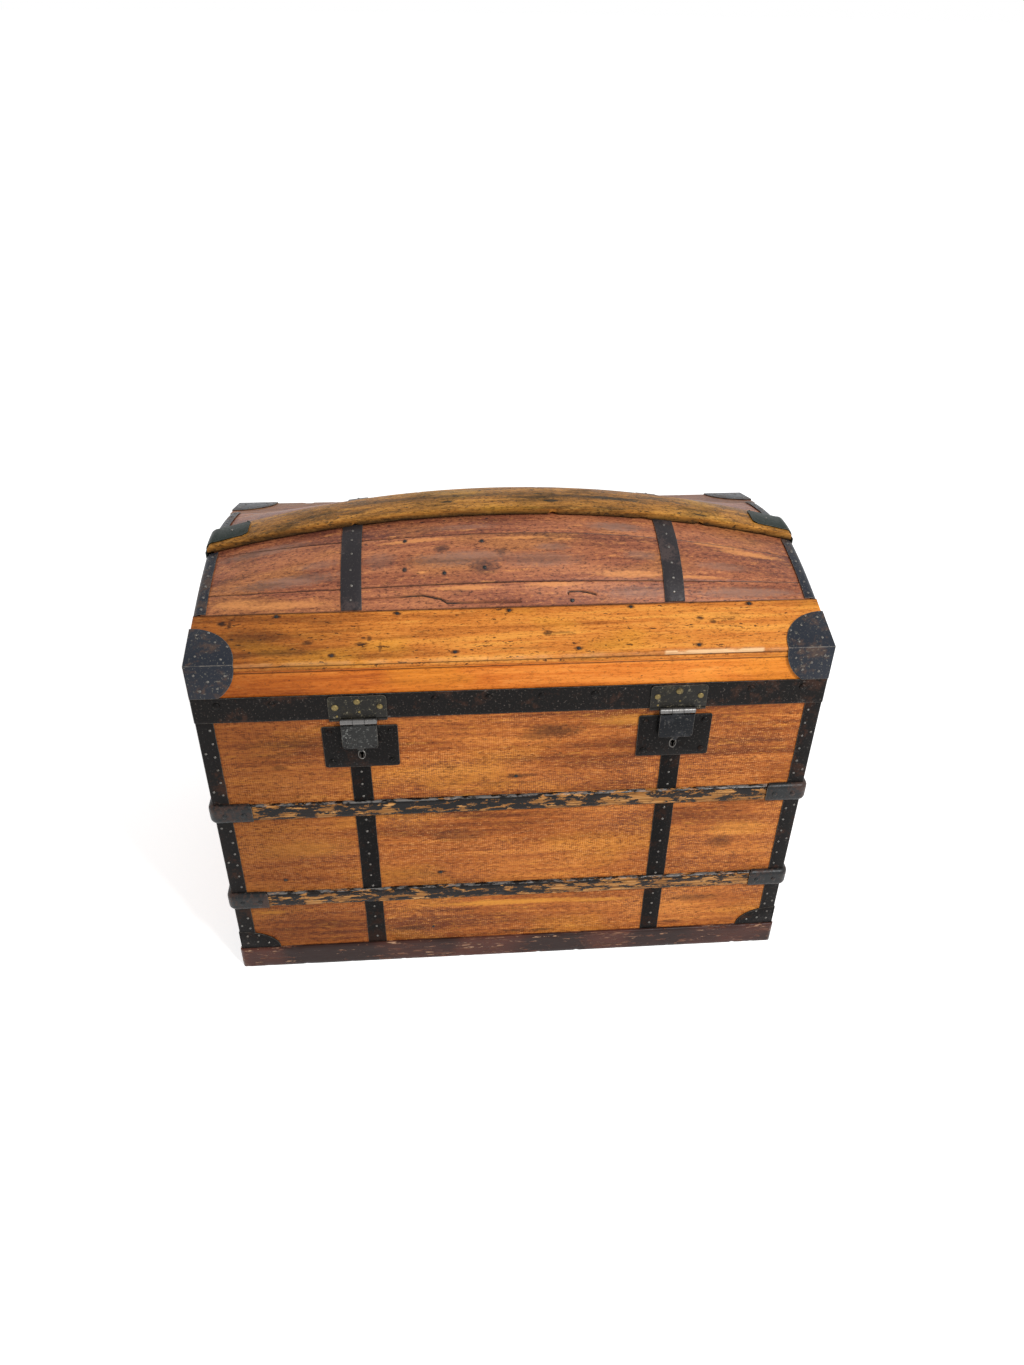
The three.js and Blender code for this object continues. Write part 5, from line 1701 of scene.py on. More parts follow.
@dataclass
class FootRail:
    """The painted rail round the foot, with a rounded lip."""

    shop: Shop
    proud: float = 5
    lip: float = 3.5
    corner: float = 7
    corner_steps: tuple[float, ...] = (0, 0.8, 1.8, 3.2, 5.2)
    knocks: Bites = Bites(16, 0.28, 3.2)
    chips: Bites = Bites(6, 0.3, 2.4, 5.5)
    most_loss: float = 2.2
    most_drop: float = 1.2
    pace: float = 5

    def section(self) -> list[Pair]:
        """Its section as distance proud and height."""
        top = TRUNK.rail_top
        face = [(self.proud, z) for z in spread(1.2, top - self.lip, 7)]
        round_over = arc((self.proud - self.lip, top - self.lip), (self.lip, self.lip), 0, QUARTER, 5)
        return [(0, 0), (self.proud - 1, 0), *face, *round_over[1:], (0, top)]

    def worn(self, proud: float, z: float, along: float, face: float) -> Pair:
        """A point of the section, dented where the rail has taken knocks."""
        if proud <= 0:
            return (proud, z)
        place = (along, face, z)
        top = TRUNK.rail_top
        knock = self.knocks.at(place)
        low_edge = self.chips.at(place) * 2 if z < 4 else 0.0
        loss = min(self.most_loss, knock * (1.0 if z > top - 6 else 0.35) + low_edge + 0.1)
        drop = min(self.most_drop, loss) if z > top - self.lip else 0.0
        return (max(0.4, proud - loss), z - drop)

    def build(self) -> None:
        """Makes the four lengths of rail."""
        t = TRUNK
        finishes = self.shop.finishes
        corner_x = t.half_width + self.proud - self.corner
        corner_y = t.half_depth + self.proud - self.corner
        end = t.half_width + self.proud - 0.6
        marks = [end - step for step in self.corner_steps]
        long_line = [-x for x in marks] + stations(-corner_x, corner_x, self.pace) + marks[::-1]
        end_line = stations(-t.half_depth, t.half_depth, self.pace)
        for wall in WALLS:
            sign = wall.side.value
            rings = []
            for along in long_line if wall.long else end_line:
                room = math.inf
                if wall.long:
                    over = max(0.0, abs(along) - corner_x)
                    bend = math.sqrt(max(0.0, self.corner**2 - over**2))
                    room = max(0.2, corner_y + bend - t.half_depth)
                ring = []
                for proud, z in self.section():
                    p, height = self.worn(proud, z, along, sign * (50 if wall.long else 90))
                    ring.append(wall.place(along, min(p, room), height))
                rings.append(ring)
            stock = Stock()
            stock.loft(rings)
            name = wall.side.label
            add(stock, f"foot_rail_{name}", finishes.rail if wall.long else finishes.end_rail,
                Body.BOX, Slot.RAIL, f"base_rail_{name}", tone=sign * (0.2 if wall.long else 0.3))


@dataclass
class Slats:
    """The rounded hardwood slats round the box."""

    shop: Shop
    height: float = 27
    proud: float = 6
    corner: float = 5
    pace: float = 4
    end_inset: float = 3
    strap_clear: float = 3
    under_irons: float = 26
    chips: Bites = Bites(9, 0.22, 2.2, 1.7)
    most_loss: float = 1.6

    def section(self, centre: float, grow: float = 0.0, count: int = 6) -> list[Pair]:
        """The section as distance proud and height, from its lower edge to its upper.

        Args:
            centre: Height of the middle.
            grow: How much it is grown, for the irons over it.
            count: Steps in each rounded edge.

        Returns:
            Its points, without the back.
        """
        flat = self.height / 2 - self.corner
        radius = self.corner + grow
        middle = self.proud - self.corner
        low = arc((middle, centre - flat), (radius, radius), -QUARTER, 0, count)
        high = arc((middle, centre + flat), (radius, radius), 0, QUARTER, count)
        face = [(self.proud + grow, z) for z in spread(centre - flat, centre + flat, 5)[1:-1]]
        return [(0, centre - flat - radius), *low, *face, *high, (0, centre + flat + radius)]

    def worn(self, proud: float, z: float, centre: float, along: float, face: float) -> Pair:
        """A point of the section, with its edges knocked and rubbed."""
        if proud <= 0.5:
            return (proud, z)
        place = (along, face, z)
        off = abs(z - centre)
        wave = (1 + rough((along, face, centre), 60, 4.2)) * 0.22
        loss = min(self.most_loss, self.chips.at(place) * (1.0 if off > 7 else 0.3) + wave)
        inwards = min(0.7, loss * 0.5) * (1 if z < centre else -1) if off > 8 else 0.0
        return (max(0.5, proud - loss), z + inwards)

    def build(self) -> None:
        """Makes the eight slats."""
        t = TRUNK
        finishes = self.shop.finishes
        straps = [middle_of(f"front_strap_{end.label}") for end in End]
        clear = t.strap_width / 2 + self.strap_clear
        for level, centre in zip(("lower", "upper"), t.slat_centres):
            for wall in WALLS:
                reach = wall.half - self.end_inset
                rings = []
                for along in stations(-reach, reach, self.pace):
                    over = abs(along) > wall.half - self.under_irons
                    if wall.side is Face.FRONT:
                        over = over or any(abs(along - strap) < clear for strap in straps)
                    rings.append(self.ring(centre, along, wall, over))
                material = finishes.slat if wall.long else finishes.end_slat
                tone = centre + wall.side.value * (1 if wall.long else 2)
                self.place(rings, f"slat_{level}_{wall.side.label}", material, tone, centre,
                           f"{level}_slat_{wall.side.label}")

    def ring(self, centre: float, along: float, wall: Wall, over: bool) -> Ring:
        """One ring of a slat.

        Args:
            centre: Height of its middle.
            along: Station along it.
            wall: The side that it runs on.
            over: Whether it passes over iron there, so that its back stands off.

        Returns:
            The ring.
        """
        back = TRUNK.sheet + TRUNK.gap if over else SUNK
        seed = wall.side.value * (70 if wall.long else 110)
        points = []
        for proud, z in self.section(centre):
            p, height = self.worn(proud, z, centre, along, seed)
            points.append(wall.place(along, max(back, p), height))
        return points

    def place(self, rings: list[Ring], name: str, material: bpy.types.Material, tone: float,
              centre: float, node: str) -> None:
        """Finishes a slat and marks its arrises."""
        stock = Stock()
        stock.loft(rings)
        piece = stock.finish(name, material)
        set_tone(piece, tone * 0.37)
        heights = [vertex.co.z / MM - centre for vertex in piece.data.vertices]
        mark(piece, "arris", "POINT", [max(0.0, (h - 4) / 9) for h in heights])
        fit(piece, Body.BOX, Slot.SLAT, node)


@dataclass
class CornerIrons:
    """The angle, foot cap and slat clamps at each corner of the box."""

    shop: Shop
    slats: Slats
    leg: float = 22
    clamp: float = 1.6
    clamp_reach: float = 52
    clamp_corner: float = 5
    bend: float = 4.0
    cap: float = 2
    cap_leaf: Pair = (57, 36)
    nail_pace: float = 21.5
    nail: HeadSize = HeadSize(1.9, 1.2)
    clamp_nail: HeadSize = HeadSize(3.6, 1.7, 18)
    cap_nails: tuple[Pair, ...] = ((9, 4), (24, 6), (40, 3), (10, 19), (27, 20))
    heads: list[Head] = field(default_factory=list)
    big_heads: list[Head] = field(default_factory=list)

    def angle(self) -> Stock:
        """The angle iron of the front right corner, a little ragged at its edges."""
        t = TRUNK
        rings = []
        sheet = t.sheet
        for z in stations(t.rail_top + t.gap, t.rim_bottom - t.gap, 7):
            wave = 0.5 * rough((0, 0, z), 18, 2.2)
            other = 0.5 * rough((9, 0, z), 18, 7.2)
            inner = t.half_width - self.leg + wave
            back = -t.half_depth + self.leg + other
            bend = arc((t.half_width + sheet - 2.4, -t.half_depth - sheet + 2.4), (2.4, 2.4), -QUARTER, 0, 4)
            ring = [(inner, -t.half_depth), (inner, -t.half_depth - sheet), *bend,
                    (t.half_width + sheet, back), (t.half_width, back), (t.half_width, -t.half_depth)]
            rings.append([(x, y, z) for x, y in ring])
        stock = Stock()
        stock.loft(rings)
        return stock

    def foot_cap(self) -> Stock:
        """Its two quarter-round leaves just above the rail."""
        t = TRUNK
        low = t.rail_top + t.gap
        wide, tall = self.cap_leaf
        tall -= t.gap
        stock = Stock()
        front = [(t.half_width + self.cap, low), (t.half_width + self.cap, low + tall),
                 *arc((t.half_width, low), (wide, tall), QUARTER, math.pi, 16)]
        stock.prism(front, Along.Y, -t.half_depth - self.cap, -t.half_depth - SUNK)
        side = [(-t.half_depth - self.cap, low), (-t.half_depth - self.cap, low + tall),
                *arc((-t.half_depth, low), (wide, tall), QUARTER, 0, 16)]
        stock.prism(side, Along.X, t.half_width + SUNK, t.half_width + self.cap - 0.02)
        return stock

    def slat_clamp(self, centre: float) -> Stock:
        """Iron bent over the slats at the corner, rounded at its free corners."""
        t = TRUNK
        outer = self.slats.section(centre, t.gap + self.clamp, 5)
        inner = self.slats.section(centre, t.gap, 5)[::-1]
        section = outer + inner
        height = self.slats.height / 2 + t.gap + self.clamp
        radius = self.clamp_corner
        inset = []
        for _, z in section:
            near = min(radius, max(0.0, height - abs(z - centre)))
            inset.append(radius - math.sqrt(radius**2 - (radius - near) ** 2))
        start_x = t.half_width - self.clamp_reach
        end_y = -t.half_depth + self.clamp_reach
        rings = [[(start_x + back, -t.half_depth - p, z) for (p, z), back in zip(section, inset)],
                 [(start_x + radius + 1, -t.half_depth - p, z) for p, z in section]]
        pivot = (t.half_width - self.bend, -t.half_depth + self.bend)
        for turn in spread(0, QUARTER, 6):
            rings.append([(pivot[0] + (self.bend + p) * math.sin(turn),
                           pivot[1] - (self.bend + p) * math.cos(turn), z) for p, z in section])
        rings.append([(t.half_width + p, end_y - radius - 1, z) for p, z in section])
        rings.append([(t.half_width + p, end_y - back, z) for (p, z), back in zip(section, inset)])
        stock = Stock()
        stock.loft(rings)
        return stock

    def nails(self, side_x: int, side_y: int) -> None:
        """Notes where the nails of one corner sit."""
        t = TRUNK
        near, far = 5.0, self.leg - 6.0
        foot = t.rail_top + self.cap_leaf[1] + 8
        face = self.slats.proud + t.gap + self.clamp
        clear = self.slats.height / 2 + 7

        def put(heads: list[Head], x: float, y: float, z: float, out: Point) -> None:
            """Adds a head that is given for the right end of the back."""
            heads.append(Head((side_x * x, side_y * y, z), (side_x * out[0], side_y * out[1], out[2])))

        for i, z in enumerate(stations(foot, t.rim_bottom - 12, self.nail_pace)):
            if any(abs(z - centre) < clear for centre in t.slat_centres):
                continue
            inner = far + 1.5 * rough((side_x, side_y, z), 9)
            put(self.heads, t.half_width - inner, t.half_depth + t.sheet, z, (0, 1, 0))
            put(self.heads, t.half_width + t.sheet, t.half_depth - inner, z + 2, (1, 0, 0))
            if i % 3 == 0:
                put(self.heads, t.half_width - near, t.half_depth + t.sheet, z + 6, (0, 1, 0))
                put(self.heads, t.half_width + t.sheet, t.half_depth - near, z - 5, (1, 0, 0))
        for centre in t.slat_centres:
            for reach in (self.clamp_reach - 12, 14):
                put(self.big_heads, t.half_width - reach, t.half_depth + face, centre, (0, 1, 0))
                put(self.big_heads, t.half_width + face, t.half_depth - reach, centre, (1, 0, 0))
        low = t.rail_top + 8
        for across, up in self.cap_nails:
            put(self.heads, t.half_width - across, t.half_depth + self.cap, low + up, (0, 1, 0))
            put(self.heads, t.half_width + self.cap, t.half_depth - across, low + up, (1, 0, 0))

    def build(self) -> None:
        """Makes the irons of the four corners and their nails."""
        finishes = self.shop.finishes
        for face in Face:
            for end in End:
                corner = f"{face.label}_{end.label}"
                tone = 0.21 * end.value + 0.4 * face.value
                pieces = [("corner_angle", self.angle(), finishes.black),
                          ("foot_cap", self.foot_cap(), finishes.black)]
                for level, centre in zip(("lower", "upper"), TRUNK.slat_centres):
                    pieces.append((f"slat_clamp_{level}", self.slat_clamp(centre), finishes.clamp))
                for index, (name, stock, material) in enumerate(pieces):
                    stock.mirror(end.value, -face.value)
                    piece = stock.finish(f"{name}_{corner}", material, Bevel(0.45))
                    set_tone(piece, tone + 0.17 * index)
                    nodes = (f"corner_iron_{corner}",) if index == 0 else ()
                    fit(piece, Body.BOX, Slot.BLACK, *nodes)
                self.nails(end.value, face.value)
        self.shop.drive("corner_nails", self.heads, self.nail, finishes.nail, Body.BOX, Slot.BRIGHT)
        self.shop.drive("clamp_nails", self.big_heads, self.clamp_nail, finishes.clamp, Body.BOX, Slot.BLACK)


@dataclass
class FrontStraps:
    """The upright straps below the locks."""

    shop: Shop
    top: float = 388.7
    nail_pace: float = 22
    nail: HeadSize = HeadSize(1.9, 1.2)

    def build(self) -> None:
        """Makes both straps and their nails."""
        t = TRUNK
        heads = []
        for end in End:
            centre = middle_of(f"front_strap_{end.label}")
            half = t.strap_width / 2
            rings = []
            for z in stations(t.rail_top + t.gap, self.top, 7):
                left = centre - half + 0.45 * (rough((centre, 0, z), 20) - 0.3)
                right = centre + half - 0.45 * (rough((centre, 50, z), 20) + 0.3)
                back, face = -t.half_depth - SUNK, -t.half_depth - t.sheet
                section = ((left, back), (left, face), (centre, face), (right, face), (right, back))
                rings.append([(x, y, z) for x, y in section])
            stock = Stock()
            stock.loft(rings)
            add(stock, f"strap_front_{end.label}", self.shop.finishes.strap,
                Body.BOX, Slot.STRAP, f"front_strap_{end.label}", bevel=Bevel(0.4), tone=0.33 * end.value)
            for z in stations(t.rail_top + 14, self.top - 9, self.nail_pace):
                if any(abs(z - slat) < 17 for slat in t.slat_centres):
                    continue
                off = 1.3 * rough((centre, 3, z), 12, 2.0)
                heads.append(Head((centre + off, -t.half_depth - t.sheet, z), (0, -1, 0)))
        self.shop.drive("strap_nails", heads, self.nail, self.shop.finishes.nail, Body.BOX, Slot.BRIGHT)


@dataclass
class Locks:
    """The lock plates with their keyholes, and the cases behind them."""

    shop: Shop
    plate: Pair = (99, 68)
    bottom: float = 389
    iron: float = 2
    corner: float = 3
    keyhole_drop: float = 45
    keyhole: float = 2.8
    key_slot: Pair = (3.2, 9)
    staple_slot: Pair = (12, 3.8)
    staple_drop: float = 20
    case: tuple[float, float, float] = (62, 46, 18)
    wall: float = 2
    rivet: HeadSize = HeadSize(4.6, 2.2, 20)
    rivet_inset: Pair = (9.5, 9.5)
    guard_section: tuple[Pair, ...] = ((4.0, 0.0), (4.1, 0.5), (4.7, 0.6), (5.2, 0.0))
    guard_stretch: float = 1.55
    guard_drop: float = 2.2
    guard_sides: int = 24

    def build(self) -> None:
        """Makes both locks and their rivets."""
        t = TRUNK
        heads = []
        for end in End:
            centre = middle_of(f"lock_{end.label}")
            half, top = self.plate[0] / 2, self.bottom + self.plate[1]
            face = -t.half_depth - self.iron
            stock = Stock()
            stock.prism(rounded_outline((centre - half, self.bottom), (centre + half, top), self.corner),
                        Along.Y, face, -t.half_depth - SUNK)
            key_z = top - self.keyhole_drop
            bow = Stock()
            outline = arc((centre, key_z), (self.keyhole, self.keyhole), -math.pi / 3, math.pi * 4 / 3, 14)
            outline += [(centre - self.key_slot[0] / 2, key_z - self.key_slot[1]),
                        (centre + self.key_slot[0] / 2, key_z - self.key_slot[1])]
            bow.prism(outline, Along.Y, face - 4, -t.half_depth + 1.5)
            slot = Stock()
            slot_z = top - self.staple_drop
            slot.prism(rounded_outline(
                (centre - self.staple_slot[0] / 2, slot_z - self.staple_slot[1] / 2),
                (centre + self.staple_slot[0] / 2, slot_z + self.staple_slot[1] / 2), 1.2),
                Along.Y, face - 4, -t.half_depth + 1.5)
            plate = stock.finish(f"lock_plate_{end.label}", self.shop.finishes.lock, Bevel(0.5),
                                 cutters=(bow, slot))
            set_tone(plate, 0.4 * end.value)
            fit(plate, Body.BOX, Slot.LOCK, f"lock_{end.label}")
            self.case_box(centre, (self.bottom + top) / 2, end)
            self.key_guard(centre, key_z, face, end)
            for side_x in (-1, 1):
                for side_z in (-1, 1):
                    x = centre + side_x * (half - self.rivet_inset[0])
                    z = (self.bottom + top) / 2 + side_z * (self.plate[1] / 2 - self.rivet_inset[1])
                    heads.append(Head((x, face, z), (0, -1, 0)))
        self.shop.drive("lock_rivets", heads, self.rivet, self.shop.finishes.lock, Body.BOX, Slot.LOCK)

    def case_box(self, centre: float, middle: float, end: End) -> None:
        """Makes the case of a lock, as a tray that is open towards its plate."""
        t = TRUNK
        half_a, half_b = self.case[0] / 2, self.case[1] / 2
        back = -t.half_depth + self.case[2]
        mouth = -t.half_depth + t.gap
        stock = Stock()
        rings = []
        for inset, y, corner in ((0, mouth, 2), (0, back, 2), (self.wall, back - self.wall, 1),
                                 (self.wall, mouth, 1)):
            low = (centre - half_a + inset, middle - half_b + inset)
            high = (centre + half_a - inset, middle + half_b - inset)
            rings.append([(x, y, z) for x, z in rounded_outline(low, high, corner)])
        tray = stock.mesh
        rows = [[stock.vertex(point) for point in ring] for ring in rings]
        count = len(rows[0])
        for first, second in ((rows[0], rows[1]), (rows[2], rows[3]), (rows[3], rows[0])):
            for i in range(count):
                after = (i + 1) % count
                tray.faces.new((first[i], first[after], second[after], second[i]))
        tray.faces.new(rows[1])
        tray.faces.new(rows[2])
        bmesh.ops.recalc_face_normals(tray, faces=tray.faces[:])
        add(stock, f"lock_case_{end.label}", self.shop.finishes.lock, Body.BOX, Slot.LOCK, bevel=Bevel(0.4))

    def key_guard(self, centre: float, key_z: float, face: float, end: End) -> None:
        """Makes the thin raised ring round a keyhole."""
        stock = Stock()
        rings = []
        middle = key_z - self.guard_drop
        for turn in spread(0, math.tau * (1 - 1 / self.guard_sides), self.guard_sides - 1):
            rings.append([(centre + radius * math.cos(turn), face + SUNK - rise,
                           middle + radius * self.guard_stretch * math.sin(turn))
                          for radius, rise in self.guard_section])
        stock.loft(rings, looped=True)
        add(stock, f"key_guard_{end.label}", self.shop.finishes.nail, Body.BOX, Slot.LOCK)


@dataclass
class Handles:
    """The drop handles on the ends, with their plates."""

    shop: Shop
    height: float = 246.02
    rod: float = 4
    half_span: float = 74
    drop: float = 44
    bend: float = 12
    pin_end: float = 53
    axis_proud: float = 8.5
    plate: Pair = (164, 34)
    iron: float = 2
    corner: float = 6
    ear: tuple[float, float, float] = (58, 5, 15)
    ear_height: float = 17
    rivet: HeadSize = HeadSize(4.3, 2.3, 18)
    rivet_place: Pair = (36, 8.8)

    def bail_path(self, side: End) -> Ring:
        """Points along the middle of a bail."""
        x = side.value * (TRUNK.half_width + self.axis_proud)
        span, low, top = self.half_span, self.height - self.drop, self.height
        half: list[Pair] = [(self.pin_end, top)]
        half += arc((span - self.bend, top - self.bend), (self.bend, self.bend), QUARTER, 0, 8)
        half += arc((span - self.bend, low + self.bend), (self.bend, self.bend), 0, -QUARTER, 8)
        half += [(span - self.bend - 12, low)]
        return [(x, y, z) for y, z in half] + [(x, -y, z) for y, z in half[::-1]]

    def plate_piece(self, side: End) -> Stock:
        """A plate with two ears, each bored for the bail."""
        t = TRUNK
        stock = Stock()
        half, tall = self.plate[0] / 2, self.plate[1] / 2
        outline = rounded_outline((-half, self.height - tall), (half, self.height + tall), self.corner, 6)
        low, high = sorted((side.value * (t.half_width + SUNK), side.value * (t.half_width + self.iron)))
        stock.prism(outline, Along.X, low, high)
        for sign in (-1, 1):
            self.ear_piece(stock, side, sign)
        return stock

    def ear_piece(self, stock: Stock, side: End, sign: int) -> None:
        """Adds an ear: a round-ended leaf with a hole that the bail turns in."""
        t = TRUNK
        offset, thick, proud = self.ear
        axis = t.half_width + self.axis_proud
        outer_radius = proud - self.axis_proud
        inner_radius = self.rod + 0.4
        count = 28
        mesh = stock.mesh
        rows = []
        for y in (sign * offset - thick / 2, sign * offset + thick / 2):
            outside, inside = [], []
            for k in range(count):
                turn = -math.pi / 2 + math.tau * k / count
                c, s = math.cos(turn), math.sin(turn)
                if c >= 0:
                    point = (axis + outer_radius * c, self.height + (self.ear_height / 2) * s)
                else:
                    point = (max(t.half_width + 0.5, axis + outer_radius * 1.6 * c),
                             self.height + self.ear_height / 2 * math.copysign(1, s) * min(1, abs(s) * 1.6))
                outside.append(stock.vertex((side.value * point[0], y, point[1])))
                inside.append(stock.vertex((side.value * (axis + inner_radius * c), y,
                                            self.height + inner_radius * s)))
            rows.append((outside, inside))
        (front_out, front_in), (back_out, back_in) = rows
        made = []
        for k in range(count):
            after = (k + 1) % count
            made.append(mesh.faces.new((front_out[k], front_out[after], front_in[after], front_in[k])))
            made.append(mesh.faces.new((back_out[k], back_in[k], back_in[after], back_out[after])))
            made.append(mesh.faces.new((front_out[k], back_out[k], back_out[after], front_out[after])))
            made.append(mesh.faces.new((front_in[k], front_in[after], back_in[after], back_in[k])))
        bmesh.ops.recalc_face_normals(mesh, faces=made)

    def build(self) -> None:
        """Makes both handles."""
        t = TRUNK
        bodies = {End.LEFT: Body.HANDLE_LEFT, End.RIGHT: Body.HANDLE_RIGHT}
        heads = []
        for side in End:
            plate = self.plate_piece(side).finish(f"handle_back_plate_{side.label}", self.shop.finishes.black,
                                                  Bevel(0.5))
            set_tone(plate, 0.6 * side.value)
            fit(plate, Body.BOX, Slot.BLACK, f"handle_plate_{side.label}")
            bail = self.shop.rods.draw(f"handle_bail_{side.label}", self.bail_path(side), self.rod,
                                       self.shop.finishes.black, 20)
            set_tone(bail, 0.9 * side.value)
            fit(bail, bodies[side], Slot.BLACK, f"handle_{side.label}")
            face = side.value * (t.half_width + self.iron)
            for sign_y in (-1, 1):
                for sign_z in (-1, 1):
                    heads.append(Head((face, sign_y * self.rivet_place[0],
                                       self.height + sign_z * self.rivet_place[1]), (side.value, 0, 0)))
        self.shop.drive("handle_rivets", heads, self.rivet, self.shop.finishes.clamp, Body.BOX, Slot.BLACK)


@dataclass
class Hinges:
    """The two butt hinges at the back, on the strap that runs along the lid."""

    shop: Shop
    offset: float = 269.98
    width: float = 64
    lid_reach: float = 50
    box_reach: float = 56
    iron: float = 2
    knuckle: float = 5
    pin: float = 2.4
    pin_head: float = 3.6
    play: float = 0.3
    soft: float = 0.4
    screw: HeadSize = HeadSize(3.4, 0.8, 16, 0.03)
    screws: dict[Body, tuple[Pair, ...]] = field(default_factory=lambda: {
        Body.BOX: ((-22, -16), (22, -16), (-22, -44), (0, -30), (22, -44)),
        Body.LID: ((-22, 26), (22, 26), (0, 42)),
    })

    @property
    def axis(self) -> Pair:
        """Where the pins are, as Y and Z."""
        return (TRUNK.half_depth + TRUNK.gap + self.knuckle, TRUNK.seam)

    def barrel(self, stock: Stock, low: float, high: float) -> None:
        """Adds a knuckle with a bore for the pin."""
        stock.tube(self.axis, self.pin + self.play, self.knuckle, self.soft, low, high)

    def leaf(self, stock: Stock, centre: float, low: float, high: float) -> None:
        """Adds a leaf with rounded outer corners."""
        t = TRUNK
        half = self.width / 2
        stock.prism(rounded_outline((centre - half, low), (centre + half, high), 1.5), Along.Y,
                    t.half_depth + SUNK, t.half_depth + self.iron)

    def build(self) -> None:
        """Makes the leaves, pins and screws; the lid's leaves come with the back strap."""
        t = TRUNK
        third = self.width / 3
        heads = {Body.BOX: [], Body.LID: []}
        for side in End:
            centre = side.value * self.offset
            stock = Stock()
            self.leaf(stock, centre, t.seam - self.box_reach, t.seam - self.knuckle - 0.6)
            self.barrel(stock, centre - third / 2 + t.gap, centre + third / 2 - t.gap)
            stock.block((centre - third / 2 + t.gap, t.half_depth + SUNK, t.seam - self.knuckle - 1.2),
                        (centre + third / 2 - t.gap, t.half_depth + self.iron, t.seam))
            stock.bar(Along.X, self.axis, self.pin, centre - self.width / 2, centre + self.width / 2)
            for sign in (-1, 1):
                start = centre + sign * (self.width / 2 + t.gap)
                stock.bar(Along.X, self.axis, self.pin_head, *sorted((start, start + sign * 2)))
            add(stock, f"hinge_box_{side.label}", self.shop.finishes.black,
                Body.BOX, Slot.BLACK, f"hinge_{side.label}", bevel=Bevel(0.4), tone=0.5 * side.value)
            for body, spots in self.screws.items():
                for across, rise in spots:
                    at = (centre + across, t.half_depth + self.iron, t.seam + rise)
                    heads[body].append(Head(at, (0, 1, 0)))
        for body, places in heads.items():
            self.shop.drive(f"hinge_screws_{body.value}", places, self.screw, self.shop.finishes.clamp, body,
                            Slot.BLACK)


# Lid


@dataclass
class LidBoards:
    """The upright boards of the lid and the shaped boards at its ends."""

    shop: Shop
    top: float = 547.7
    groove_height: float = 543
    groove_half: float = 0.9
    groove_depth: float = 1.3
    pace: float = 6

    def long_board(self, face: Face) -> Stock:
        """A long board with a shallow groove near its top."""
        t = TRUNK
        inner = t.half_depth - t.board
        rings = []
        for x in stations(-t.half_width, t.half_width, self.pace):
            ring = [(inner, t.seam), (inner, self.top + t.board * t.shoulder_slope),
                    (t.half_depth - 1, self.top)]
            groove = (1.6, self.groove_half, 0, -self.groove_half, -1.6)
            heights = [self.groove_height + step for step in groove] + spread(538, 492, 6) + [t.seam]
            ragged = 0.7 + 0.5 * rough((x, 7, 0), 12)
            for z in [self.top - 0.2, 546.4, *heights]:
                wave = 0.12 * (1 + rough((x, face.value * 40, z), 30, 0.4))
                near = abs(z - self.groove_height) / (self.groove_half + 0.4)
                deep = self.groove_depth * max(0.0, 1 - near)
                ring.append((t.half_depth - wave - deep * ragged, z))
            rings.append([(x, face.value * y, z) for y, z in ring])
        stock = Stock()
        stock.loft(rings)
        return stock

    def darkness(self, height: float) -> float:
        """Painted shade on a board at a height: in its groove and under the shoulder board."""
        groove = max(0.0, 1.15 - abs(height - self.groove_height) / 1.1)
        return min(0.95, max(groove, (height - 546.2) / 1.2, 0.0))

    def end_board(self, side: End) -> Stock:
        """An end board, whose upper edge follows the dome."""
        t = TRUNK
        inner = t.half_depth - t.board
        last = t.shoulder_reach - t.gap
        rings = []
        for x in (t.half_width - t.board, t.half_width - 0.3, t.half_width):
            soft = 0.0 if x < t.half_width else 0.4
            half = [(inner, t.seam + soft)]
            for a in (inner, last):
                half.append((a, t.shoulder_top(a) - t.shoulder_thickness - t.gap - soft))
            for a in spread(last, 0, 24):
                half.append((a, t.dome_top(x, a) - t.stave_thickness - t.bent_gap - soft))
            other = [(-a, z) for a, z in half[:-1][::-1]]
            rings.append([(side.value * x, a, z) for a, z in half + other])
        stock = Stock()
        stock.loft(rings)
        return stock

    def build(self) -> None:
        """Makes the four boards."""
        finishes = self.shop.finishes
        for face in Face:
            piece = self.long_board(face).finish(f"lid_board_{face.label}", finishes.lid_board)
            set_tone(piece, 0.4 + 0.5 * face.value)
            heights = [vertex.co.z / MM for vertex in piece.data.vertices]
            # Painted shade in the groove and under the shoulder board's nosing.
            mark(piece, "crack_and_shade", "POINT", [self.darkness(height) for height in heights])
            mark_inside(piece)
            fit(piece, Body.LID, Slot.LID, f"lid_{face.label}_board")
        for side in End:
            piece = self.end_board(side).finish(f"lid_end_board_{side.label}", finishes.lid_end_board)
            set_tone(piece, 0.35 * side.value)
            mark_inside(piece)
            fit(piece, Body.LID, Slot.LID, f"lid_{side.label}_end")


@dataclass(frozen=True)
class Crack:
    """A split in a board: its path as x and distance from the ridge, its width and its depth."""

    path: tuple[Pair, ...]
    width: float = 1.0
    depth: float = 2.0

    def depth_at(self, x: float, across: float) -> float:
        """How deep the split is at a place."""
        nearest = min(self.distance(a, b, x, across) for a, b in zip(self.path, self.path[1:]))
        return self.depth * max(0.0, 1 - nearest / self.width)

    @staticmethod
    def distance(a: Pair, b: Pair, x: float, across: float) -> float:
        """Distance from a place to a stretch of the path."""
        dx, dy = b[0] - a[0], b[1] - a[1]
        share = max(0.0, min(1.0, ((x - a[0]) * dx + (across - a[1]) * dy) / (dx * dx + dy * dy)))
        return math.hypot(x - a[0] - share * dx, across - a[1] - share * dy)


STAVE_CRACKS = (
    Crack(((-194, 140.7), (-137, 140.4), (-116, 139.9), (-103, 141.9), (-91.5, 143.7), (-84, 147),
           (-43, 147.3), (12, 147.6)), 1.2, 2.2),
    Crack(((75.6, 142.4), (77, 140.4), (92, 140.2), (105, 141.6), (113, 143.2)), 1.2, 2.4),
)


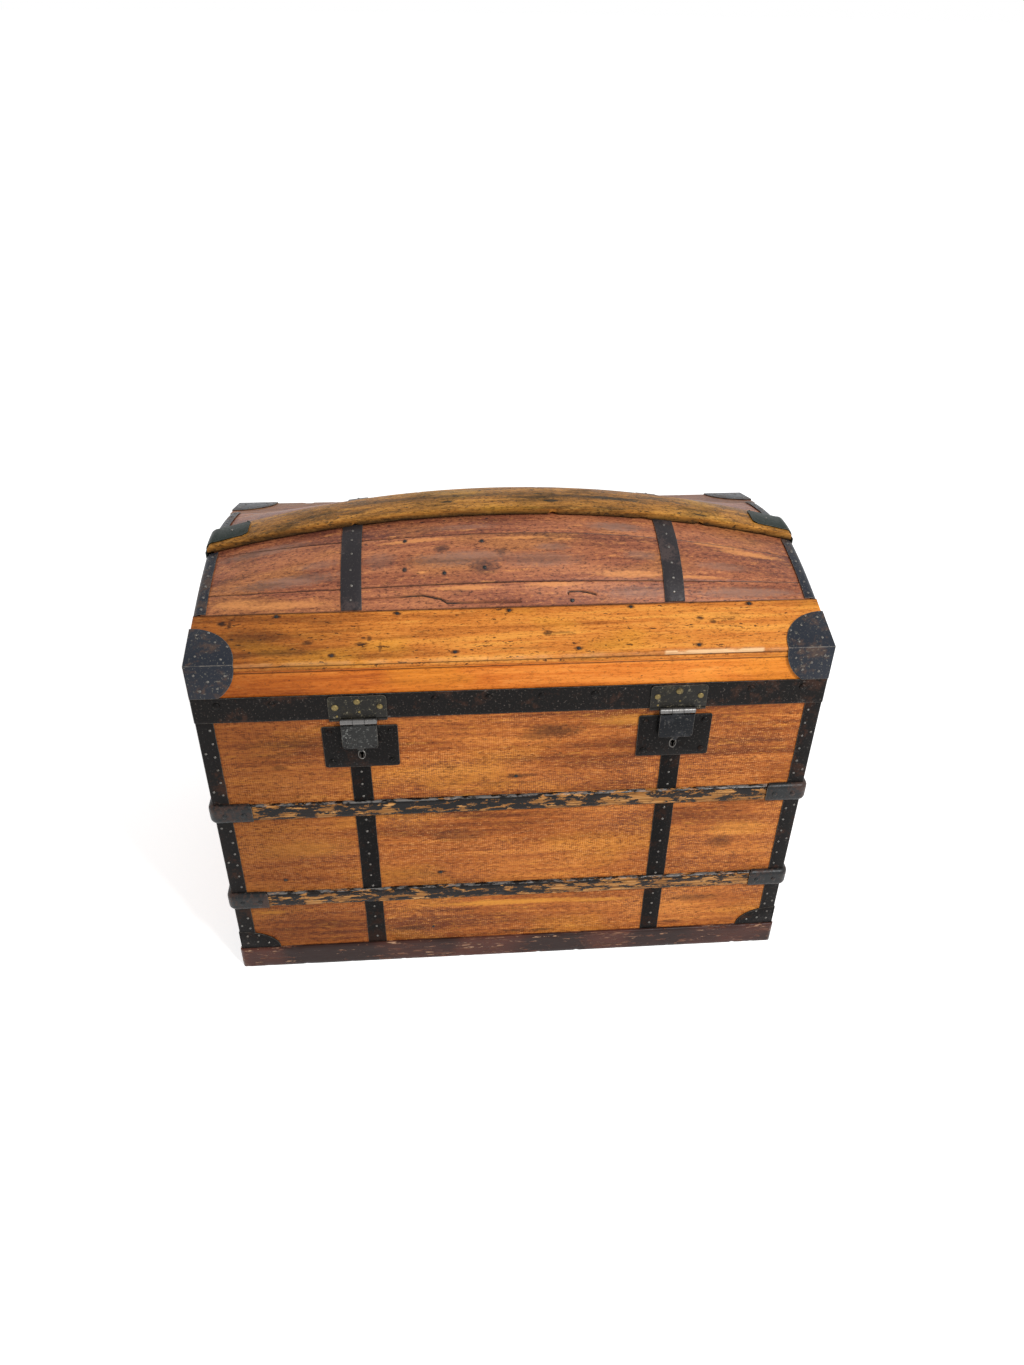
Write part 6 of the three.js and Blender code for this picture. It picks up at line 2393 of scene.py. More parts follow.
@dataclass
class Staves:
    """The bent staves of the dome."""

    shop: Shop
    pace: float = 3.2
    edge_round: float = 1.1
    lip: float = 0.14
    reach: float = 401
    hollows: Bites = Bites(40, 0.45)
    chips: Bites = Bites(7, 0.3, 2.5, 6.1)
    most_loss: float = 3.5

    def section(self, low: float, high: float, count: int) -> list[tuple[float, float]]:
        """Distances across a stave with how far each is rounded down."""
        soft = self.edge_round
        inner = spread(low + soft, high - soft, count)
        edges = [(low, soft), (low + soft * 0.3, soft * 0.3)]
        far = [(high - soft * 0.3, soft * 0.3), (high, soft)]
        return edges + [(a, 0.0) for a in inner] + far

    @staticmethod
    def darkness(x: float, across: float, low: float, high: float, cracked: bool) -> float:
        """How dark a stave is at a place: along its edges and in its cracks."""
        near = min(across - low, high - across)
        dark = 0.85 * max(0.0, 1 - near / 0.9)
        if cracked:
            fade = 0.35 + 0.65 * max(0.0, 1 - max(0.0, abs(x + 100) - 25) / 30)
            fade = max(fade, 0.9 if 70 < x < 118 else 0.0)
            dark = max(dark, *(fade * min(1.0, crack_and_shade.depth_at(x, across) / 1.2) for crack_and_shade in STAVE_CRACKS))
        return dark

    def build(self) -> None:
        """Makes the six staves."""
        t = TRUNK
        for index, place in enumerate(("inner", "middle", "outer")):
            count = max(24, round((t.stave_seams[index + 1] - t.stave_seams[index]) / 2.2))

            def reach_at(x: float) -> Pair:
                """The stave's two edges at a station."""
                return t.seam_at(index, x) + t.gap / 2, t.seam_at(index + 1, x) - t.gap / 2

            for face in Face:
                cracked = face is Face.FRONT and place == "outer"
                rings = []
                for x in stations(-self.reach, self.reach, self.pace / 2 if cracked else self.pace):
                    top = []
                    low, high = reach_at(x)
                    for a, drop in self.section(low, high, count):
                        spot = (x, face.value * a, index * 40)
                        wave = 0.16 * (1 + rough(spot, 26)) + self.hollows.at((x, face.value * a * 6, 3))
                        if cracked:
                            wave += max(crack_and_shade.depth_at(x, a) for crack_and_shade in STAVE_CRACKS)
                        chip = self.chips.at((x, face.value * a, 9)) if drop else 0.0
                        loss = min(self.most_loss, wave + drop + chip)
                        top.append((x, face.value * a, t.dome_top(x, a) - loss))
                    near, far = low - self.lip, high + (self.lip if index < 2 else 0)
                    under = [(x, face.value * a, t.dome_top(x, a) - t.stave_thickness)
                             for a in (far, (near + far * 2) / 3, (near * 2 + far) / 3, near)]
                    rings.append(top + under)
                stock = Stock()
                stock.loft(rings)
                piece = stock.finish(f"dome_stave_{face.label}_{place}", self.shop.finishes.stave)
                set_tone(piece, 0.27 * index + 0.45 * face.value)
                places = [(vertex.co.x / MM, abs(vertex.co.y) / MM) for vertex in piece.data.vertices]
                mark(piece, "crack_and_shade", "POINT", [self.darkness(x, a, *reach_at(x), cracked) for x, a in places])
                mark_inside(piece)
                fit(piece, Body.LID, Slot.STAVE, f"stave_{face.label}_{place}")


@dataclass
class ShoulderBoards:
    """The sloping boards along the front and back of the lid, chipped along their arrises."""

    shop: Shop
    pace: float = 3.2
    arris_round: float = 0.9
    long_chips: Bites = Bites(10, 0.14, 5.0, 8.3)
    chip_reach: float = 6
    most_chip: float = 2.8
    nicks: Bites = Bites(5, 0.55, 1.6, 9.9)
    edge_wear: Bites = Bites(11, 0.2, 0.4)
    edge_rows: tuple[float, ...] = (1, 0.64, 0.5, 0.36)

    @staticmethod
    def paleness(x: float, y: float, z: float) -> float:
        """How pale a place is where the arris has lost its finish."""
        t = TRUNK
        if z < t.shoulder_arris - 4.5:
            return 0.0
        near = max(0.0, 1 - (t.half_depth + t.nosing - abs(y)) / 3.5)
        ragged = max(0.0, 0.55 + 0.9 * rough((x, 0, 0), 16, 3.3))
        bare = BARE_ARRIS[0] < x < BARE_ARRIS[1]
        return min(1.0, near * 1.3) if bare else 0.22 * min(1.0, near * ragged)

    def build(self) -> None:
        """Makes both boards."""
        t = TRUNK
        outer = t.half_depth + t.nosing
        for face in Face:
            rings = []
            for x in stations(-t.half_width, t.half_width, self.pace):
                ring = []
                nosing = [outer, outer - 0.6, outer - self.arris_round]
                for a in nosing + spread(outer - 3, t.shoulder_reach, 30):
                    near = outer - a
                    round_off = max(0.0, self.arris_round - near) ** 2 / self.arris_round * 0.7
                    wave = 0.14 * (1 + rough((x, a * face.value, 12), 30, 2.4))
                    chip = 0.0
                    if near < self.chip_reach:
                        long_chip = self.long_chips.at((x * 0.6, face.value * 20, near))
                        local = 2.6 if face is Face.FRONT and BARE_ARRIS[0] < x < BARE_ARRIS[1] else 1.0
                        chip = min(self.most_chip, long_chip * local) * (1 - near / self.chip_reach)
                    nick = self.nicks.at((x, a * face.value, 5))
                    ring.append((a, t.shoulder_top(a) - wave - round_off - chip - nick))
                back = []
                for z_off in (t.shoulder_thickness * share for share in self.edge_rows):
                    back.append((outer - SUNK - self.edge_wear.at((x, 3, z_off)), -z_off))
                low = [(t.shoulder_reach, t.shoulder_top(t.shoulder_reach) - t.shoulder_thickness)]
                low += [(a, t.shoulder_top(outer) + drop) for a, drop in back]
                rings.append([(x, face.value * a, z) for a, z in ring + low])
            stock = Stock()
            stock.loft(rings)
            front = face is Face.FRONT
            finishes = self.shop.finishes
            material = finishes.shoulder if front else finishes.back_shoulder
            piece = stock.finish(f"shoulder_{face.label}", material)
            set_tone(piece, 0.0 if front else 0.8)
            places = [tuple(part / MM for part in vertex.co) for vertex in piece.data.vertices]
            mark(piece, "arris", "POINT", [self.paleness(*place) if front else 0.0 for place in places])
            # Painted shade: a dark line across the nosing's face just under the arris. The dark line along
            # the seam with the dome is a dark joint.
            line = t.shoulder_top(outer) - t.shoulder_thickness / 2
            dark = []
            for _, y, z in places:
                by_dome = 0.9 * max(0.0, 1 - (abs(y) - t.shoulder_reach) / 1.2)
                dark.append(max(by_dome, 0.9 if abs(z - line) < 0.5 else 0.0))
            mark(piece, "crack_and_shade", "POINT", dark)
            mark_inside(piece)
            fit(piece, Body.LID, Slot.LID, f"shoulder_board_{face.label}")


@dataclass
class Ridge:
    """The slat along the ridge, with the irons over its ends and down the dome's edges."""

    shop: Shop
    width: float = 52
    belly: float = 18
    inset: float = 6
    edge_gap: float = 1.5
    edge_thickness: float = 10
    crown_thickness: float = 12
    reach: float = 57
    drop: float = 24
    bend: float = 14
    clamp: float = 1.6
    band_width: float = 16
    band_drop: float = 16
    band_round: float = 9
    nail: HeadSize = HeadSize(2.0, 1.1)
    nicks: Bites = Bites(6, 0.5, 2.0, 3.9)
    splits: Bites = Bites(22, 0.2, 3, 0.9)
    deep_splits: tuple[Pair, ...] = ((65, 8), (-205, 5), (273, 6))
    corner: float = 7.0
    pace: float = 3.2
    heads: list[Head] = field(default_factory=list)

    def half(self, x: float) -> float:
        """Half the slat's width, which is greatest in the middle."""
        return (self.width + self.belly * max(0.0, 1 - (x / TRUNK.half_width) ** 2)) / 2

    def under(self, x: float, across: float) -> float:
        """Height of the slat's lower face."""
        t = TRUNK
        rise = (self.edge_gap - t.bent_gap) * min(1.0, abs(across) / self.half(x))
        return t.dome_top(x, across) + t.bent_gap + rise

    def over(self, x: float, across: float) -> float:
        """Height of the slat's upper face."""
        half = self.half(x)
        crown = self.under(x, 0) + self.crown_thickness
        edge = self.under(x, half) + self.edge_thickness
        return crown + (edge - crown) * (across / half) ** 2

    def end_height(self, x: float, height: float, radius: float, centre: float, level: float) -> float:
        """A height kept under the rounded end."""
        if x <= centre:
            return height
        room = math.sqrt(max(0.0, radius**2 - (x - centre) ** 2))
        return min(height, level + room)

    def slat(self) -> None:
        """Makes the slat, chipped along its lower front edge."""
        t = TRUNK
        centre = t.half_width + t.gap + self.clamp - self.bend
        level = self.over(centre, 0) - self.bend + t.gap + self.clamp
        radius = self.bend - self.clamp - t.gap
        ends = t.half_width - 0.5
        clear = t.bent_gap + t.gap + t.sheet
        rings = []
        for x in stations(-ends, ends, self.pace):
            ring = []
            half = self.half(x)
            for a in spread(-half, half, 30):
                soft = max(0.0, 1.6 - (half - abs(a))) * 0.7
                wave = 0.16 * (1 + rough((x, a, 3), 24, 1.1))
                top = self.over(x, a) - soft - wave - self.nicks.at((x, a, 5))
                ring.append((a, self.end_height(abs(x), top, radius, centre, level)))
            low = [(a, t.dome_top(x, a) + clear) for a in (half, half * 0.5, 0, -half * 0.5)]
            lip = min(1.0, self.splits.at((x, 0, 2)))
            for spot, size in self.deep_splits:
                lip = max(lip, 3.5 * max(0.0, 1 - abs(x - spot) / size))
            low.append((lip * 0.4 - half, t.dome_top(x, half) + clear + lip))
            rings.append([(x, a, z) for a, z in ring + low])
        stock = Stock()
        stock.loft(rings)
        piece = stock.finish("ridge_bar", self.shop.finishes.ridge)
        dark, warm = [], []
        for vertex in piece.data.vertices:
            x, y, z = (part / MM for part in vertex.co)
            half = self.half(x)
            low = z - self.under(x, half)
            # Painted shadow along the slat's lower edge, where it stands just over the dome.
            dark.append(0.9 if low < 2.2 else 0.0)
            front = max(0.0, 1 - (y + half) / 3) * max(0.0, 1 - low / 12)
            warm.append(front * (0.9 if abs(x) < 300 else 0.25) if low >= 2.2 else 0.0)
        mark(piece, "crack_and_shade", "POINT", dark)
        mark(piece, "arris", "POINT", warm)
        fit(piece, Body.LID, Slot.RIDGE, "ridge_slat")

    def end_iron(self, side: End) -> None:
        """Makes the iron over one end of the slat."""
        t = TRUNK
        half = self.width / 2
        outer_end = t.half_width + t.gap + self.clamp
        centre = outer_end - self.bend
        level = self.over(centre, 0) + t.gap + self.clamp - self.bend
        start = t.half_width - self.reach
        leaf = half - self.inset
        corner = self.corner
        turns = spread(0, QUARTER, 8)
        crosses = [*spread(-leaf, -leaf + corner, 8), *spread(-leaf + corner, leaf - corner, 6)[1:-1],
                   *spread(leaf - corner, leaf, 8)]

        def skin(grow: float) -> list[Ring]:
            """Rows of points over the slat's end, raised by an offset."""
            rows = []
            for x in [*spread(start, start + 12, 2), *spread(start + 12, centre, 6)[1:]]:
                rows.append([(x, a, self.over(x, a) + grow) for a in crosses])
            radius = self.bend - self.clamp - t.gap + grow
            base = self.over(centre, 0)
            for turn in turns[1:]:
                x = centre + radius * math.sin(turn)
                rows.append([(x, a, level + (radius + self.over(centre, a) - base) * math.cos(turn))
                             for a in crosses])
            return rows

        outside, inside = skin(t.gap + self.clamp), skin(t.gap)
        stock = Stock()
        mesh = stock.mesh

        def grid(rows: list[Ring]) -> list[list[bmesh.types.BMVert]]:
            """The vertices of a skin, with the free corners of its first row rounded."""
            made = []
            for r, row in enumerate(rows):
                line = []
                for x, a, z in row:
                    near = min(corner, leaf - abs(a))
                    back = corner - math.sqrt(max(0.0, corner**2 - (corner - near) ** 2)) if r == 0 else 0.0
                    line.append(stock.vertex((side.value * (x + min(back, 5.5)), a, z)))
                made.append(line)
            return made

        front, back = grid(outside), grid(inside)
        rows, columns = len(front), len(front[0])
        for r in range(rows - 1):
            for c in range(columns - 1):
                mesh.faces.new((front[r][c], front[r][c + 1], front[r + 1][c + 1], front[r + 1][c]))
                mesh.faces.new((back[r][c], back[r + 1][c], back[r + 1][c + 1], back[r][c + 1]))
        for r in range(rows - 1):
            for c in (0, columns - 1):
                mesh.faces.new((front[r][c], front[r + 1][c], back[r + 1][c], back[r][c]))
        for c in range(columns - 1):
            for r in (0, rows - 1):
                mesh.faces.new((front[r][c], front[r][c + 1], back[r][c + 1], back[r][c]))
        bmesh.ops.recalc_face_normals(mesh, faces=mesh.faces[:])
        wide = half + t.gap + self.clamp
        low, high = t.dome_top(t.half_width, half) - self.drop, level - 0.02
        ends = sorted((side.value * (outer_end - self.clamp), side.value * outer_end))
        stock.prism([(-wide, low), (wide, low), (wide, high), (-wide, high)], Along.X, *ends)
        add(stock, f"ridge_end_iron_{side.label}", self.shop.finishes.ridge_clamp,
            Body.LID, Slot.BLACK, f"lid_end_iron_{side.label}", bevel=Bevel(0.35, 1, 50),
            tone=0.4 * side.value)
        mid = start + self.reach * 0.42
        self.heads.append(Head((side.value * mid, 0, self.over(mid, 0) + t.gap + self.clamp), (0, 0, 1)))

    def edge_bands(self, side: End) -> None:
        """Makes the two bands down one edge of the dome, with their nails."""
        t = TRUNK
        start = self.width / 2 + self.clamp + 2 * t.gap
        end = t.shoulder_reach - t.gap
        inner = t.half_width - self.band_width
        face = t.half_width + t.gap
        round_off = self.band_round
        for which in Face:
            rings = []
            for a in spread(start, end, 26):
                low = t.dome_top(t.half_width, a) - self.band_drop
                begin = t.dome_top(inner, a) + t.bent_gap
                height = t.dome_top(face - round_off, a) + t.bent_gap
                ragged = 0.5 * rough((a, side.value, which.value), 14)
                bend = arc((face - round_off, height - round_off), (round_off, round_off), QUARTER, 0, 8)
                outer = arc((face - round_off, height - round_off),
                            (round_off + t.sheet, round_off + t.sheet), 0, QUARTER, 8)
                section = [(inner + ragged, begin), *bend, (face, low), (face + t.sheet, low), *outer,
                           (inner + ragged, begin + t.sheet)]
                rings.append([(side.value * x, which.value * a, z) for x, z in section])
            stock = Stock()
            stock.loft(rings)
            add(stock, f"dome_edge_band_{which.label}_{side.label}", self.shop.finishes.cap,
                Body.LID, Slot.BLACK, bevel=Bevel(0.35), tone=0.2 * side.value + 0.5 * which.value)
            for a in stations(start + 10, end - 8, 21):
                x = inner + 6.5
                self.heads.append(Head((side.value * x, which.value * a, t.iron_top(x, a)),
                                       t.dome_out(x, a, which.value)))
                self.heads.append(Head((side.value * (face + t.sheet), which.value * (a + 8),
                                        t.dome_top(t.half_width, a + 8) - 12), (side.value, 0, 0)))

    def build(self) -> None:
        """Makes the ridge slat and all its irons."""
        self.slat()
        for side in End:
            self.end_iron(side)
            self.edge_bands(side)
        self.shop.drive("dome_edge_nails", self.heads, self.nail, self.shop.finishes.nail,
                        Body.LID, Slot.BRIGHT)


@dataclass
class LidStraps:
    """The two straps over the dome, under the ridge slat."""

    shop: Shop
    nail: HeadSize = HeadSize(1.9, 1.1)
    nail_places: tuple[float, ...] = (44, 63, 87, 110, 128.5, 143)

    def build(self) -> None:
        """Makes both straps and their nails."""
        t = TRUNK
        heads = []
        reach = t.shoulder_reach - t.gap
        for end in End:
            centre = middle_of(f"lid_strap_{end.label}")
            half = t.strap_width / 2
            rings = []
            for a in spread(-reach, reach, 70):
                left = centre - half + 0.4 * rough((centre, a, 0), 18)
                right = centre + half + 0.4 * rough((centre, a, 40), 18)
                left, right = max(centre - half, left), min(centre + half, right)
                face = [(x, a, t.iron_top(x, a)) for x in spread(left, right, 3)]
                back = [(x, a, t.dome_top(x, a) + t.bent_gap) for x in spread(right, left, 3)]
                rings.append(face + back)
            stock = Stock()
            stock.loft(rings)
            add(stock, f"strap_lid_{end.label}", self.shop.finishes.lid_strap,
                Body.LID, Slot.STRAP, f"lid_strap_{end.label}", bevel=Bevel(0.35, 2, 50),
                tone=0.41 * end.value)
            for sign in (-1, 1):
                for a in self.nail_places:
                    x = centre + 1.5 * rough((centre, a * sign, 2), 11, 3.3)
                    heads.append(Head((x, sign * a, t.iron_top(x, a)), t.dome_out(x, a, sign)))
        self.shop.drive("lid_strap_nails", heads, self.nail, self.shop.finishes.nail, Body.LID, Slot.BRIGHT)


@dataclass
class LidCaps:
    """The rounded irons over the corners of the lid."""

    shop: Shop
    radius: float = 60
    nail: HeadSize = HeadSize(2.0, 1.1)
    top_nails: tuple[Pair, ...] = ((9, 49), (44, 8), (12, 14), (34, 36), (50, 28), (24, 52))
    side_nails: tuple[Pair, ...] = ((48, 14), (36, 33), (10, 12), (14, 36), (26, 22))
    side_nails_from: float = 557
    heads: list[Head] = field(default_factory=list)

    def cap(self) -> Stock:
        """The three leaves of the front right cap, with rolled folds between them."""
        t = TRUNK
        front = -t.half_depth - t.nosing
        iron = t.sheet + t.gap
        low = t.rim_top + t.gap
        stock = Stock()
        outline = [(t.half_width + iron, front - iron), (t.half_width + iron, front + self.radius),
                   *arc((t.half_width, front), (self.radius, self.radius), QUARTER, math.pi, 24),
                   (t.half_width - self.radius, front - iron)]
        rings = []
        for lift in (t.gap, iron):
            rings.append([(x, y, t.shoulder_top(y) + lift) for x, y in outline])
        stock.loft(rings)
        arris = t.shoulder_top(front)
        turn = math.asin(min(1.0, (arris - low) / self.radius))
        high = arris + iron / 2
        leaf = [(t.half_width + iron, low), (t.half_width + iron, high), (t.half_width - self.radius, high),
                *arc((t.half_width, arris), (-self.radius, -self.radius), 0, turn, 20)]
        stock.prism(leaf, Along.Y, front - iron, front - t.gap)
        side = [(front - iron, low), (front - iron, high - t.shoulder_slope * iron),
                (front + self.radius, high + t.shoulder_slope * self.radius),
                *arc((front, arris), (self.radius, -self.radius), 0, turn, 20)]
        stock.prism(side, Along.X, t.half_width + t.gap, t.half_width + iron)
        return stock

    def note_nails(self, side_x: int, side_y: int) -> None:
        """Notes where the nails of one cap sit, from its place at the back right."""
        t = TRUNK
        iron = t.sheet + t.gap
        back = t.half_depth + t.nosing
        up = Vector((0, t.shoulder_slope, 1)).normalized()
        for x_in, y_in in self.top_nails:
            y = back - y_in
            self.heads.append(Head((side_x * (t.half_width - x_in), side_y * y, t.shoulder_top(y) + iron),
                                   (0, side_y * up.y, up.z)))
        for inset, drop in self.side_nails:
            z = self.side_nails_from - drop
            self.heads.append(Head((side_x * (t.half_width - inset), side_y * (back + iron), z),
                                   (0, side_y, 0)))
            self.heads.append(Head((side_x * (t.half_width + iron), side_y * (back - inset), z),
                                   (side_x, 0, 0)))

    def build(self) -> None:
        """Makes the four caps and their nails."""
        for face in Face:
            for end in End:
                stock = self.cap()
                stock.mirror(end.value, -face.value)
                add(stock, f"corner_cap_{face.label}_{end.label}", self.shop.finishes.cap,
                    Body.LID, Slot.BLACK, f"lid_cap_{face.label}_{end.label}", bevel=Bevel(0.6, 3),
                    tone=0.3 * end.value + 0.6 * face.value)
                self.note_nails(end.value, face.value)
        self.shop.drive("cap_nails", self.heads, self.nail, self.shop.finishes.nail, Body.LID, Slot.BRIGHT)


@dataclass
class Rim:
    """The iron rim round the lid, with its studs, and the strip with the hinge leaves at the back."""

    shop: Shop
    hinges: Hinges
    iron: float = 2
    stud: HeadSize = HeadSize(5, 2.6, 20)
    stud_drop: float = 12
    stud_count: int = 12
    stud_inset: float = 30
    lock_clear: float = 43
    dips: Bites = Bites(22, 0, 0.5, 4.4)
    lifts: Bites = Bites(22, 0, 0.4, 6.6)
    dents: Bites = Bites(12, 0, 0.22, 7.7)
    end_pace: float = 82
    pace: float = 7
    bend: float = 3

    def path(self) -> list[tuple[Pair, Pair]]:
        """Places on the outer face of the rim, with the way that each looks."""
        t = TRUNK
        x, y, r = t.rim_end_face, t.rim_face, self.bend
        places: list[tuple[Pair, Pair]] = []
        for station in stations(t.half_depth, -y + r, self.pace)[:-1]:
            places.append(((-x, station), (-1, 0)))
        for turn in spread(math.pi, math.pi * 1.5, 6):
            way = (math.cos(turn), math.sin(turn))
            places.append(((-x + r + r * way[0], -y + r + r * way[1]), way))
        for station in stations(-x + r, x - r, self.pace)[1:-1]:
            places.append(((station, -y), (0, -1)))
        for turn in spread(-QUARTER, 0, 6):
            way = (math.cos(turn), math.sin(turn))
            places.append(((x - r + r * way[0], -y + r + r * way[1]), way))
        for station in stations(-y + r, t.half_depth, self.pace)[1:]:
            places.append(((x, station), (1, 0)))
        return places

    def build(self) -> None:
        """Makes the rim, its studs and the strip at the back."""
        t = TRUNK
        rings = []
        for (x, y), (a, b) in self.path():
            low, high = t.rim_bottom + self.dips.at((x, y, 0)), t.rim_top - self.lifts.at((x, y, 9))
            ring = []
            for z in (low, *spread(low + 5, high - 5, 3), high):
                dent = self.dents.at((x, y, z))
                ring.append((x - a * dent, y - b * dent, z))
            ring += [(x - a * self.iron, y - b * self.iron, z) for z in (high, low)]
            rings.append(ring)
        stock = Stock()
        stock.loft(rings)
        add(stock, "rim", self.shop.finishes.rim, Body.LID, Slot.RIM, "rim_band", bevel=Bevel(0.4, 2, 50))
        self.back_strip()
        self.studs()

    def back_strip(self) -> None:
        """Makes the strip along the back, with the lid's hinge leaves on it."""
        t = TRUNK
        h = self.hinges
        stock = Stock()
        reach = h.width / 2 + h.pin_head
        marks = [-t.rim_end_face]
        for side in End:
            marks += [side.value * h.offset - reach, side.value * h.offset + reach]
        marks.append(t.rim_end_face)
        outline = [(marks[0], t.rim_top), (marks[-1], t.rim_top), (marks[-1], t.seam + t.gap)]
        clear = t.seam + h.knuckle + t.gap
        for left, right in ((marks[3], marks[4]), (marks[1], marks[2])):
            outline += [(right, t.seam + t.gap), (right, clear), (left, clear), (left, t.seam + t.gap)]
        outline.append((marks[0], t.seam + t.gap))
        stock.prism(outline, Along.Y, t.half_depth + t.gap, t.rim_face)
        third = h.width / 3
        for side in End:
            centre = side.value * h.offset
            h.leaf(stock, centre, t.seam + h.knuckle + 0.6, t.seam + h.lid_reach)
            for sign in (-1, 1):
                low, high = sorted((centre + sign * third / 2, centre + sign * h.width / 2))
                h.barrel(stock, low, high)
                stock.block((low, t.half_depth + t.gap, t.seam + 1),
                            (high, t.half_depth + h.iron, t.seam + h.knuckle + 1))
        add(stock, "back_strip", self.shop.finishes.rim, Body.LID, Slot.RIM, "back_hinge_band",
            bevel=Bevel(0.4), tone=0.7)

    def studs(self) -> None:
        """Sets the studs along the rim."""
        t = TRUNK
        heads = []
        z = t.rim_top - self.stud_drop
        reach = t.half_width - self.stud_inset
        locks = [middle_of(f"lock_{end.label}") for end in End]
        for x in spread(-reach, reach, self.stud_count - 1):
            if all(abs(x - lock) > self.lock_clear for lock in locks):
                heads.append(Head((x, -t.rim_face, z), (0, -1, 0)))
                heads.append(Head((x, t.rim_face, z), (0, 1, 0)))
        for side in End:
            for k in range(-2, 3):
                heads.append(Head((side.value * t.rim_end_face, k * self.end_pace, z), (side.value, 0, 0)))
        self.shop.drive("rim_studs", heads, self.stud, self.shop.finishes.rim, Body.LID, Slot.RIM)


@dataclass
class Hasps:
    """The hinged hasps over the locks."""

    shop: Shop
    plate: Pair = (75, 39)
    clip: float = 9
    iron: float = 2
    width: float = 47
    knuckle: float = 4
    pin: float = 1.6
    play: float = 0.25
    soft: float = 0.3
    drop: float = 42
    corner: float = 4.5
    tab: Pair = (10, 5)
    stand_off: float = 0.5
    staple: Pair = (8, 2.4)
    staple_height: float = 437
    rivet: HeadSize = HeadSize(4.5, 2.3, 20)
    tack: HeadSize = HeadSize(1.8, 0.9)

    @property
    def axis(self) -> Pair:
        """Where the pin is, as Y and Z."""
        return (-(TRUNK.rim_face + TRUNK.gap + self.knuckle), TRUNK.rim_bottom - self.knuckle / 2)

    def barrel(self, stock: Stock, low: float, high: float) -> None:
        """Adds a knuckle with a bore for the pin."""
        stock.tube(self.axis, self.pin + self.play, self.knuckle, self.soft, low, high)

    def plate_piece(self, centre: float, end: End) -> None:
        """Makes the plate on the rim, with the outer knuckles and the pin."""
        t = TRUNK
        back = -(t.rim_face + t.gap)
        low, high = self.axis[1], self.axis[1] + self.plate[1]
        half = self.plate[0] / 2
        stock = Stock()
        radius = self.clip * 0.55
        outline = [(centre - half, low + 3.2), (centre + half, low + 3.2)]
        for x, turn in ((centre + half - radius, 0), (centre - half + radius, QUARTER)):
            outline += arc((x, high - radius), (radius, radius), turn, turn + QUARTER, 5)
        stock.prism(outline, Along.Y, back - self.iron, back)
        third = self.width / 3
        for sign in (-1, 1):
            left, right = sorted((centre + sign * (third / 2 + 0.15), centre + sign * self.width / 2))
            stock.block((left, back - self.iron, low - 0.5), (right, back, low + 5))
            outer_left, outer_right = sorted((centre + sign * self.width / 2, centre + sign * half))
            stock.block((outer_left, back - self.iron, low), (outer_right, back, low + 5))
        add(stock, f"hasp_top_plate_{end.label}", self.shop.finishes.hasp_plate,
            Body.LID, Slot.LOCK, f"hasp_plate_{end.label}", bevel=Bevel(0.45), tone=0.55 * end.value)
        tubes = Stock()
        for sign in (-1, 1):
            left, right = sorted((centre + sign * third / 2, centre + sign * self.width / 2))
            self.barrel(tubes, left, right)
        tubes.bar(Along.X, self.axis, self.pin, centre - self.width / 2 - 0.6, centre + self.width / 2 + 0.6)
        barrels = tubes.finish(f"hasp_knuckles_{end.label}", self.shop.finishes.knuckle)
        fit(barrels, Body.LID, Slot.LOCK)

    def flap_piece(self, centre: float, end: End, body: Body) -> None:
        """Makes the hinged flap: a dished sheet with a pointed tab and a staple behind it."""
        t = TRUNK
        y, z = self.axis
        face = y - self.knuckle + 0.2
        back = -(t.half_depth + 2 + self.stand_off)
        top, low = z - self.knuckle - t.gap, z - self.drop
        half = self.width / 2
        stock = Stock()
        mesh = stock.mesh

        def outline(inset: float) -> list[Pair]:
            """The flap's outline without its tab, anticlockwise from its top right."""
            radius = self.corner - inset
            points = [(centre + half - inset, top)]
            for x, turn in ((centre + half - self.corner, 0), (centre - half + self.corner, -QUARTER)):
                points += arc((x, low + self.corner), (radius, radius), turn, turn - QUARTER, 8)
            points.append((centre - half + inset, top))
            return points

        layers = ((1.4, face), (0.5, face + 0.25), (0, face + 1.0), (0, back), (self.iron, back),
                  (self.iron, face + self.iron))
        rows = [[stock.vertex((x, depth, h)) for x, h in outline(inset)] for inset, depth in layers]
        for first, second in zip(rows, rows[1:]):
            for i in range(len(first) - 1):
                mesh.faces.new((first[i], first[i + 1], second[i + 1], second[i]))
        mesh.faces.new(rows[0])
        mesh.faces.new(rows[-1][::-1])
        mesh.faces.new([row[0] for row in rows])
        mesh.faces.new([row[-1] for row in rows][::-1])
        bmesh.ops.recalc_face_normals(mesh, faces=mesh.faces[:])
        wide, long = self.tab
        tab = [(centre - wide / 2, low + 0.6), (centre + wide / 2, low + 0.6), (centre + 1.2, low - long),
               (centre - 1.2, low - long)]
        stock.prism(tab, Along.Y, face, face + self.iron)
        third = self.width / 3
        stock.block((centre - third / 2 + 0.4, face + 0.3, top - 1),
                    (centre + third / 2 - 0.4, face + self.iron, z))
        stock.block((centre - self.staple[0] / 2, face + 1.2, self.staple_height - self.staple[1] / 2),
                    (centre + self.staple[0] / 2, back, self.staple_height + self.staple[1] / 2))
        add(stock, f"hasp_flap_{end.label}", self.shop.finishes.flaps[end],
            body, Slot.WORN, f"hasp_{end.label}", bevel=Bevel(0.3), tone=0.8 * end.value)
        tube = Stock()
        self.barrel(tube, centre - third / 2 + t.gap, centre + third / 2 - t.gap)
        middle = tube.finish(f"hasp_middle_knuckle_{end.label}", self.shop.finishes.knuckle)
        fit(middle, body, Slot.WORN)

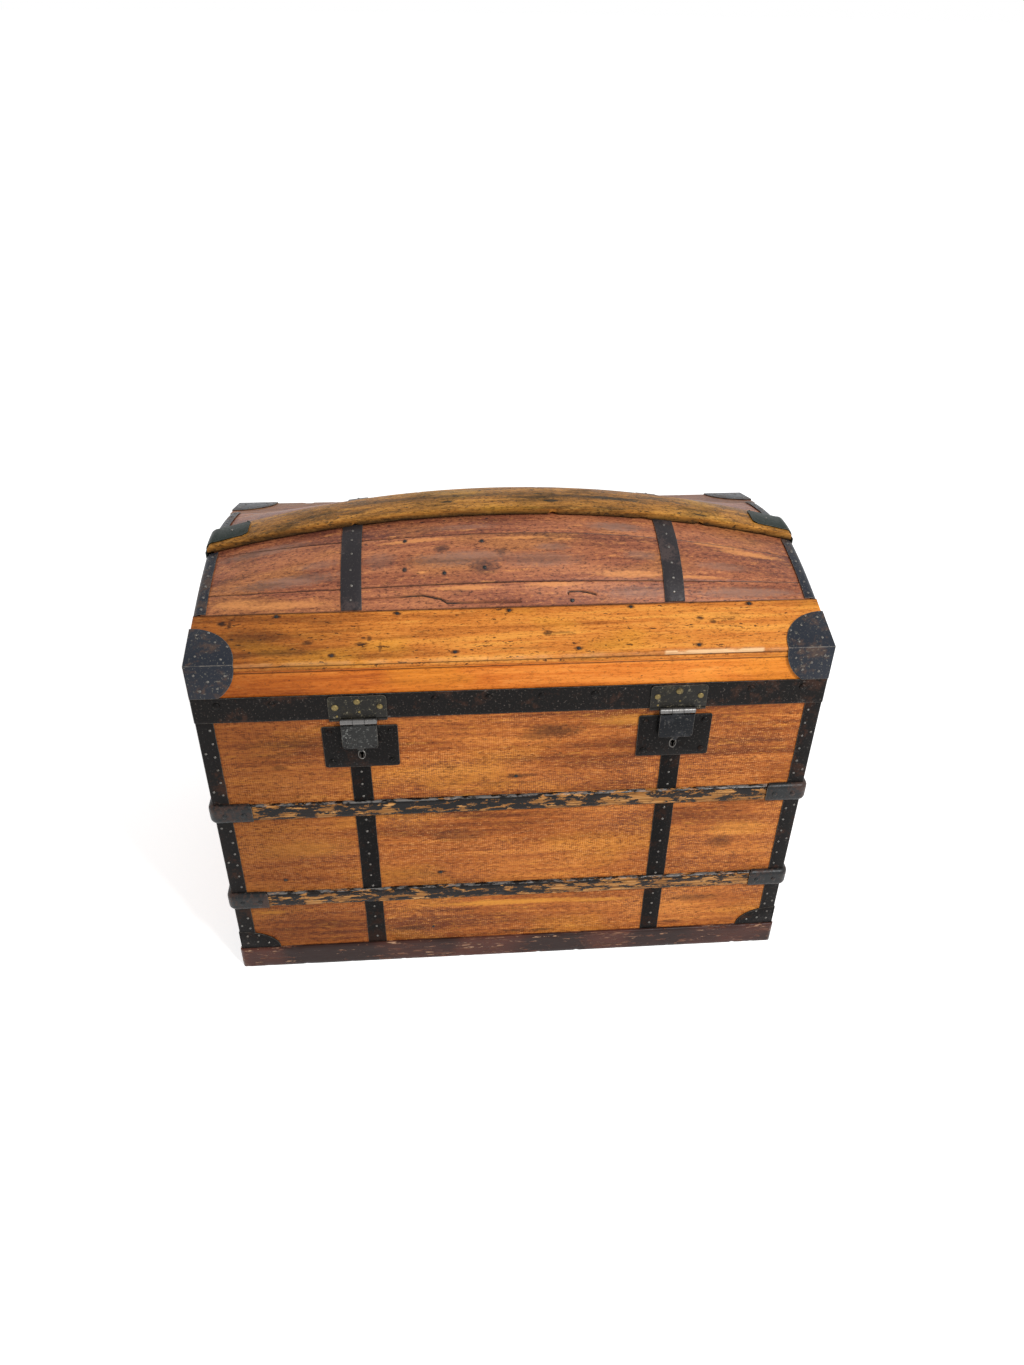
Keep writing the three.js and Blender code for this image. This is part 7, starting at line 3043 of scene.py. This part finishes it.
    def build(self) -> None:
        """Makes both hasps and their rivets."""
        t = TRUNK
        heads, small = [], []
        bodies = {End.LEFT: Body.HASP_LEFT, End.RIGHT: Body.HASP_RIGHT}
        face = -(t.rim_face + t.gap + self.iron)
        for end in End:
            centre = middle_of(f"lock_{end.label}")
            self.plate_piece(centre, end)
            self.flap_piece(centre, end, bodies[end])
            high = self.axis[1] + self.plate[1]
            for share in (-1, 0, 1):
                x = centre + share * (self.plate[0] / 2 - self.clip)
                heads.append(Head((x, face, high - self.clip - 8 * abs(share)), (0, -1, 0)))
            small.append(Head((centre + 2, face, high - 25), (0, -1, 0)))
            small.append(Head((centre - 27, face, high - 31), (0, -1, 0)))
        self.shop.drive("hasp_rivets", heads, self.rivet, self.shop.finishes.brass, Body.LID, Slot.LOCK)
        self.shop.drive("hasp_tacks", small, self.tack, self.shop.finishes.brass, Body.LID, Slot.LOCK)


@dataclass
class StrayNails:
    """Nails that were driven into the boards, each in its own dark spot."""

    shop: Shop
    panel_nail: HeadSize = HeadSize(2.6, 0.9)
    lid_nail: HeadSize = HeadSize(2.7, 0.9)
    front: tuple[Pair, ...] = ((3, 360), (-105, 182), (-330, 180), (-120, 66))
    stave: tuple[Pair, ...] = ((-33, 116), (-137, 74), (-35, 82), (-138, 114), (-86, 120), (81, 148))
    sunk_board: float = 0.2
    sunk_stave: float = 0.3

    def build(self) -> None:
        """Sets them."""
        t = TRUNK
        boxes = [Head((x, -t.half_depth + 0.15, z), (0, -1, 0)) for x, z in self.front]
        dark = self.shop.finishes.clamp
        self.shop.drive("panel_nails", boxes, self.panel_nail, dark, Body.BOX, Slot.BRIGHT)
        heads = []
        for face in Face:
            up = Vector((0, face.value * t.shoulder_slope, 1)).normalized()
            for across, line in SHOULDER_NAILS:
                z = t.shoulder_top(across) - self.sunk_board
                heads += [Head((x, face.value * across, z), tuple(up)) for x in line]
        for x, across in self.stave:
            z = t.dome_top(x, across) - self.sunk_stave
            heads.append(Head((x, -across, z), t.dome_out(x, across, Face.FRONT.value)))
        self.shop.drive("lid_nails", heads, self.lid_nail, dark, Body.LID, Slot.BRIGHT)


# Studio


@dataclass
class Studio:
    """The pale floor, the light and the camera."""

    camera_at: Point = (-0.0894, -1.2811, 1.2501)
    pitch: float = 34.917
    yaw: float = 4.647
    roll: float = -0.778
    lens: float = 26.374
    sky: float = 0.55
    key_power: float = 78
    key_at: Point = (1.5, -2.1, 2.7)
    key_size: float = 0.6
    floor_radius: float = 60

    def camera(self) -> None:
        """Makes the camera at the photograph's angle."""
        data = bpy.data.cameras.new("camera")
        data.lens = self.lens
        data.sensor_width = 36
        made = bpy.data.objects.new("camera", data)
        bpy.context.scene.collection.objects.link(made)
        pitch, yaw, roll = (math.radians(part) for part in (self.pitch, self.yaw, self.roll))
        ahead = Vector((math.sin(yaw) * math.cos(pitch), math.cos(yaw) * math.cos(pitch), -math.sin(pitch)))
        right = Vector((math.cos(yaw), -math.sin(yaw), 0))
        down = ahead.cross(right)
        side = right * math.cos(roll) + down * math.sin(roll)
        below = -right * math.sin(roll) + down * math.cos(roll)
        turn = Matrix((side, -below, -ahead)).transposed()
        made.matrix_world = Matrix.Translation(self.camera_at) @ turn.to_4x4()
        bpy.context.scene.camera = made

    @staticmethod
    def seen(tree: bpy.types.NodeTree) -> Socket:
        """1 for rays from the camera and for those of reflections and glass, and 0 for others."""
        rays = tree.nodes.new("ShaderNodeLightPath")
        seen = rays.outputs["Is Camera Ray"]
        for name in ("Is Glossy Ray", "Is Transmission Ray"):
            most = tree.nodes.new("ShaderNodeMath")
            most.operation = "MAXIMUM"
            tree.links.new(seen, most.inputs[0])
            tree.links.new(rays.outputs[name], most.inputs[1])
            seen = most.outputs[0]
        return seen

    def world(self) -> None:
        """Makes a plain sky that is white to the camera and in reflections."""
        world = bpy.data.worlds.new("plain_sky")
        world.use_nodes = True
        tree = world.node_tree
        tree.nodes.clear()
        seen = self.seen(tree)
        strength = tree.nodes.new("ShaderNodeMapRange")
        strength.inputs["To Min"].default_value = self.sky
        strength.inputs["To Max"].default_value = 1.0
        tree.links.new(seen, strength.inputs["Value"])
        back = tree.nodes.new("ShaderNodeBackground")
        back.inputs["Color"].default_value = (1, 1, 1, 1)
        tree.links.new(strength.outputs[0], back.inputs["Strength"])
        output = tree.nodes.new("ShaderNodeOutputWorld")
        tree.links.new(back.outputs[0], output.inputs["Surface"])
        bpy.context.scene.world = world

    def lights(self) -> None:
        """Makes one large lamp up and to the right."""
        data = bpy.data.lights.new("key", "AREA")
        data.energy = self.key_power
        data.size = self.key_size
        made = bpy.data.objects.new("key", data)
        bpy.context.scene.collection.objects.link(made)
        aim = Vector(TRUNK_HEART) - Vector(self.key_at)
        turn = aim.to_track_quat("-Z", "Y").to_matrix()
        made.matrix_world = Matrix.Translation(self.key_at) @ turn.to_4x4()

    def floor(self) -> None:
        """Makes the pale floor, which keeps the trunk's shadow."""
        mesh = bmesh.new()
        bmesh.ops.create_circle(mesh, cap_ends=True, radius=self.floor_radius, segments=96)
        data = bpy.data.meshes.new("floor")
        mesh.to_mesh(data)
        mesh.free()
        made = bpy.data.objects.new("floor", data)
        bpy.context.scene.collection.objects.link(made)
        material = bpy.data.materials.new("pale_floor")
        material.use_nodes = True
        tree = material.node_tree
        shader = tree.nodes["Principled BSDF"]
        shader.inputs["Base Color"].default_value = (0.86, 0.86, 0.86, 1)
        shader.inputs["Roughness"].default_value = 0.9
        shader.inputs["Specular IOR Level"].default_value = 0.1
        shader.inputs["Emission Color"].default_value = (1, 1, 1, 1)
        seen = self.seen(tree)
        lift = tree.nodes.new("ShaderNodeMath")
        lift.operation = "MULTIPLY"
        lift.inputs[1].default_value = 0.6
        tree.links.new(seen, lift.inputs[0])
        tree.links.new(lift.outputs[0], shader.inputs["Emission Strength"])
        data.materials.append(material)

    def build(self) -> None:
        """Makes the whole studio."""
        self.camera()
        self.world()
        self.lights()
        self.floor()
        bpy.context.scene.view_settings.view_transform = "Standard"


def main() -> None:
    """Builds the studio and the trunk."""
    logging.basicConfig(level=logging.INFO, format="%(message)s")
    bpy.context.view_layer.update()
    Studio().build()
    shop = Shop(Finishes(), HeadTool(), RodTool())
    slats = Slats(shop)
    hinges = Hinges(shop)
    assemblies = (
        Carcass(shop), FootRail(shop), slats, CornerIrons(shop, slats), FrontStraps(shop), Locks(shop),
        Handles(shop), hinges, LidBoards(shop), Staves(shop), ShoulderBoards(shop), Ridge(shop),
        LidStraps(shop), LidCaps(shop), Rim(shop, hinges), Hasps(shop), StrayNails(shop),
    )
    for assembly in assemblies:
        log.info("building %s", type(assembly).__name__)
        assembly.build()
    for end in End:
        dress(f"lock_bolt_{end.label}", shop.finishes.bolt)


if __name__ == "__main__":
    main()
